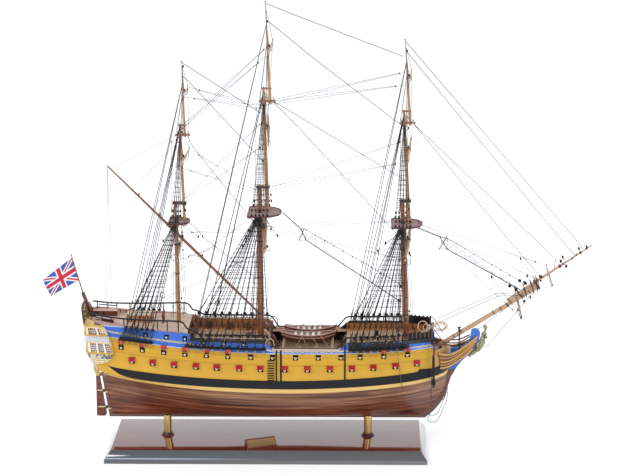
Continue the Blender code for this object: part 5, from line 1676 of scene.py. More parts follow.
for name, side in both_sides:
    shell = grid("gallery_" + name, 28, 60)
    for vertex in shell.data.vertices:
        across, up = (vertex.co.x + 1) / 2, (vertex.co.y + 1) / 2
        z = 166.0 + 76.0 * up
        aft, fore = gallery_at(z, 1), gallery_at(z, 2)
        vertex.co = gallery_point(aft + (fore - aft) * across, z, side) * mm
    face_outboard(shell, side, 800)
    edit(shell, "EDGE")
    pick_all()
    bpy.ops.mesh.region_to_loop()
    bpy.ops.mesh.extrude_edges_move(TRANSFORM_OT_translate={"value": (0, -side * 9.0 * mm, 0)})
    bpy.ops.mesh.edge_face_add()
    face_out()
    done()
    alone(shell)
    shade_to(35)
    dress(shell, stern_finish)
    for number, (z, tall, proud) in enumerate((
        (168.5, 1.6, 1.0), (172.5, 2.0, 1.3), (176.6, 2.2, 1.6), (187.6, 2.4, 1.5), (205.6, 2.2, 1.5),
        (217.8, 2.2, 1.4), (230.2, 2.0, 1.2),
    )):
        run = []
        for k in range(17):
            x = gallery_at(z, 1) - 0.5 + (gallery_at(z, 2) - gallery_at(z, 1) + 1.0) * k / 16
            run.append(gallery_point(x, z, side, 0.3))
        ledge = swept_bar("gallery_ledge_%s_%d" % (name, number), run, proud * 1.6, tall)
        soften(ledge, 0.4, 3, 50)
        dress(ledge, ochre_trim if number in (3, 5) else cream_trim)


# The windows have cream frames and white glazing bars over brown and violet panes.
# They stand in two rows across the stern and along both galleries.
def window_glass():
    finish = Finish("window_glass", roughness=0.15, coat=0.6)
    patch = finish.noise((120, 120, 120), detail=1.0)
    shade = rise(patch, 0.4, 0.6)
    finish.set("Base Color", shade.mix((0.045, 0.030, 0.120), (0.170, 0.060, 0.030)))
    finish.set("Roughness", 0.12 + 0.1 * patch)
    return finish.material


frame_paint = stained("frame_paint", (0.72, 0.66, 0.52), (0.92, 0.89, 0.80), roughness=0.35)
pane_finish = window_glass()


def face_frame(low, high, along_point):
    """The frame of a window: X to along_point, Z up its height, at the middle."""
    up = (high - low).normalized()
    across = (along_point - low).normalized()
    across = (across - up * across.dot(up)).normalized()
    out = up.cross(across)
    middle = (low + high) / 2
    return Matrix.Translation(middle * mm) @ Matrix((across, -out, up)).transposed().to_4x4()


def window_bars(name, wide, tall, columns, rows):
    """A sash in the XZ plane: an outer frame and thinner bars, towards minus Y."""
    bars = []
    for k in range(columns + 1):
        x = -wide / 2 + wide * k / columns
        w = 0.75 if k in (0, columns) else 0.28
        bars.append(new_cube(
            "bar", (x - w, -0.9 if w > 0.5 else -0.45, -tall / 2 - 0.7), (x + w, 0.4, tall / 2 + 0.7)
        ))
    for k in range(rows + 1):
        z = -tall / 2 + tall * k / rows
        w = 0.75 if k in (0, rows) else 0.28
        bars.append(new_cube(
            "bar", (-wide / 2 - 0.7, -0.9 if w > 0.5 else -0.45, z - w), (wide / 2 + 0.7, 0.4, z + w)
        ))
    return join_all(bars, name)


def on_gallery(piece, low, side):
    """Lays a piece drawn upright in X and Z on the gallery, leaning as its fore edge does."""
    for vertex in piece.data.vertices:
        x, out, z = vertex.co / mm
        share = (x - gallery_at(low, 1)) / (gallery_at(low, 2) - gallery_at(low, 1))
        aft, fore = gallery_at(z, 1), gallery_at(z, 2)
        vertex.co = gallery_point(aft + (fore - aft) * share, z, side, out) * mm
    if side < 0:
        piece.data.flip_normals()
    return piece


for name, side in both_sides:
    sashes, panes = [], []
    for x0, x1, z0, z1, columns, rows in (
        (-302.6, -287.8, 219.6, 228.6, 4, 3), (-284.6, -273.2, 219.6, 228.6, 3, 3),
        (-298.6, -287.6, 190.2, 203.8, 4, 4), (-284.0, -273.8, 190.2, 203.8, 3, 4),
        (-270.4, -261.2, 190.2, 203.8, 3, 4),
    ):
        for k in range(1, columns):
            x = x0 + (x1 - x0) * k / columns
            sashes.append(on_gallery(new_cube("bar", (x - 0.3, 0.1, z0), (x + 0.3, 0.7, z1)), z0, side))
        for k in range(1, rows):
            z = z0 + (z1 - z0) * k / rows
            sashes.append(on_gallery(new_cube("bar", (x0, 0.1, z - 0.3), (x1, 0.7, z + 0.3)), z0, side))
        panes.append(on_gallery(new_cube("pane", (x0, -0.4, z0), (x1, 0.35, z1)), z0, side))
    for x0, x1, z0, z1 in (
        (-306.0, -302.6, 218.6, 229.6), (-287.8, -284.6, 218.6, 229.6), (-273.2, -270.0, 218.6, 229.6),
        (-303.4, -298.6, 188.6, 204.8), (-287.6, -284.0, 188.6, 204.8), (-273.8, -270.4, 188.6, 204.8),
        (-261.2, -258.2, 188.6, 204.8),
    ):
        pilaster = new_cube("pilaster", (x0, -0.3, z0), (x1, 1.4, z1))
        edit(pilaster)
        pick(pilaster, lambda face: face.normal.y > 0.9)
        inset(0.7)
        shift(0, -0.4, 0)
        done()
        sashes.append(on_gallery(pilaster, 190.2 if z0 < 200 else 219.6, side))
    dress(join_all(sashes, "gallery_windows_" + name), frame_paint)
    dress(join_all(panes, "gallery_panes_" + name), pane_finish)
stern_frames, stern_panes = [], []
for z0, z1, count, spread, rows in ((190.6, 203.6, 7, 0.86, 4), (220.0, 229.5, 6, 0.84, 3)):
    for k in range(count):
        u = -spread + 2 * spread * (k + 0.5) / count
        wide = 2 * spread * row_at(stern_line, (z0 + z1) / 2, 3) / count * 0.70
        place = face_frame(
            stern_point(u, z0, 0.35), stern_point(u, z1, 0.35), stern_point(u - 0.1, z0, 0.35)
        )
        sash = window_bars("sash", wide, z1 - z0, 3, rows)
        sash.data.transform(place)
        stern_frames.append(sash)
        pane = new_cube("pane", (-wide / 2, -0.15, -(z1 - z0) / 2), (wide / 2, 0.3, (z1 - z0) / 2))
        pane.data.transform(place)
        stern_panes.append(pane)
dress(join_all(stern_frames, "stern_windows"), frame_paint)
dress(join_all(stern_panes, "stern_panes"), pane_finish)
for number, (z, tall, deep) in enumerate((
    (152.0, 2.0, 2.0), (164.0, 2.0, 1.8), (176.0, 2.4, 2.2), (187.6, 2.4, 2.4), (205.4, 2.4, 2.4),
    (217.8, 2.2, 2.2), (232.5, 2.4, 2.4),
)):
    run = [stern_point(-1.02 + 2.04 * k / 24, z, 0.3) for k in range(25)]
    ledge = swept_bar("stern_ledge_%d" % number, run, deep * 1.3, tall)
    soften(ledge, 0.4, 3, 50)
    dress(ledge, ochre_trim if number in (3, 5) else cream_trim)


# A row of turned balusters stands between the two rows of windows, round the stern
# and along both galleries.
baluster_white = stained("baluster_white", (0.66, 0.66, 0.70), (0.93, 0.93, 0.94), roughness=0.35)


baluster = turned_piece("baluster", [
    (0, 0), (0.9, 0), (0.9, 0.8), (0.5, 1.4), (1.0, 3.4), (0.95, 4.6), (0.45, 7.0), (0.5, 8.2),
    (0.85, 8.6), (0.85, 9.6), (0, 9.6),
], (0, 0, 0), sides=10)
spots = []
for k in range(30):
    spots.append(Matrix.Translation(stern_point(-0.96 + 1.92 * k / 29, 206.8, 0.4) * mm))
for side in (-1, 1):
    for k in range(13):
        x = gallery_at(211, 1) + 1.5 + (gallery_at(211, 2) - gallery_at(211, 1) - 3.0) * k / 12
        spots.append(Matrix.Translation(gallery_point(x, 206.8, side, 0.3) * mm))
dress(smooth_copies(baluster, spots, "stern_balusters"), baluster_white)


# The taffrail closes the top of the stern and is highest in the middle. Its edge is
# maroon, and gilt scrolls are laid on its face to both sides of a ring.
edge_run = [stern_point(-1.0, 236.5 + 2.1 * k, 0.6) for k in range(11)]
edge_run += [stern_point(-0.86 + 1.72 * k / 12, 258.0, 0.6) for k in range(13)]
edge_run += [stern_point(1.0, 257.5 - 2.1 * k, 0.6) for k in range(11)]
taffrail_edge = swept_bar("taffrail_edge", edge_run, 3.4, 2.4)
soften(taffrail_edge, 0.5, 2, 50)
dress(taffrail_edge, maroon_wood)
carvings = []
for hand in (-1, 1):
    for centre, size in ((13.0, 9.0), (25.0, 7.0), (34.0, 5.0)):
        run = []
        for k in range(24):
            turn = k / 23 * 2.3 * math.pi
            r = size * (0.12 + 0.88 * k / 23) * 0.5
            y = hand * (centre + r * math.cos(turn))
            z = 244.0 - 0.12 * (centre - 13.0) + r * math.sin(turn)
            run.append(stern_point(y / row_at(stern_line, z, 3), z, 0.6))
        carvings.append(run)
run = []
for k in range(25):
    turn = 2 * math.pi * k / 24
    z = 245.0 + 5.2 * math.sin(turn)
    run.append(stern_point(0.11 * math.cos(turn), z, 0.6))
carvings.append(run)
ribbon("taffrail_carving", carvings, 0.7, gilding, sides=2)


# The head is a blue knee between golden rails. The rails leave the bow one above the
# other and come together at the figurehead, over dark timbers and boards. A black
# post with a wide head stands on each side.
blue_knee = stained("blue_knee", (0.020, 0.110, 0.50), (0.040, 0.190, 0.70), roughness=0.35)
golden_rail = spar_wood("golden_rail", (0.78, 0.46, 0.12), (0.40, 0.17, 0.03), 0.35)
head_dark = stained("head_dark", (0.10, 0.035, 0.010), (0.24, 0.10, 0.03))
head_rails = (
    [
        (296.5, 42.2, 183.0), (305.0, 36.5, 179.8), (313.5, 30.5, 177.6), (324.0, 23.5, 178.6),
        (335.2, 16.5, 183.2), (350.8, 9.3, 192.4), (360.5, 5.6, 199.6), (364.7, 4.6, 203.2),
    ],
    [
        (299.5, 38.7, 167.2), (309.0, 32.0, 165.4), (320.0, 24.5, 167.0), (333.0, 15.5, 172.6),
        (346.0, 9.0, 181.2), (357.0, 5.4, 190.8), (362.0, 4.5, 195.6),
    ],
    [
        (299.5, 38.3, 155.9), (308.0, 32.6, 155.4), (317.0, 26.6, 157.2), (328.0, 19.4, 161.8),
        (338.8, 12.4, 167.6), (350.0, 7.0, 175.4), (356.0, 4.8, 181.6),
    ],
)
for name, side in both_sides:
    runs = [smooth_path([(x, side * y, z) for x, y, z in path], 40) for path in head_rails]
    between = [[a.lerp(b, 0.5) for a, b in zip(runs[k], runs[k + 1])] for k in (0, 1)]
    rails_made = [swept_bar("head_rail", run, 2.6, 3.2) for run in runs]
    rails_made += [swept_bar("head_bead", run, 2.0, 1.6) for run in between]
    whole = join_all(rails_made, "head_rails_wood_" + name)
    soften(whole, 0.5, 3, 40)
    dress(whole, golden_rail, replaced=["head_rails_" + name])
    timbers = []
    for k in (12, 24):
        timbers.append(swept_bar("timber", [run[k] + Vector((0, -side * 1.9, 0)) for run in runs], 2.0, 2.0))
    board = grid("head_board", 39, 8)
    for index, vertex in enumerate(board.data.vertices):
        k, share = index % 40, (vertex.co.y + 1)
        point = runs[2][k].lerp(runs[1][k], share) if share < 1 else runs[1][k].lerp(runs[0][k], share - 1)
        vertex.co = (point - Vector((0, side * 0.6, 0))) * mm
    thicken(board, 0.8, 0.0)
    dress(join_all(timbers + [board], "head_boards_" + name), head_dark)
    panel = new_cube(
        "bow_panel_" + name, (287.6, side * 36.0 - 3.5, 180.5), (291.4, side * 36.0 + 3.5, 199.5)
    )
    dress(soften(panel, 0.4), blue_knee)
    mushroom = turned_piece("bow_post_" + name, [
        (0, 0), (1.3, 0), (1.3, 3), (0.9, 4), (0.9, 30.5), (1.2, 31.5), (3.0, 33.6), (3.2, 34.4), (2.6, 35.2),
        (0, 35.6),
    ], (333.3, side * 8.5, 181.0), 16)
    dress(mushroom, black)
    brace_run = smooth_path(
        [
            (309.5, side * 9, 193.6), (319, side * 9.3, 192.6), (330.8, side * 9, 193.2),
            (341, side * 8.2, 197.2), (351.3, side * 5.5, 203.1),
        ],
        20,
    )
    dress(soften(swept_bar("bow_brace_" + name, brace_run, 1.8, 2.4), 0.5, 2, 40), head_dark)
bed = new_cube("bowsprit_bed", (303.0, -7.5, 172.5), (319.0, 7.5, 187.0))
edit(bed)
pick(bed, lambda face: face.normal.x > 0.9)
stretch_by(1, 0.55, 0.7)
shift(0, 0, -2.0)
done()
dress(soften(bed, 2.2, 4), stained("bed_paint", (0.60, 0.46, 0.42), (0.80, 0.70, 0.66)))


# The figurehead stands against the knee: a calm gilt figure in a long robe, one arm
# bent across the breast, the robe sweeping down and aft.
def lump(name, centre, size, lean, segments=20, rings=14):
    """An oval solid, leaned fore and aft by degrees."""
    obj = ball(name, 1.0 / mm, segments, rings)
    place = Matrix.Translation(Vector(centre) * mm) @ Matrix.Rotation(math.radians(lean), 4, "Y")
    obj.data.transform(place @ Matrix.Diagonal((*(Vector(size) * mm), 1)))
    obj.data.shade_smooth()
    return obj


def gilt_tarnish_and_shade():
    finish = Finish("gilt_tarnish_and_shade", roughness=0.42, metallic=0.35)
    wear_and_shade = finish.noise((150, 150, 150), detail=4.0)
    folds = finish.noise((260, 120, 90), detail=2.0)
    # Dark in the hollows of the folds: partly tarnish on the gilt, partly painted shade.
    tone = clamp01(wear_and_shade * 0.8 + folds * 1.8 - 0.85)
    finish.set("Base Color", tone.mix((0.075, 0.062, 0.022), (0.62, 0.57, 0.36)))
    finish.bump(folds + wear_and_shade * 0.4, 0.8, 0.0008)
    return finish.material


parts = [
    lump("hem", (352.8, 0, 168.5), (3.4, 3.8, 5.0), 40),
    lump("train", (358.5, 0, 174.5), (5.2, 5.0, 8.0), 42),
    lump("skirt", (366.0, 0, 183.0), (7.4, 6.2, 10.5), 30),
    lump("hips", (371.6, 0, 191.0), (6.2, 5.6, 7.0), 18),
    lump("waist", (374.2, 0, 198.5), (4.9, 4.5, 6.0), 10),
    lump("breast", (375.8, 0, 205.4), (5.0, 5.6, 5.0), 10),
    lump("neck", (377.8, 0, 212.4), (1.8, 1.8, 3.0), 8),
    lump("head", (378.9, 0, 217.6), (3.0, 2.6, 3.8), 6),
    lump("hair", (377.9, 0, 218.8), (3.1, 2.9, 3.9), 0),
    lump("bun", (375.4, 0, 218.6), (1.5, 1.6, 1.7), 0),
    lump("nose", (381.8, 0, 217.3), (0.5, 0.35, 0.7), 0, 8, 6),
]
for side in (-1, 1):
    parts.append(lump("shoulder", (375.8, side * 4.8, 207.2), (2.6, 2.1, 2.4), 0, 12, 8))
    parts.append(lump("upper_arm", (377.0, side * 5.5, 203.0), (1.9, 1.5, 4.2), -14, 12, 8))
    parts.append(lump("forearm", (379.0, side * 3.8, 200.2), (3.4, 1.3, 1.4), -20, 12, 8))
    parts.append(lump("brow", (381.2, side * 1.0, 218.6), (0.5, 0.8, 0.3), 0, 8, 6))
    parts.append(lump("swag", (362.0, side * 4.8, 179.0), (1.6, 1.5, 11.5), 44, 12, 10))
for k in range(9):
    a = math.radians(-100 + 25 * k)
    x, y = 367.5 + 6.2 * math.cos(a), 5.6 * math.sin(a)
    parts.append(lump("fold", (x, y, 184.5), (1.3, 1.3, 10.0), 28, 8, 10))
figure = join_all(parts, "figurehead_carving")
shape(figure, "REMESH", mode="VOXEL", voxel_size=0.45 * mm)
shape(figure, "SMOOTH", factor=0.5, iterations=3)
figure.data.shade_smooth()
dress(figure, gilt_tarnish_and_shade(), replaced=["figurehead"])


# Two open boats stand over the waist: planked mahogany hulls with paler gunwales,
# white thwarts and dark ribs.
boat_mahogany = spar_wood("boat_mahogany", (0.24, 0.065, 0.035), (0.085, 0.020, 0.014), 0.4)
boat_floor = stained("boat_floor", (0.10, 0.03, 0.02), (0.22, 0.08, 0.05))
boat_white = stained("boat_white", (0.70, 0.64, 0.58), (0.93, 0.90, 0.86))
boat_rim = stained("boat_rim", (0.34, 0.15, 0.11), (0.62, 0.40, 0.32))
for name, centre, length, beam, depth in (
    ("launch", Vector((73.0, -20.0, 211.0)), 96.0, 27.0, 13.0),
    ("longboat", Vector((75.0, 20.0, 210.0)), 90.0, 24.0, 12.0),
):
    def boat_section(share):
        """Half breadth, sheer and keel height at a share of the length from the stern."""
        if share < 0.5:
            half = beam / 2 * (0.42 + 0.58 * math.sin(math.pi * share))
        else:
            half = max(0.5, beam / 2 * (1.0 - ((share - 0.5) * 2) ** 2.6))
        lift = depth * 0.42 * (share - 0.5) ** 2 * 4
        keel_up = depth * (1.05 * max(0.0, share - 0.8) + 1.6 * max(0.0, 0.22 - share))
        return half, lift, keel_up

    def boat_point(share, angle, inset=0.0):
        half, lift, keel_up = boat_section(share)
        a = math.radians(abs(angle))
        up = math.sin(a) ** 1.3
        y = max(0.0, half - inset) * math.cos(a) ** 0.7 * (1 if angle > 0 else -1)
        z = -depth * up + keel_up * up + lift * (1.0 - 0.7 * up) + inset * 0.4
        rake = 1.0 - up * (0.10 if share < 0.5 else 0.16) * (2 * share - 1) ** 2
        return Vector((centre.x + (share - 0.5) * length * rake, centre.y + y, centre.z + z))

    shell = grid(name + "_planking", 48, 28)
    for vertex in shell.data.vertices:
        share, turn = (vertex.co.x + 1) / 2, vertex.co.y
        turn_deg = 90.0 - 90.0 * abs(turn)
        angle = turn_deg if turn >= 0 else -turn_deg
        point = boat_point(share, angle)
        plank = abs(turn) * 7.0
        clinker = 0.35 * (1.0 - (plank - math.floor(plank)))
        point.y += (1 if angle > 0 else -1) * clinker * (1 if abs(turn) > 0.05 else 0)
        vertex.co = point * mm
    edit(shell)
    face_out()
    done()
    thicken(shell, 0.9)
    shell.data.shade_smooth()
    shade_to(28)
    dress(shell, boat_mahogany, replaced=[name])
    fittings, white_fittings, thwarts = [], [], []
    outline = [boat_point(0.0, a, 0.3) for a in (1, 12, 25, 40, 60, 80, 90)]
    corners = [Vector((p.x, p.y, p.z)) for p in outline] + [
        Vector((p.x, 2 * centre.y - p.y, p.z)) for p in reversed(outline[:-1])
    ]
    mesh = bpy.data.meshes.new("boat_transom")
    mesh.from_pydata([p * mm for p in corners], [], [tuple(range(len(corners)))])
    back_board = put_in_scene("boat_transom", mesh)
    thicken(back_board, 1.2, 0.0)
    fittings.append(back_board)
    for side in (-1, 1):
        run = [boat_point(0.005 + 0.985 * k / 40, side * 0.5) + Vector((0, 0, 0.7)) for k in range(41)]
        white_fittings.append(swept_bar("gunwale", run, 1.7, 1.2))
    for share in (0.27, 0.375, 0.48, 0.585, 0.69):
        half, lift, _ = boat_section(share)
        x = centre.x + (share - 0.5) * length
        z = centre.z + lift - 0.5
        thwarts.append(new_cube(
            "thwart", (x - 2.1, centre.y - half * 0.92, z - 0.4), (x + 2.1, centre.y + half * 0.92, z + 0.5)
        ))
    for k in range(15):
        share = 0.06 + 0.06 * k
        run = [boat_point(share, a, 1.2) for a in (-4, -20, -45, -70, -90, 70, 45, 20, 4)]
        fittings.append(swept_bar("rib", run, 0.9, 0.7))
    keel_run = [boat_point(0.0 + k / 24, 90) + Vector((0, 0, -0.5)) for k in range(25)]
    fittings.append(swept_bar("boat_keel", keel_run, 1.2, 1.6))
    low_end = boat_point(1.0, 90)
    high_end = boat_point(1.0, 1)
    fittings.append(swept_bar(
        "boat_stem",
        [
            low_end + Vector((-1, 0, -0.6)), boat_point(1.0, 45) + Vector((0.8, 0, 0)),
            high_end + Vector((0.8, 0, 2.4)),
        ],
        1.3, 1.8,
    ))
    for side in (-1, 1):
        run = [boat_point(0.01 + 0.98 * k / 40, side * 26) + Vector((0, side * 0.5, 0)) for k in range(41)]
        white_fittings.append(swept_bar("rubbing_strake", run, 0.9, 1.3))
    dress(join_all(fittings, name + "_frames"), boat_floor)
    dress(soften(join_all(thwarts, name + "_thwarts"), 0.15), boat_white)
    trim_piece = join_all(white_fittings, name + "_gunwales")
    soften(trim_piece, 0.2, 2)
    dress(trim_piece, boat_rim)


# The ensign hangs from a raked staff: cotton printed with a red, white and blue
# cross, dulled a little, with loose folds towards the fly.
staff_foot, staff_head = Vector((-311.9, 0, 258.4)), Vector((-335.3, 0, 345.7))
staff = pole(
    "ensign_staff_pole", staff_foot, staff_head, [(0.0, 1.5), (0.1, 1.3), (0.9, 0.8), (1.0, 0.8)], 14
)
knob = lump("staff_knob", staff_head, (1.6, 1.6, 1.3), 0, 14, 10)
dress(
    join_all([staff, knob], "ensign_staff_pole"), mahogany_spar, replaced=["ensign_staff"]
)


def ensign_cloth():
    finish = Finish("ensign_cloth", roughness=0.85)
    along, up = finish.axis("X", finish.unwrapped) * mm, finish.axis("Y", finish.unwrapped) * mm
    along, up = ((along - 0.5) * 1.6).math("ABSOLUTE"), (up - 0.5).math("ABSOLUTE")
    slant = (along * 0.53 - up * 0.848).math("ABSOLUTE")

    def band(value, low, high):
        return 1.0 - rise(value, low, high)

    def upright_cross(low, high):
        return band(along, low, high).math("MAXIMUM", band(up, low, high))

    weave = finish.noise((900, 900, 900), detail=2.0)
    red = weave.mix((0.50, 0.012, 0.035), (0.62, 0.035, 0.060))
    white = weave.mix((0.74, 0.72, 0.74), (0.88, 0.86, 0.87))
    blue = weave.mix((0.035, 0.085, 0.36), (0.060, 0.130, 0.48))
    colour = band(slant, 0.085, 0.093).mix(blue, white)
    colour = band(slant, 0.030, 0.038).mix(colour, red)
    colour = upright_cross(0.150, 0.160).mix(colour, white)
    colour = upright_cross(0.085, 0.095).mix(colour, red)
    finish.set("Base Color", colour)
    finish.bump(weave, 0.3, 0.0002)
    return finish.material


hoist_top, hoist_low = Vector((-334.1, 0, 341.4)), Vector((-323.3, 0, 301.0))
fly_top, fly_low = Vector((-385.9, 0, 301.5)), Vector((-373.0, 0, 272.3))
ensign = grid("ensign_flag", 44, 28)
for vertex in ensign.data.vertices:
    s, t = (vertex.co.x + 1) / 2, (vertex.co.y + 1) / 2
    point = hoist_low.lerp(hoist_top, t).lerp(fly_low.lerp(fly_top, t), s)
    sway = 2.2 * math.sin(s * 1.5 * math.pi) * s
    ripple = 1.1 * math.sin(s * 15.0 + t * 2.0) * s * (1.0 - 0.4 * t)
    vertex.co = (point + Vector((0, sway + ripple, 0))) * mm
thicken(ensign, 0.35, 0.0)
ensign.data.shade_smooth()
dress(ensign, ensign_cloth(), replaced=["ensign"])


# Ropes are laid cotton. Standing rigging is tarred black, running rigging is grey
# brown and the spare line is pale hemp. Small black blocks lead the running lines.
def rope_finish(name, dark, light):
    return stained(name, dark, light, (900, 900, 900), 0.4, 0.75, coat=0.0, detail=2.0, depth=0.0001)


tarred = rope_finish("tarred_line", (0.008, 0.008, 0.010), (0.035, 0.035, 0.042))
running = rope_finish("running_line", (0.05, 0.042, 0.036), (0.16, 0.14, 0.12))
hemp = rope_finish("hemp_line", (0.36, 0.22, 0.13), (0.66, 0.47, 0.31))
block_places = []


def tarred_lines(name, runs, radius, sides=1, finish=tarred):
    return ribbon(name, runs, radius, finish, sides=sides)


def add_block(point, size):
    """Notes the place of a small block; the row of blocks is made after the rigging."""
    turn = Matrix.Rotation(random.uniform(0, math.pi), 4, "Z")
    block_places.append(Matrix.Translation(Vector(point) * mm) @ turn @ Matrix.Scale(size, 4))


def deadeye():
    """A round grooved block with three holes, its face across the ship."""
    eye = turned_piece("deadeye", [
        (0, -1.5), (2.2, -1.5), (2.9, -0.9), (2.5, 0), (2.9, 0.9), (2.2, 1.5), (0, 1.5),
    ], (0, 0, 0), 14)
    eye.data.transform(Matrix.Rotation(math.pi / 2, 4, "X"))
    holes = [
        new_cube("hole", (dx - 0.4, -3, dz - 0.4), (dx + 0.4, 3, dz + 0.4))
        for dx, dz in ((-1.2, 0.4), (1.2, 0.4), (0, -1.2))
    ]
    cut_by(eye, join_all(holes, "holes"))
    return eye


# Black shelves called channels stand out from the sides and spread the shrouds. Each
# shroud ends in a deadeye, lashed by a lanyard to a lower one that an iron chain holds.
channels = {
    "mizzen": (-250.0, -192.0, 6, 210.5, (-241.0, -231.0, -221.0)),
    "main": (-136.0, 2.0, 10, 201.0, (-125.0, -111.0, -97.0)),
    "fore": (142.0, 242.0, 9, 199.5, (143.5, 151.8, 163.3)),
}
mast_side_lines = {}


def channel_z(mast, x):
    low, high, _, z, _ = channels[mast]
    return port_line(x, z, 1.5, 0.8) - port_line((low + high) / 2, 0.0, 1.5, 0.8)


def eye_foot(mast, x, side, lift=2.8):
    level = channel_z(mast, x)
    return Vector((x, side * (side_point(x, level - 1.0, 1).y + 7.2), level + lift))


def lashing(low, high, wide):
    """The lanyard between two deadeyes, as one zigzag line."""
    run = []
    for k, dx in enumerate((-wide, -wide, 0.0, 0.0, wide, wide)):
        end = high if k in (1, 2, 5) else low
        run.append(end + Vector((dx, 0, 0)))
    return run


for mast, (x0, x1, count, _, back_x) in channels.items():
    m = masts[mast]
    top, r = m["top_z"], m["radius"]
    mast_at_top = lean_x(m["foot"], m["head"], top)
    for name, side in both_sides:
        run = [
            eye_foot(mast, float(x), side, 0.0) - Vector((0, side * 2.3, 0)) for x in np.linspace(x0, x1, 16)
        ]
        shelf = soften(swept_bar("shelf", run, 8.8, 2.4), 0.4, 2)
        dress(shelf, black, replaced=["channel_%s_%s" % (mast, name)])
        shelf.name = "channel_shelf_%s_%s" % (mast, name)
        eyes, lanyards, chains, shrouds, served, ways = [], [], [], [], [], []
        for k, x in enumerate(np.linspace(x0 + 4.0, x1 - 4.0, count)):
            low = eye_foot(mast, float(x), side)
            gate = Vector((mast_at_top - 3.0 + 6.0 * k / (count - 1), side * (r * 0.72 + 2.4), top - 1.0))
            way = (gate - low).normalized()
            high = low + way * 20.0
            eyes += [Matrix.Translation(low * mm), Matrix.Translation(high * mm)]
            lanyards.append(lashing(low, high, 1.5))
            served.append([high + way * 1.8, high + way * 32.0])
            shrouds.append([high + way * 1.8, gate, Vector((mast_at_top + 1.0, side * 1.5, top + 9.0))])
            ways.append((low, gate))
            wall = side_point(float(x), low.z - 14.0, side, 1.0)
            for dx in (-1.3, 1.3):
                chains.append([low + Vector((dx, 0, -1.6)), low + Vector((dx, side * 1.4, -4.4)), wall])
        for k, x in enumerate(back_x):
            low = eye_foot(mast, x, side, 2.2)
            height = ((m["truck"][1] - 38.0), m["cross_z"] + 15.0, m["cross_z"] + 12.0)[k]
            foot_key, head_key = (("tg_foot", "truck"), ("tm_foot", "tm_head"), ("tm_foot", "tm_head"))[k]
            gate = Vector((lean_x(m[foot_key], m[head_key], height), side * 1.2, height))
            way = (gate - low).normalized()
            high = low + way * 15.0
            small = Matrix.Scale(0.7, 4)
            eyes += [Matrix.Translation(low * mm) @ small, Matrix.Translation(high * mm) @ small]
            lanyards.append(lashing(low, high, 0.6))
            served.append([high + way * 1.0, high + way * 14.0])
            mast_side_lines.setdefault("back", []).append([high + way * 1.0, gate])
        dress(smooth_copies(deadeye(), eyes, "deadeyes_%s_%s" % (mast, name)), black)
        tarred_lines("lanyards_%s_%s" % (mast, name), lanyards, 0.5)
        ribbon("chains_%s_%s" % (mast, name), chains, 0.42, ochre_trim)
        tarred_lines("shrouds_%s_%s" % (mast, name), shrouds, 0.62)
        tarred_lines("served_shrouds_%s_%s" % (mast, name), served, 0.95)
        rungs, knots = [], []
        z = ways[0][0].z + 34.0
        while z < top - 12.0:
            points = [low.lerp(gate, (z - low.z) / (gate.z - low.z)) for low, gate in ways]
            rungs.append(points)
            for point, (low, gate) in zip(points, ways):
                along = (gate - low).normalized() * 0.7
                knots.append([point - along, point + along])
            z += 8.4
        tarred_lines("ratlines_%s_%s" % (mast, name), rungs, 0.34, sides=0)
        tarred_lines("ratline_knots_%s_%s" % (mast, name), knots, 1.05, sides=0)


# Topmast shrouds rise from small deadeyes on the rims of the tops to the crosstrees,
# and futtock shrouds hold the rims down to the mast. Topgallant shrouds stand above.
for mast, m in masts.items():
    top, r = m["top_z"], m["radius"]
    size_x, size_y = m["top_size"]
    lines, thin, eyes, lanyards, rungs = [], [], [], [], []
    cross = m["cross_z"]
    x_cross = lean_x(m["tm_foot"], m["tm_head"], cross)
    for side in (-1, 1):
        ways = []
        for k in range(4 if mast == "mizzen" else 5):
            x = m["top_x"] - size_x * 0.36 + k * size_x * 0.115
            low = Vector((x, side * (size_y / 2 - 0.9), top + 4.2))
            gate = Vector((x_cross - 1.0 + 0.6 * k, side * m["tm_radius"] * 0.8, cross - 3.0))
            way = (gate - low).normalized()
            high = low + way * 8.5
            small = Matrix.Scale(0.68, 4)
            eyes += [Matrix.Translation(low * mm) @ small, Matrix.Translation(high * mm) @ small]
            lanyards.append(lashing(low, high, 0.6))
            lines.append([high + way, gate])
            ways.append((low, gate))
            mast_low = lean_x(m["foot"], m["head"], top - 28)
            thin.append(
                [low - Vector((0, 0, 4.6)), Vector((mast_low - 2 + k, side * r * 0.9, top - 28 + 2 * k))]
            )
        z = top + 22.0
        while z < cross - 16.0:
            rungs.append([low.lerp(gate, (z - low.z) / (gate.z - low.z)) for low, gate in ways])
            z += 8.4
        for k, x in enumerate((x_cross - 5.2, (x_cross + lean_x(m["tg_foot"], m["truck"], cross)) / 2)):
            reach = 19.0 * m["tg_radius"] / 2.4
            height = m["tg_foot"][1] + 0.62 * (m["truck"][1] - m["tg_foot"][1])
            thin.append([
                Vector((x - 1.4, side * reach, cross + 1.8)),
                Vector((lean_x(m["tg_foot"], m["truck"], height), side * 0.9, height)),
            ])
            thin.append([
                Vector((x - 1.4, side * reach, cross + 0.4)),
                Vector((lean_x(m["tm_foot"], m["tm_head"], cross - 22), side * 2.2, cross - 22)),
            ])
    dress(smooth_copies(deadeye(), eyes, mast + "_top_deadeyes"), black)
    tarred_lines(mast + "_top_lanyards", lanyards, 0.2)
    tarred_lines(mast + "_topmast_shrouds", lines, 0.42)
    tarred_lines(mast + "_futtock_shrouds", thin, 0.34)
    tarred_lines(mast + "_topmast_ratlines", rungs, 0.36, sides=0)
tarred_lines("backstays", mast_side_lines["back"], 0.55)


# Thick black stays hold the masts from ahead. The lowest of the main and fore masts
# are doubled: a second rope runs under each, and a snaking line ties the two together.
def centre(*points):
    return [Vector((x, 0.0, z)) for x, z in points]


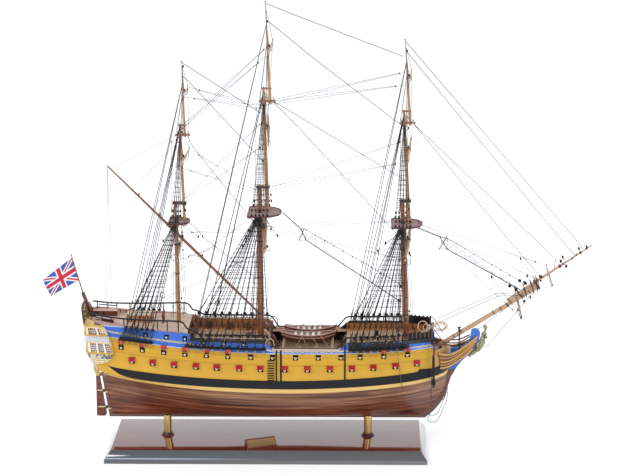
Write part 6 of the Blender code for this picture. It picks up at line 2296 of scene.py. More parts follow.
stay_line = rope_finish("stay_line", (0.06, 0.06, 0.07), (0.19, 0.19, 0.21))
for name in ("main_stay", "fore_stay"):
    repaint(name, stay_line)
stay_lines = [
    centre((60.5, 392.2), (66.2, 393.1), (230.3, 295.1), (232.8, 290.0)),
    centre((298.3, 378.5), (310.3, 376.6), (435.2, 301.4), (441.0, 296.0)),
    centre((-131.0, 402.0), (-121.6, 396.0), (-108.4, 379.0), (-46.6, 328.0), (-12.0, 302.0)),
]
snakes, knots = [], []
for low_a, low_b, high_a, high_b, count in (
    ((69.0, 372.8), (228.7, 265.7), (66.2, 393.1), (230.3, 295.1), 10),
    ((310.5, 357.4), (418.8, 295.7), (310.3, 376.6), (435.2, 301.4), 7),
):
    snake = []
    for k in range(count + 1):
        x = low_a[0] + (low_b[0] - low_a[0]) * k / count
        for first, last in ((high_a, high_b), (low_a, low_b)):
            point = centre((x, first[1] + (last[1] - first[1]) * (x - first[0]) / (last[0] - first[0])))[0]
            snake.append(point)
            knots.append([point - Vector((0.8, 0, -0.5)), point + Vector((0.8, 0, -0.5))])
    snakes.append(snake)
tarred_lines("snaking_lines", snakes, 0.6, finish=stay_line)
tarred_lines("snaking_knots", knots, 0.95)
ribbon(
    "lower_stays",
    stay_lines + [centre((57.3, 372.6), (69.0, 372.8)), centre((297.1, 357.3), (310.5, 357.4))], 0.55,
    stay_line,
)
spreaders = [swept_bar("spreader", centre(*ends), 1.8, 1.8) for ends in (
    ((66.3, 393.6), (56.8, 371.5)), ((310.2, 379.2), (296.5, 356.3)),
)]
dress(soften(join_all(spreaders, "stay_spreaders"), 0.3), slat_wood)
tarred_lines("upper_stays", [
    centre((240.0, 590.0), (415.6, 374.1), (464.0, 316.6), (461.0, 300.0)),
    centre((240.0, 587.0), (461.2, 374.2), (496.4, 339.3), (494.0, 321.0)),
    centre((238.4, 700.0), (504.7, 374.3), (529.0, 347.0)),
    centre((237.5, 716.0), (530.0, 374.3), (543.0, 357.0)),
    centre((1.0, 628.0), (15.4, 612.8), (59.9, 566.6), (204.5, 405.6), (230.0, 377.0)),
    centre((2.0, 622.0), (60.0, 586.9), (240.5, 476.5)),
    centre((4.0, 753.0), (94.2, 678.7), (218.3, 583.2), (234.0, 571.5)),
    centre((3.6, 780.0), (61.1, 757.0), (234.0, 690.4)),
    centre((-142.0, 572.0), (-131.9, 556.0), (-122.2, 535.4), (-28.3, 414.4), (-14.0, 397.0)),
    centre((-137.4, 657.0), (-127.1, 647.7), (-3.3, 510.7)),
    centre((-138.0, 680.0), (-5.9, 593.4)),
], 0.52)
for x, z in (
    (232.0, 376.0), (240.0, 476.0), (-12.0, 398.0), (-3.5, 511.0), (232.0, 572.0), (-108.4, 379.0),
    (230.3, 292.0),
):
    add_block((x, 0.0, z), 1.2)
hearts = [(418.7, 292.0), (435.7, 301.5), (429.6, 285.8), (445.6, 296.7), (228.7, 265.7), (232.0, 291.0)]
hearts = [Matrix.Translation(Vector((x, 0, z)) * mm) for x, z in hearts]
dress(smooth_copies(deadeye(), hearts, "stay_hearts"), black)
collars = []
for share, radius in ((0.72, 4.6), (0.78, 4.5), (0.84, 4.4), (0.90, 4.3), (0.55, 4.5), (0.62, 4.5)):
    middle = sprit_heel.lerp(sprit_end, share)
    up = Vector((-sprit_axis.z, 0, sprit_axis.x))
    collars.append([
        middle + up * radius * math.cos(turn) + Vector((0, radius * math.sin(turn), 0))
        for turn in (k / 12 * 2 * math.pi for k in range(13))
    ])
tarred_lines("stay_collars", collars, 0.6)
wraps = []
for (x0, z0), (x1, z1) in (
    ((426.6, 290.2), (441.3, 271.0)), ((442.0, 294.0), (448.1, 273.5)), ((453.2, 301.0), (460.7, 280.0)),
    ((464.4, 306.0), (466.7, 284.0)),
):
    wraps.append([(x0, -4.6, z0), (x1, -4.6, z1), (x1, 4.6, z1), (x0, 4.6, z0), (x0, -4.6, z0)])
tarred_lines("boom_lashings", wraps, 0.95)
dress(soften(swept_bar("boom_chock", centre((424.0, 268.4), (466.5, 296.2)), 4.2, 5.0), 0.6), pale_spar)
boom_bands = [ring_band("band", boom_heel, boom_tip, share, radius, tall) for share, radius, tall in (
    (0.02, 3.1, 1.6), (0.2, 3.0, 1.6), (0.62, 3.3, 4.5), (0.66, 2.8, 1.4), (0.765, 2.4, 1.6),
    (0.86, 2.6, 4.0), (0.93, 2.0, 3.5),
)]
boom_bands += [ring_band("band", sprit_heel, sprit_end, share, 4.2, 1.4) for share in (0.16, 0.68)]
dress(join_all(boom_bands, "boom_bands"), dark_bands)
pendants = []
for x, z in (
    (436.3, 341.3), (448.1, 310.5), (443.2, 299.7), (453.9, 273.3), (443.8, 265.7), (416.1, 258.2),
    (433.8, 250.6), (387.5, 308.7), (469.7, 310.6), (472.7, 309.3), (505.1, 337.0), (514.5, 328.2),
    (508.0, 344.7), (535.3, 359.4), (548.5, 362.7), (439.2, 236.6),
):
    add_block((x, -3.0, z), 1.5)
    reach = (Vector((x, 0, z)) - boom_heel).dot(boom_axis)
    pendants.append([(x, -3.0, z), boom_heel + boom_axis * reach])
for x, z in (
    (-136.5, 437.9), (-136.7, 427.2), (-159.4, 426.3), (-141.9, 381.5), (-175.3, 373.3), (10.0, 454.2),
    (10.7, 443.5), (-18.0, 442.6), (9.6, 394.3), (-34.4, 379.0), (-39.0, 363.7), (2.5, 363.7), (20.6, 382.7),
    (-114.8, 380.6), (-28.2, 391.6), (244.0, 448.0), (245.0, 430.0), (228.0, 414.0), (246.0, 375.0),
    (205.0, 370.0), (192.0, 356.0), (246.0, 352.0), (229.0, 558.0), (243.0, 570.0),
):
    add_block((x, -9.0, z), 1.45)
    hold = min(
        (
            (-150.0, 404.0), (-145.0, 440.0), (0.0, 412.0), (2.0, 458.0), (236.0, 392.0), (238.0, 445.0),
            (238.0, 562.0),
        ),
        key=lambda spot: abs(spot[0] - x) + abs(spot[1] - z),
    )
    pendants.append([(x, -9.0, z), (hold[0], -2.5, hold[1])])
ribbon("block_pendants", pendants, 0.4, running)
tarred_lines("bobstays", [
    [(362.0, 0, 178.0), (382.0, 0, 184.9), (428.7, 0, 242.5), (463.0, 0, 286.0)],
    [(354.0, 0, 205.0), (420.0, 0, 258.0)],
    [(296.9, -14, 230.7), (398.9, -9, 276.8), (440.0, -3.6, 276.0)],
    [(296.9, 14, 230.7), (398.9, 9, 276.8), (440.0, 3.6, 276.0)],
], 0.45)


# Each yard hangs by a halyard from its mast. Lifts run up from the yardarms and
# braces lead aft or forward through blocks; a footrope sags below the timber.
rig = {
    "main_yard": ((-8.0, 466.0), (-236.0, 40.0, 247.0)),
    "main_topsail_yard": ((0.0, 632.0), (-153.0, 3.0, 432.0)),
    "main_topgallant_yard": ((4.4, 768.0), (-144.0, 1.5, 566.0)),
    "fore_yard": ((234.5, 442.0), (-4.0, 5.0, 398.0)),
    "fore_topsail_yard": ((237.0, 594.0), (-5.0, 3.0, 462.0)),
    "fore_topgallant_yard": ((238.4, 706.0), (-1.0, 2.0, 610.0)),
    "crossjack_yard": ((-152.0, 437.0), (-14.0, 6.0, 388.0)),
    "mizzen_topsail_yard": ((-142.5, 570.0), (-10.0, 3.0, 458.0)),
    "mizzen_topgallant_yard": ((-138.0, 674.0), (-2.0, 2.0, 604.0)),
    "spritsail_yard": ((468.0, 300.0), (300.0, 20.0, 371.0)),
    "sprit_topsail_yard": ((532.0, 350.0), (262.0, 10.0, 402.0)),
}
lifts, braces, footropes, halyards = [], [], [], []
for name, (hang, lead) in rig.items():
    starboard, port, middle, radius = yard_ends[name]
    crown = Vector((hang[0], 0, hang[1]))
    for end, side in ((starboard, -1), (port, 1)):
        arm = middle.lerp(end, 0.94)
        lifts.append([arm + Vector((0, 0, radius * 0.5)), crown + Vector((0, side * 2.0, 0))])
        add_block(arm + Vector((0, 0, radius * 0.5 + 1.6)), 0.7)
        add_block(crown + Vector((0, side * 3.4, -2.0)), 0.7)
        target = Vector((lead[0], side * lead[1], lead[2]))
        way = (target - arm).normalized()
        pendant = arm + way * 20.0
        braces.append([arm, pendant])
        add_block(pendant + way * 1.6, 0.95)
        braces.append([pendant + way * 2.4 + Vector((0, 0, 0.5)), target + Vector((0, 0, 3.0))])
        braces.append([pendant + way * 2.4 - Vector((0, 0, 0.5)), target - Vector((0, 0, 3.0))])
        add_block(target + Vector((0, 0, 3.4)), 0.8)
        sag = radius + 7.0
        rope = [
            middle.lerp(end, t) - Vector((0, 0, radius + sag * math.sin(math.pi * (1 - t)) ** 0.7))
            for t in np.linspace(0.06, 0.93, 12)
        ]
        footropes.append(rope)
        for k in (2, 5, 8):
            spot = middle.lerp(end, float(np.linspace(0.06, 0.93, 12)[k]))
            footropes.append([spot - Vector((0, 0, radius * 0.6)), rope[k]])
    if "sprit" not in name:
        for y in (-1.3, 1.3):
            halyards.append(
                [middle + Vector((-radius, y, radius)), Vector((crown.x, y, min(crown.z, middle.z + 46.0)))]
            )
        add_block(middle + Vector((-radius * 0.5, 0, radius + 2.0)), 1.2)
        add_block(Vector((crown.x + 2, 0, min(crown.z, middle.z + 45.0))), 1.1)
ribbon("lifts", lifts, 0.32, running, sides=0)
ribbon("braces", braces, 0.3, running, sides=0)
tarred_lines("footropes", footropes, 0.22, sides=0)
ribbon("halyards", halyards, 0.42, running)


# Falls come down beside each mast to the pins at its foot. Sheets join the arms of
# each yard to the one below; vangs and tackles hold the long lateen yard.
falls, sheets = [], []
for mast, m in masts.items():
    deck = {"mizzen": 238.0, "main": 212.0, "fore": 211.0}[mast]
    r = m["radius"]
    foot_x = lean_x(m["foot"], m["head"], deck)
    for k, (dx, side, height) in enumerate((
        (-9, -1, m["top_z"] - 14), (-6, 1, m["top_z"] - 10), (8, -1, m["top_z"] - 16),
        (11, 1, m["top_z"] - 8),
        (-12, -1, m["cross_z"] - 12), (13, 1, m["cross_z"] - 10), (4, -1, m["top_z"] - 40),
        (-3, 1, m["top_z"] - 36),
    )):
        high_x = lean_x(m["foot"], m["head"], min(height, m["head"][1]))
        falls.append([
            Vector((foot_x + dx, side * (r + 4.0 + k), deck)),
            Vector((high_x + dx * 0.3, side * (r * 0.8 + 1.4), height)),
        ])
        add_block((high_x + dx * 0.3, side * (r * 0.8 + 1.8), height), 1.0)
        if k in (0, 2, 5, 6):
            t = 0.12 + 0.05 * k
            add_block(falls[-1][0].lerp(falls[-1][1], t), 1.05)
for high_yard, low_yard in (
    ("main_topsail_yard", "main_yard"), ("main_topgallant_yard", "main_topsail_yard"),
    ("fore_topsail_yard", "fore_yard"), ("fore_topgallant_yard", "fore_topsail_yard"),
    ("mizzen_topsail_yard", "crossjack_yard"), ("mizzen_topgallant_yard", "mizzen_topsail_yard"),
):
    for k in (0, 1):
        high = yard_ends[high_yard][2].lerp(yard_ends[high_yard][k], 0.9)
        low = yard_ends[low_yard][2].lerp(yard_ends[low_yard][k], 0.93)
        sheets.append([high, low])
        add_block(high - Vector((0, 0, 4.0)), 0.75)
        sheets.append(
            [high, yard_ends[high_yard][2].lerp(yard_ends[high_yard][k], 0.12) + Vector((0, 0, -2))]
        )
peak = Vector((-269.0, 6.1, 500.5))
for side in (-1, 1):
    sheets.append([peak, Vector((-273.0, side * 38.0, 244.0))])
    sheets.append([Vector((-18.0, 6.1, 246.0)), Vector((-34.0, side * 52.0, 219.0))])
for share, height in ((0.02, 560.0), (0.16, 548.0), (0.30, 520.0)):
    sheets.append([peak.lerp(lateen_low, share), Vector((-143.0, 2.5, height))])
for share in (0.2, 0.34, 0.62, 0.75):
    at = peak.lerp(lateen_low, share)
    add_block(at + Vector((1.5, 0, 3.0)), 1.1)
    sheets.append([at, Vector((-146.0, 4.0, 386.0 - 60 * share))])
ribbon("falls", falls, 0.4, running, sides=0)
ribbon("sheets", sheets, 0.3, running, sides=0)
block_shape = ball("block", 1.0, 8, 6)
edit(block_shape)
pick_all()
stretch_by(1.45, 1.0, 2.0)
done()
dress(smooth_copies(block_shape, block_places, "rigging_blocks"), black)


# The decks are laid with narrow planks, pale on the poop and brown elsewhere, with
# darker caulking between them. The gun carriages are stained dark, and the open ends
# of the raised decks are painted dark as shade at the breaks of the decks.
def deck_planks(name, base, aft_rise, fore_rise, end_x):
    """The planking of one deck; end_x is the open end of a raised deck, or None."""
    finish = Finish(name, roughness=0.5)
    x, y, z = finish.axis("X"), finish.axis("Y"), finish.axis("Z")
    aft, fore = from_waist(x)
    above = z - (base + aft_rise * 1e-4 * aft * aft + fore_rise * 1e-4 * fore * fore)
    lane = (y / 4.2).math("FLOOR")
    row_tone = (lane * 12.9898).math("SINE").math("ABSOLUTE")
    seam = 1.0 - rise(((y / 4.2).math("FRACT") - 0.5).math("ABSOLUTE"), 0.38, 0.46)
    butt = 1.0 - rise((((x / 62.0 + row_tone * 3.7).math("FRACT")) - 0.5).math("ABSOLUTE"), 0.485, 0.494)
    grain = finish.noise((22, 420, 420), detail=4.0)
    tone = clamp01(grain * 0.7 + row_tone * 0.45 - 0.1)
    pale = end_x is not None and end_x < 0
    tones = ((0.60, 0.42, 0.32), (0.84, 0.65, 0.53)) if pale else ((0.40, 0.245, 0.14), (0.68, 0.47, 0.30))
    wood = tone.mix(*tones)
    wood = (seam * butt).mix((0.32, 0.20, 0.14) if pale else (0.10, 0.06, 0.04), wood)
    # Dark stain for the gun carriages, also used as painted shade at the open ends of the raised decks.
    dark = grain.mix((0.045, 0.018, 0.012), (0.13, 0.050, 0.026))
    if end_x is not None and end_x > 0:
        margin = rise(y.math("ABSOLUTE") + (x - 225.0).math("MAXIMUM", 0.0) * 0.45, 49.0, 50.0)
        wood = margin.mix(wood, grain.mix((0.34, 0.12, 0.030), (0.66, 0.31, 0.095)))
    wood = rise(above, 0.45, 0.7).mix(wood, dark)
    # Painted shade: the open end of a raised deck is painted dark.
    if end_x is not None:
        wood = rise((x - end_x).math("ABSOLUTE"), 0.6, 0.4).mix(wood, dark)
    finish.set("Base Color", wood)
    finish.bump(grain * 0.3 + seam * butt * 0.6, 0.3, 0.0003)
    return finish.material


for name, sheer, end_x in (
    ("gun_deck", gun_deck_sheer, None), ("quarterdeck", upper_deck_sheer, waist_aft),
    ("forecastle", upper_deck_sheer, waist_fore), ("poop_deck", (250.0, 0.0, 0.0), poop_front),
    ("waist_beams", (230.0, 0.0, 0.0), None),
):
    repaint(name, deck_planks(name + "_planks", *sheer, end_x))


def deck_level(x):
    """The height of the open deck at a station."""
    if x < poop_front:
        return 224.6 + 0.045 * (poop_front - x)
    if x < waist_aft or x > waist_fore:
        return port_line(x, *upper_deck_sheer)
    return port_line(x, *gun_deck_sheer)


# Inside, the bulwarks are lined with panels: peach on the poop, orange brown on the
# quarterdeck and forecastle, black in the waist. Dark posts part the panels.
def lining_paint():
    finish = Finish("bulwark_lining", roughness=0.5, coat=0.1)
    x = finish.axis("X")
    grain = finish.noise((40, 200, 200), detail=4.0)
    orange = grain.mix((0.34, 0.12, 0.030), (0.66, 0.31, 0.095))
    peach = grain.mix((0.72, 0.48, 0.37), (0.90, 0.70, 0.58))
    blackish = grain.mix((0.010, 0.009, 0.010), (0.035, 0.028, 0.026))
    colour = rise(x, -130.5, -130.0).mix(peach, orange)
    colour = (rise(x, 7.8, 8.2) * (1.0 - rise(x, 137.8, 138.2))).mix(colour, blackish)
    finish.set("Base Color", colour)
    finish.bump(grain, 0.15, 0.0002)
    return finish.material


lining_finish = lining_paint()
post_wood = stained("post_wood", (0.055, 0.020, 0.014), (0.14, 0.055, 0.032))
for name, side in both_sides:
    def lining_rows(x):
        low, high = deck_level(x) + 0.2, side_top(x) - 0.3
        return (lambda share: low + (high - low) * share), 4

    lining = skin("bulwark_lining_" + name, side, lining_rows, proud=-3.5)
    edit(lining)
    pick(
        lining, lambda face: face.calc_center_median().x > 283 * mm or face.calc_center_median().x < -290 * mm
    )
    bpy.ops.mesh.delete(type="FACE")
    done()
    thicken(lining, 0.5, 0.0)
    dress(lining, lining_finish)
    spots = []
    for k in range(62):
        x = -286.0 + 9.3 * k
        if x > 280 or not side_top(x) - deck_level(x) > 4:
            continue
        low, high = deck_level(x) + 0.2, side_top(x) - 0.2
        y = side_point(x, (low + high) / 2, 1).y - 4.3
        spots.append(
            Matrix.Translation(Vector((x, side * y, (low + high) / 2)) * mm)
            @ Matrix.Diagonal((1.0, 1.0, (high - low) / 10, 1))
        )
    post = soften(new_cube("post", (-0.8, -0.7, -5.0), (0.8, 0.7, 5.0)), 0.2, 1)
    dress(copies(post, spots, "bulwark_posts_" + name), post_wood)


# A skylight stands on the poop: orange panelled sides under a low roof of cream slats.
# Low dark red lockers and the foot of the ensign staff stand at the after end.
panel_orange = stained("panel_orange", (0.42, 0.17, 0.05), (0.72, 0.38, 0.15))
slat_cream = stained("slat_cream", (0.62, 0.48, 0.30), (0.90, 0.80, 0.60))
dark_red = stained("dark_red", (0.075, 0.016, 0.012), (0.20, 0.055, 0.035))
body_parts = [new_cube("side", (-241.0, -11.6, 228.0), (-197.4, 11.6, 241.0))]
roof, studs = [], []
for k in range(12):
    x = -240.4 + 3.65 * k
    for side in (-1, 1):
        slat = new_cube("slat", (x, min(0, side * 12.6), 240.9), (x + 2.7, max(0, side * 12.6), 242.1))
        edit(slat)
        pick(slat, lambda vertex: abs(vertex.co.y) < 0.001, "verts")
        shift(0, 0, 3.4)
        done()
        roof.append(slat)
for k in range(7):
    x = -241.4 + 7.2 * k
    for side in (-1, 1):
        studs.append(new_cube("stud", (x, side * 12.1 - 0.6, 228.0), (x + 1.5, side * 12.1 + 0.6, 241.0)))
dress(soften(join_all(body_parts, "skylight_body"), 0.3), panel_orange)
dress(soften(join_all(roof, "skylight_roof"), 0.25, 1), slat_cream)
dress(soften(join_all(studs, "skylight_studs"), 0.2, 1), dark_red)
lockers = [swept_bar("staff_step", [(-317.5, 0, 279.0), (-305.0, 0, 244.0)], 6.0, 5.5)]
for side in (-1, 1):
    for x0, x1 in ((-303.0, -286.0), (-283.0, -262.0)):
        lockers.append(new_cube("locker", (x0, side * 26 - 7, 231.5), (x1, side * 26 + 7, 240.0)))
    lockers.append(new_cube("bitt", (-180.0, side * 9 - 1.6, 226.5), (-177.0, side * 9 + 1.6, 246.0)))
lockers.append(new_cube("bitt_beam", (-181.0, -14, 238.0), (-176.4, 14, 241.5)))
dress(soften(join_all(lockers, "poop_lockers"), 0.7, 3), dark_red)
white_strips = [
    new_cube("strip", (-304.0, side * 26 - 7.4, 240.0), (-261.0, side * 26 + 7.4, 241.2)) for side in (-1, 1)
]
dress(soften(join_all(white_strips, "locker_tops"), 0.3), pale_plank)


# Gratings cover the hatches: two sets of battens cross in a low coaming. Ladders lead
# down to the waist, a capstan stands abaft the main mast, and the black galley
# funnel rises through the forecastle.
def boxes(name, corners):
    """Many plain battens at once: each is given by its two corners."""
    places = [
        Matrix.Translation((Vector(low) + Vector(high)) / 2 * mm) @ Matrix.Diagonal(
            (*(Vector(high) - Vector(low)), 1.0)
        )
        for low, high in corners
    ]
    return copies(new_cube("batten", (-0.5, -0.5, -0.5), (0.5, 0.5, 0.5)), places, name)


gratings = []
for x0, x1, half in (
    (-112.0, -78.0, 9.0), (-66.0, -44.0, 9.0), (22.0, 42.0, 11.0), (158.0, 182.0, 9.0), (196.0, 222.0, 9.0),
):
    z = deck_level((x0 + x1) / 2) - 0.2
    for y0, y1 in ((-half - 1.6, -half), (half, half + 1.6)):
        gratings.append(((x0 - 1.6, y0, z), (x1 + 1.6, y1, z + 2.6)))
    for a, b in ((x0 - 1.6, x0), (x1, x1 + 1.6)):
        gratings.append(((a, -half, z), (b, half, z + 2.6)))
    for k in range(int((x1 - x0) / 2.6)):
        x = x0 + 0.9 + 2.6 * k
        gratings.append(((x, -half, z + 0.9), (x + 1.1, half, z + 2.2)))
    for k in range(int(half / 1.3)):
        y = -half + 0.9 + 2.6 * k
        gratings.append(((x0, y, z + 0.7), (x1, y + 1.1, z + 1.9)))
dress(boxes("hatch_gratings", gratings), slat_wood)
treads = []
for x_top, x_foot, high, low in (
    (9.5, 19.0, 194.5, 174.5), (137.0, 128.0, 194.5, 174.5), (-131.0, -121.0, 223.5, 199.0),
):
    for side in (-1, 1):
        y = side * 30.0
        for dy in (-5.2, 5.2):
            treads.append(swept_bar("string", [(x_top, y + dy, high), (x_foot, y + dy, low)], 0.9, 2.4))
        for k in range(6):
            t = (k + 0.5) / 6
            x, z = x_top + (x_foot - x_top) * t, high + (low - high) * t
            treads.append(new_cube("tread", (x - 1.7, y - 5.0, z - 0.4), (x + 1.7, y + 5.0, z + 0.4)))
dress(join_all(treads, "deck_ladders"), slat_wood)
capstan = turned_piece("capstan", [
    (0, 0), (6.5, 0), (6.5, 1.2), (3.4, 2.4), (3.0, 6.5), (4.4, 9.0), (5.6, 9.6), (5.6, 12.0), (4.8, 12.8),
    (0, 12.8),
], (-32.0, 0, deck_level(-32.0)), 24)
dress(capstan, slat_wood)
funnel = turned_piece(
    "galley_funnel", [(0, 0), (3.4, 0), (3.4, 13.0), (3.9, 13.4), (3.9, 15.0), (0, 15.0)],
    (190.0, 0, deck_level(190.0)), 20,
)
dress(funnel, black)


# Bitts with crossbeams stand before and behind the masts. At the break of the
# quarterdeck a belfry arches over its bell, with a bent pale post on each side.
frames_wood = []
for x, wide, tall in (
    (-24.0, 11.0, 17.0), (2.0, 12.0, 19.0), (226.0, 11.0, 17.0), (256.0, 10.0, 17.0), (274.0, 16.0, 20.0),
):
    z = deck_level(x) - 0.3
    for side in (-1, 1):
        frames_wood.append(
            new_cube("bitt", (x - 1.7, side * wide - 1.7, z), (x + 1.7, side * wide + 1.7, z + tall))
        )
    frames_wood.append(new_cube(
        "beam", (x - 2.3, -wide - 5, z + tall * 0.55), (x - 0.9 + 3.0, wide + 5, z + tall * 0.55 + 3.0)
    ))
for side in (-1, 1):
    frames_wood.append(
        new_cube("belfry_post", (7.0, side * 7.5 - 1.0, 198.0), (9.4, side * 7.5 + 1.0, 221.0))
    )
arch_run = [
    Vector((8.2, 8.4 * math.cos(math.pi * k / 16), 220.0 + 8.5 * math.sin(math.pi * k / 16)))
    for k in range(17)
]
frames_wood.append(swept_bar("belfry_arch", arch_run, 6.5, 2.0))
dress(soften(join_all(frames_wood, "bitts_and_belfry"), 0.4, 2), dark_red)
bell = turned_piece(
    "bell", [(0, 6.2), (1.4, 6.0), (1.9, 4.8), (2.2, 2.2), (3.1, 0.4), (3.0, 0), (0, 0)], (8.2, 0, 217.5), 20
)
dress(bell, brass)
for name, side in both_sides:
    bent = smooth_path(
        [
            (-1.0, side * 22, 199.5), (3.5, side * 22, 202.5), (4.5, side * 22, 211.5),
            (-3.0, side * 22, 219.5),
        ],
        14,
    )
    dress(soften(swept_bar("bent_post_" + name, bent, 2.6, 3.0), 0.6, 2), pale_plank)


# Black barricades close the fore end of the forecastle. Timberheads and rows of pins
# rise along the rails, and a line of gilt dots runs along the side under them.
boards, heads, dots = [], [], []
for side in (-1, 1):
    path = [rail_place(x, 217.0, side) + Vector((0, -side * 0.6, 0)) for x in (244, 252, 260, 268, 276, 283)]
    boards.append(swept_bar("barricade", path, 1.6, 14.0))
    for x in (244, 251, 258, 265, 272, 279, 284.5):
        p = rail_place(x, 210.0, side)
        heads.append(((x - 1.3, p.y - 1.3, 209.5), (x + 1.3, p.y + 1.3, 225.5)))
    for x in range(-128, 0, 9):
        p = rail_place(x, 219.0, side)
        heads.append(((x - 0.6, p.y - 0.6, 216.0), (x + 0.6, p.y + 0.6, 226.0)))
    for x in range(146, 240, 8):
        p = rail_place(x, 219.0, side)
        heads.append(((x - 0.6, p.y - 0.6, 214.0), (x + 0.6, p.y + 0.6, 225.0)))
    for x in (148.0, 160.0, 172.0, 184.0, 196.0, 208.0, 220.0, 232.0):
        dots.append(on_side(x, side_top(x) - 1.6, side) @ Matrix.Scale(0.9, 4))
boards.append(new_cube("beakhead_board", (283.6, -36.0, 190.0), (285.0, 36.0, 219.0)))
dress(soften(join_all(boards, "forecastle_barricade"), 0.3), black)
dress(soften(boxes("timberheads_and_pins", heads), 0.2, 1), post_wood)
dress(copies(lump("dot", (0, 0.4, 0), (1.1, 0.7, 1.1), 0, 10, 6), dots, "gilt_dots"), gilding)


# Catheads reach out over the bows. An iron anchor with a red-brown stock hangs upright
# from each, lashed by a ring, and a heavy tackle leads inboard.
for name, side in both_sides:
    run = [
        Vector((x, side * y, z))
        for x, y, z in (
            (276.0, 35.5, 199.0), (283.0, 36.5, 200.6), (287.5, 41.5, 202.0), (289.0, 62.0, 207.5),
        )
    ]
    dress(soften(swept_bar("cathead_" + name, run, 4.2, 4.2), 0.5, 2), post_wood)
    y = side * 58.0
    stock = new_cube("anchor_stock_" + name, (286.1, y - 2.2, 180.8), (289.9, y + 2.2, 203.4))
    edit(stock)
    pick_all()
    bpy.ops.mesh.subdivide(number_cuts=2)
    for sign in (-1, 1):
        pick(stock, lambda vertex: (vertex.co.z / mm - 192.0) * sign > 10, "verts")
        stretch_by(0.66, 0.66, 1)
    done()
    dress(soften(stock, 0.3, 2), dark_red, replaced=["anchor_" + name])
    iron = [pole("shank", Vector((288.0, y, 203.0)), Vector((288.0, y, 127.4)), [(0.0, 1.3), (1.0, 2.0)], 12)]
    for reach in (-1, 1):
        arm_run = smooth_path(
            [(288.0, y, 128.6), (288.0, y + reach * 4.6, 131.0), (288.0, y + reach * 9.2, 139.6)], 8
        )
        iron.append(swept_bar("arm", arm_run, 2.4, 2.2))
        palm = new_cube("palm", (-3.0, -0.5, -3.4), (3.0, 0.5, 3.4))
        place = Matrix.Translation(Vector((288.0, y + reach * 7.2, 136.6)) * mm)
        palm.data.transform(place @ Matrix.Rotation(-reach * math.radians(28), 4, "X"))
        iron.append(palm)
    iron_piece = join_all(iron, "anchor_iron_" + name)
    dress(soften(iron_piece, 0.3, 2), black)
    ring_run = [
        (288.0 + 2.6 * math.cos(turn), y, 205.0 + 2.6 * math.sin(turn))
        for turn in (k / 8 * math.pi for k in range(17))
    ]
    tarred_lines("anchor_tackle_" + name, [
        ring_run,
        [(288.6, side * 61, 206.0), (288.2, y, 205.0)],
        [(287.4, side * 60, 206.0), (287.8, y, 205.0)],
        [
            (286.0, side * 60.2, 186.0), (285.0, side * 59.0, 150.0), (283.4, side * 52.0, 118.7),
            (284.0, side * 47.0, 100.6),
        ],
        [(289.0, side * 40, 224.0), (306.0, side * 32, 199.0)],
        [(282.0, side * 44, 226.0), (289.0, side * 40, 224.0)],
    ], 0.7)


# The boats are held down by lines from the sides. Hemp line hangs in coils over the
# pins along the rails, lies on the decks, and loops over the bows.
lash = []
for side in (-1, 1):
    for x, dx in ((52.0, 20.0), (72.0, -18.0), (92.0, -26.0), (108.0, -24.0)):
        lash.append([
            (x, side * 53.0, 197.0), (x + dx * 0.6, side * 33.4, 213.8),
            (x + dx * 0.85, side * 20.0, 214.4), (x + dx, side * 6.4, 211.0),
        ])
ribbon("boat_lashings", lash, 0.4, hemp)


def hanging_coil(at, wide, tall, turns=4):
    """Loops of spare line hung on a pin, each a little different."""
    run = []
    at = Vector(at)
    for k in range(turns * 14):
        a = k / 14 * 2 * math.pi
        w, h = wide / 2 * random.uniform(0.86, 1.1), tall / 2 * random.uniform(0.9, 1.08)
        run.append(at + Vector((w * math.sin(a), random.uniform(-0.7, 0.7), -tall / 2 + h * math.cos(a))))
    return run


def flat_coil(at, radius):
    """Four turns of line lying flat on the deck."""
    run = []
    for k in range(64):
        a = k / 16 * 2 * math.pi
        r = radius * (0.35 + 0.65 * k / 64)
        run.append(Vector(at) + Vector((r * math.cos(a), r * math.sin(a), random.uniform(0.4, 1.0))))
    return run


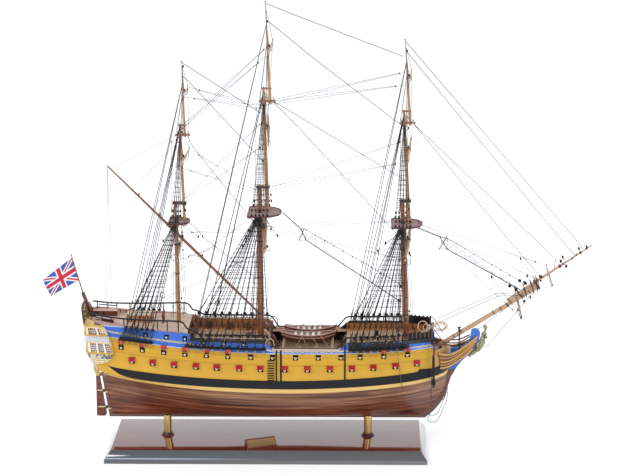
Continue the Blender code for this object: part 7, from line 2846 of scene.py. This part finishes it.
coils = []
for side in (-1, 1):
    for x, z, wide, tall in (
        (-104.4, 222.0, 6.0, 15.0), (-71.5, 221.5, 5.5, 15.0), (-55.0, 216.0, 8.5, 12.0),
        (-37.0, 217.0, 6.0, 12.0), (8.8, 217.0, 15.0, 20.0), (155.0, 229.0, 8.0, 18.0),
        (228.0, 227.0, 9.0, 17.0), (-86.0, 221.0, 5.0, 10.0), (176.0, 221.0, 6.0, 11.0),
        (192.0, 221.0, 5.0, 10.0), (210.0, 221.5, 6.0, 11.0), (-190.0, 242.0, 5.0, 9.0),
    ):
        y = rail_place(x, min(z, 220.0), 1).y + 2.2
        coils.append(hanging_coil((x, side * y, z), wide, tall))
    coils.append(flat_coil((236.0, side * 22.0, deck_level(236.0)), 6.5))
    coils.append(flat_coil((-60.0, side * 28.0, deck_level(-60.0)), 6.0))
    coils.append(flat_coil((150.0, side * 24.0, deck_level(150.0)), 5.5))
    coils.append(flat_coil((30.0, side * 30.0, deck_level(30.0)), 5.0))
coils.append(hanging_coil((269.0, -48.0, 243.0), 17.0, 19.0, 8))
coils.append(hanging_coil((275.0, -47.0, 238.0), 11.0, 14.0, 4))
for x, y, z, wide, tall in (
    (-157.5, -9.0, 349.0, 10.0, 11.0), (4.5, -8.0, 364.0, 5.0, 9.0), (244.5, -8.0, 340.0, 5.0, 9.0),
    (-141.0, -6.0, 492.0, 4.0, 9.0), (8.0, -6.0, 547.0, 4.0, 10.0), (243.0, -6.0, 520.0, 4.0, 10.0),
    (240.0, -9.0, 240.0, 8.0, 14.0), (-150.0, -9.0, 262.0, 7.0, 14.0), (-90.0, 74.0, 244.0, 9.0, 9.0),
    (-186.0, 62.0, 262.0, 9.0, 10.0),
):
    coils.append(hanging_coil((x, y, z), wide, tall, 3))
coils.append(hanging_coil((170.0, 20.0, 262.0), 13.0, 15.0, 1))
tangle = []
for k in range(60):
    a = k / 60 * 9.5 * math.pi
    tangle.append((
        299.0 + (10.5 + 2.5 * math.sin(a * 0.37)) * math.sin(a + 0.5 * math.sin(a * 0.61)),
        -43.0 + 2.5 * math.sin(a * 0.43), 232.0 + (6.5 + 2.0 * math.cos(a * 0.29)) * math.cos(a),
    ))
coils.append(smooth_path([(264.0, -50.0, 220.0), (275.0, -49.0, 228.0)] + tangle, 220))
ribbon("rope_coils", coils, 0.55, hemp)
for name, side in both_sides:
    ribbon("hanging_lines_" + name, [
        smooth_path([(x, side * (17.0 + 0.02 * (120 - z)), z) for x, z in (
            (313.0, 120.0), (312.4, 94.4), (306.5, 78.0), (295.4, 54.2), (279.8, 54.1), (284.9, 70.6),
            (294.0, 86.0), (307.0, 95.0), (311.5, 119.0),
        )], 50),
        smooth_path(
            [
                (223.9, side * 77, 205.0), (228.3, side * 78, 172.7), (231.0, side * 76, 149.6),
                (234.7, side * 75.5, 124.6),
            ],
            16,
        ),
    ], 0.5, running)
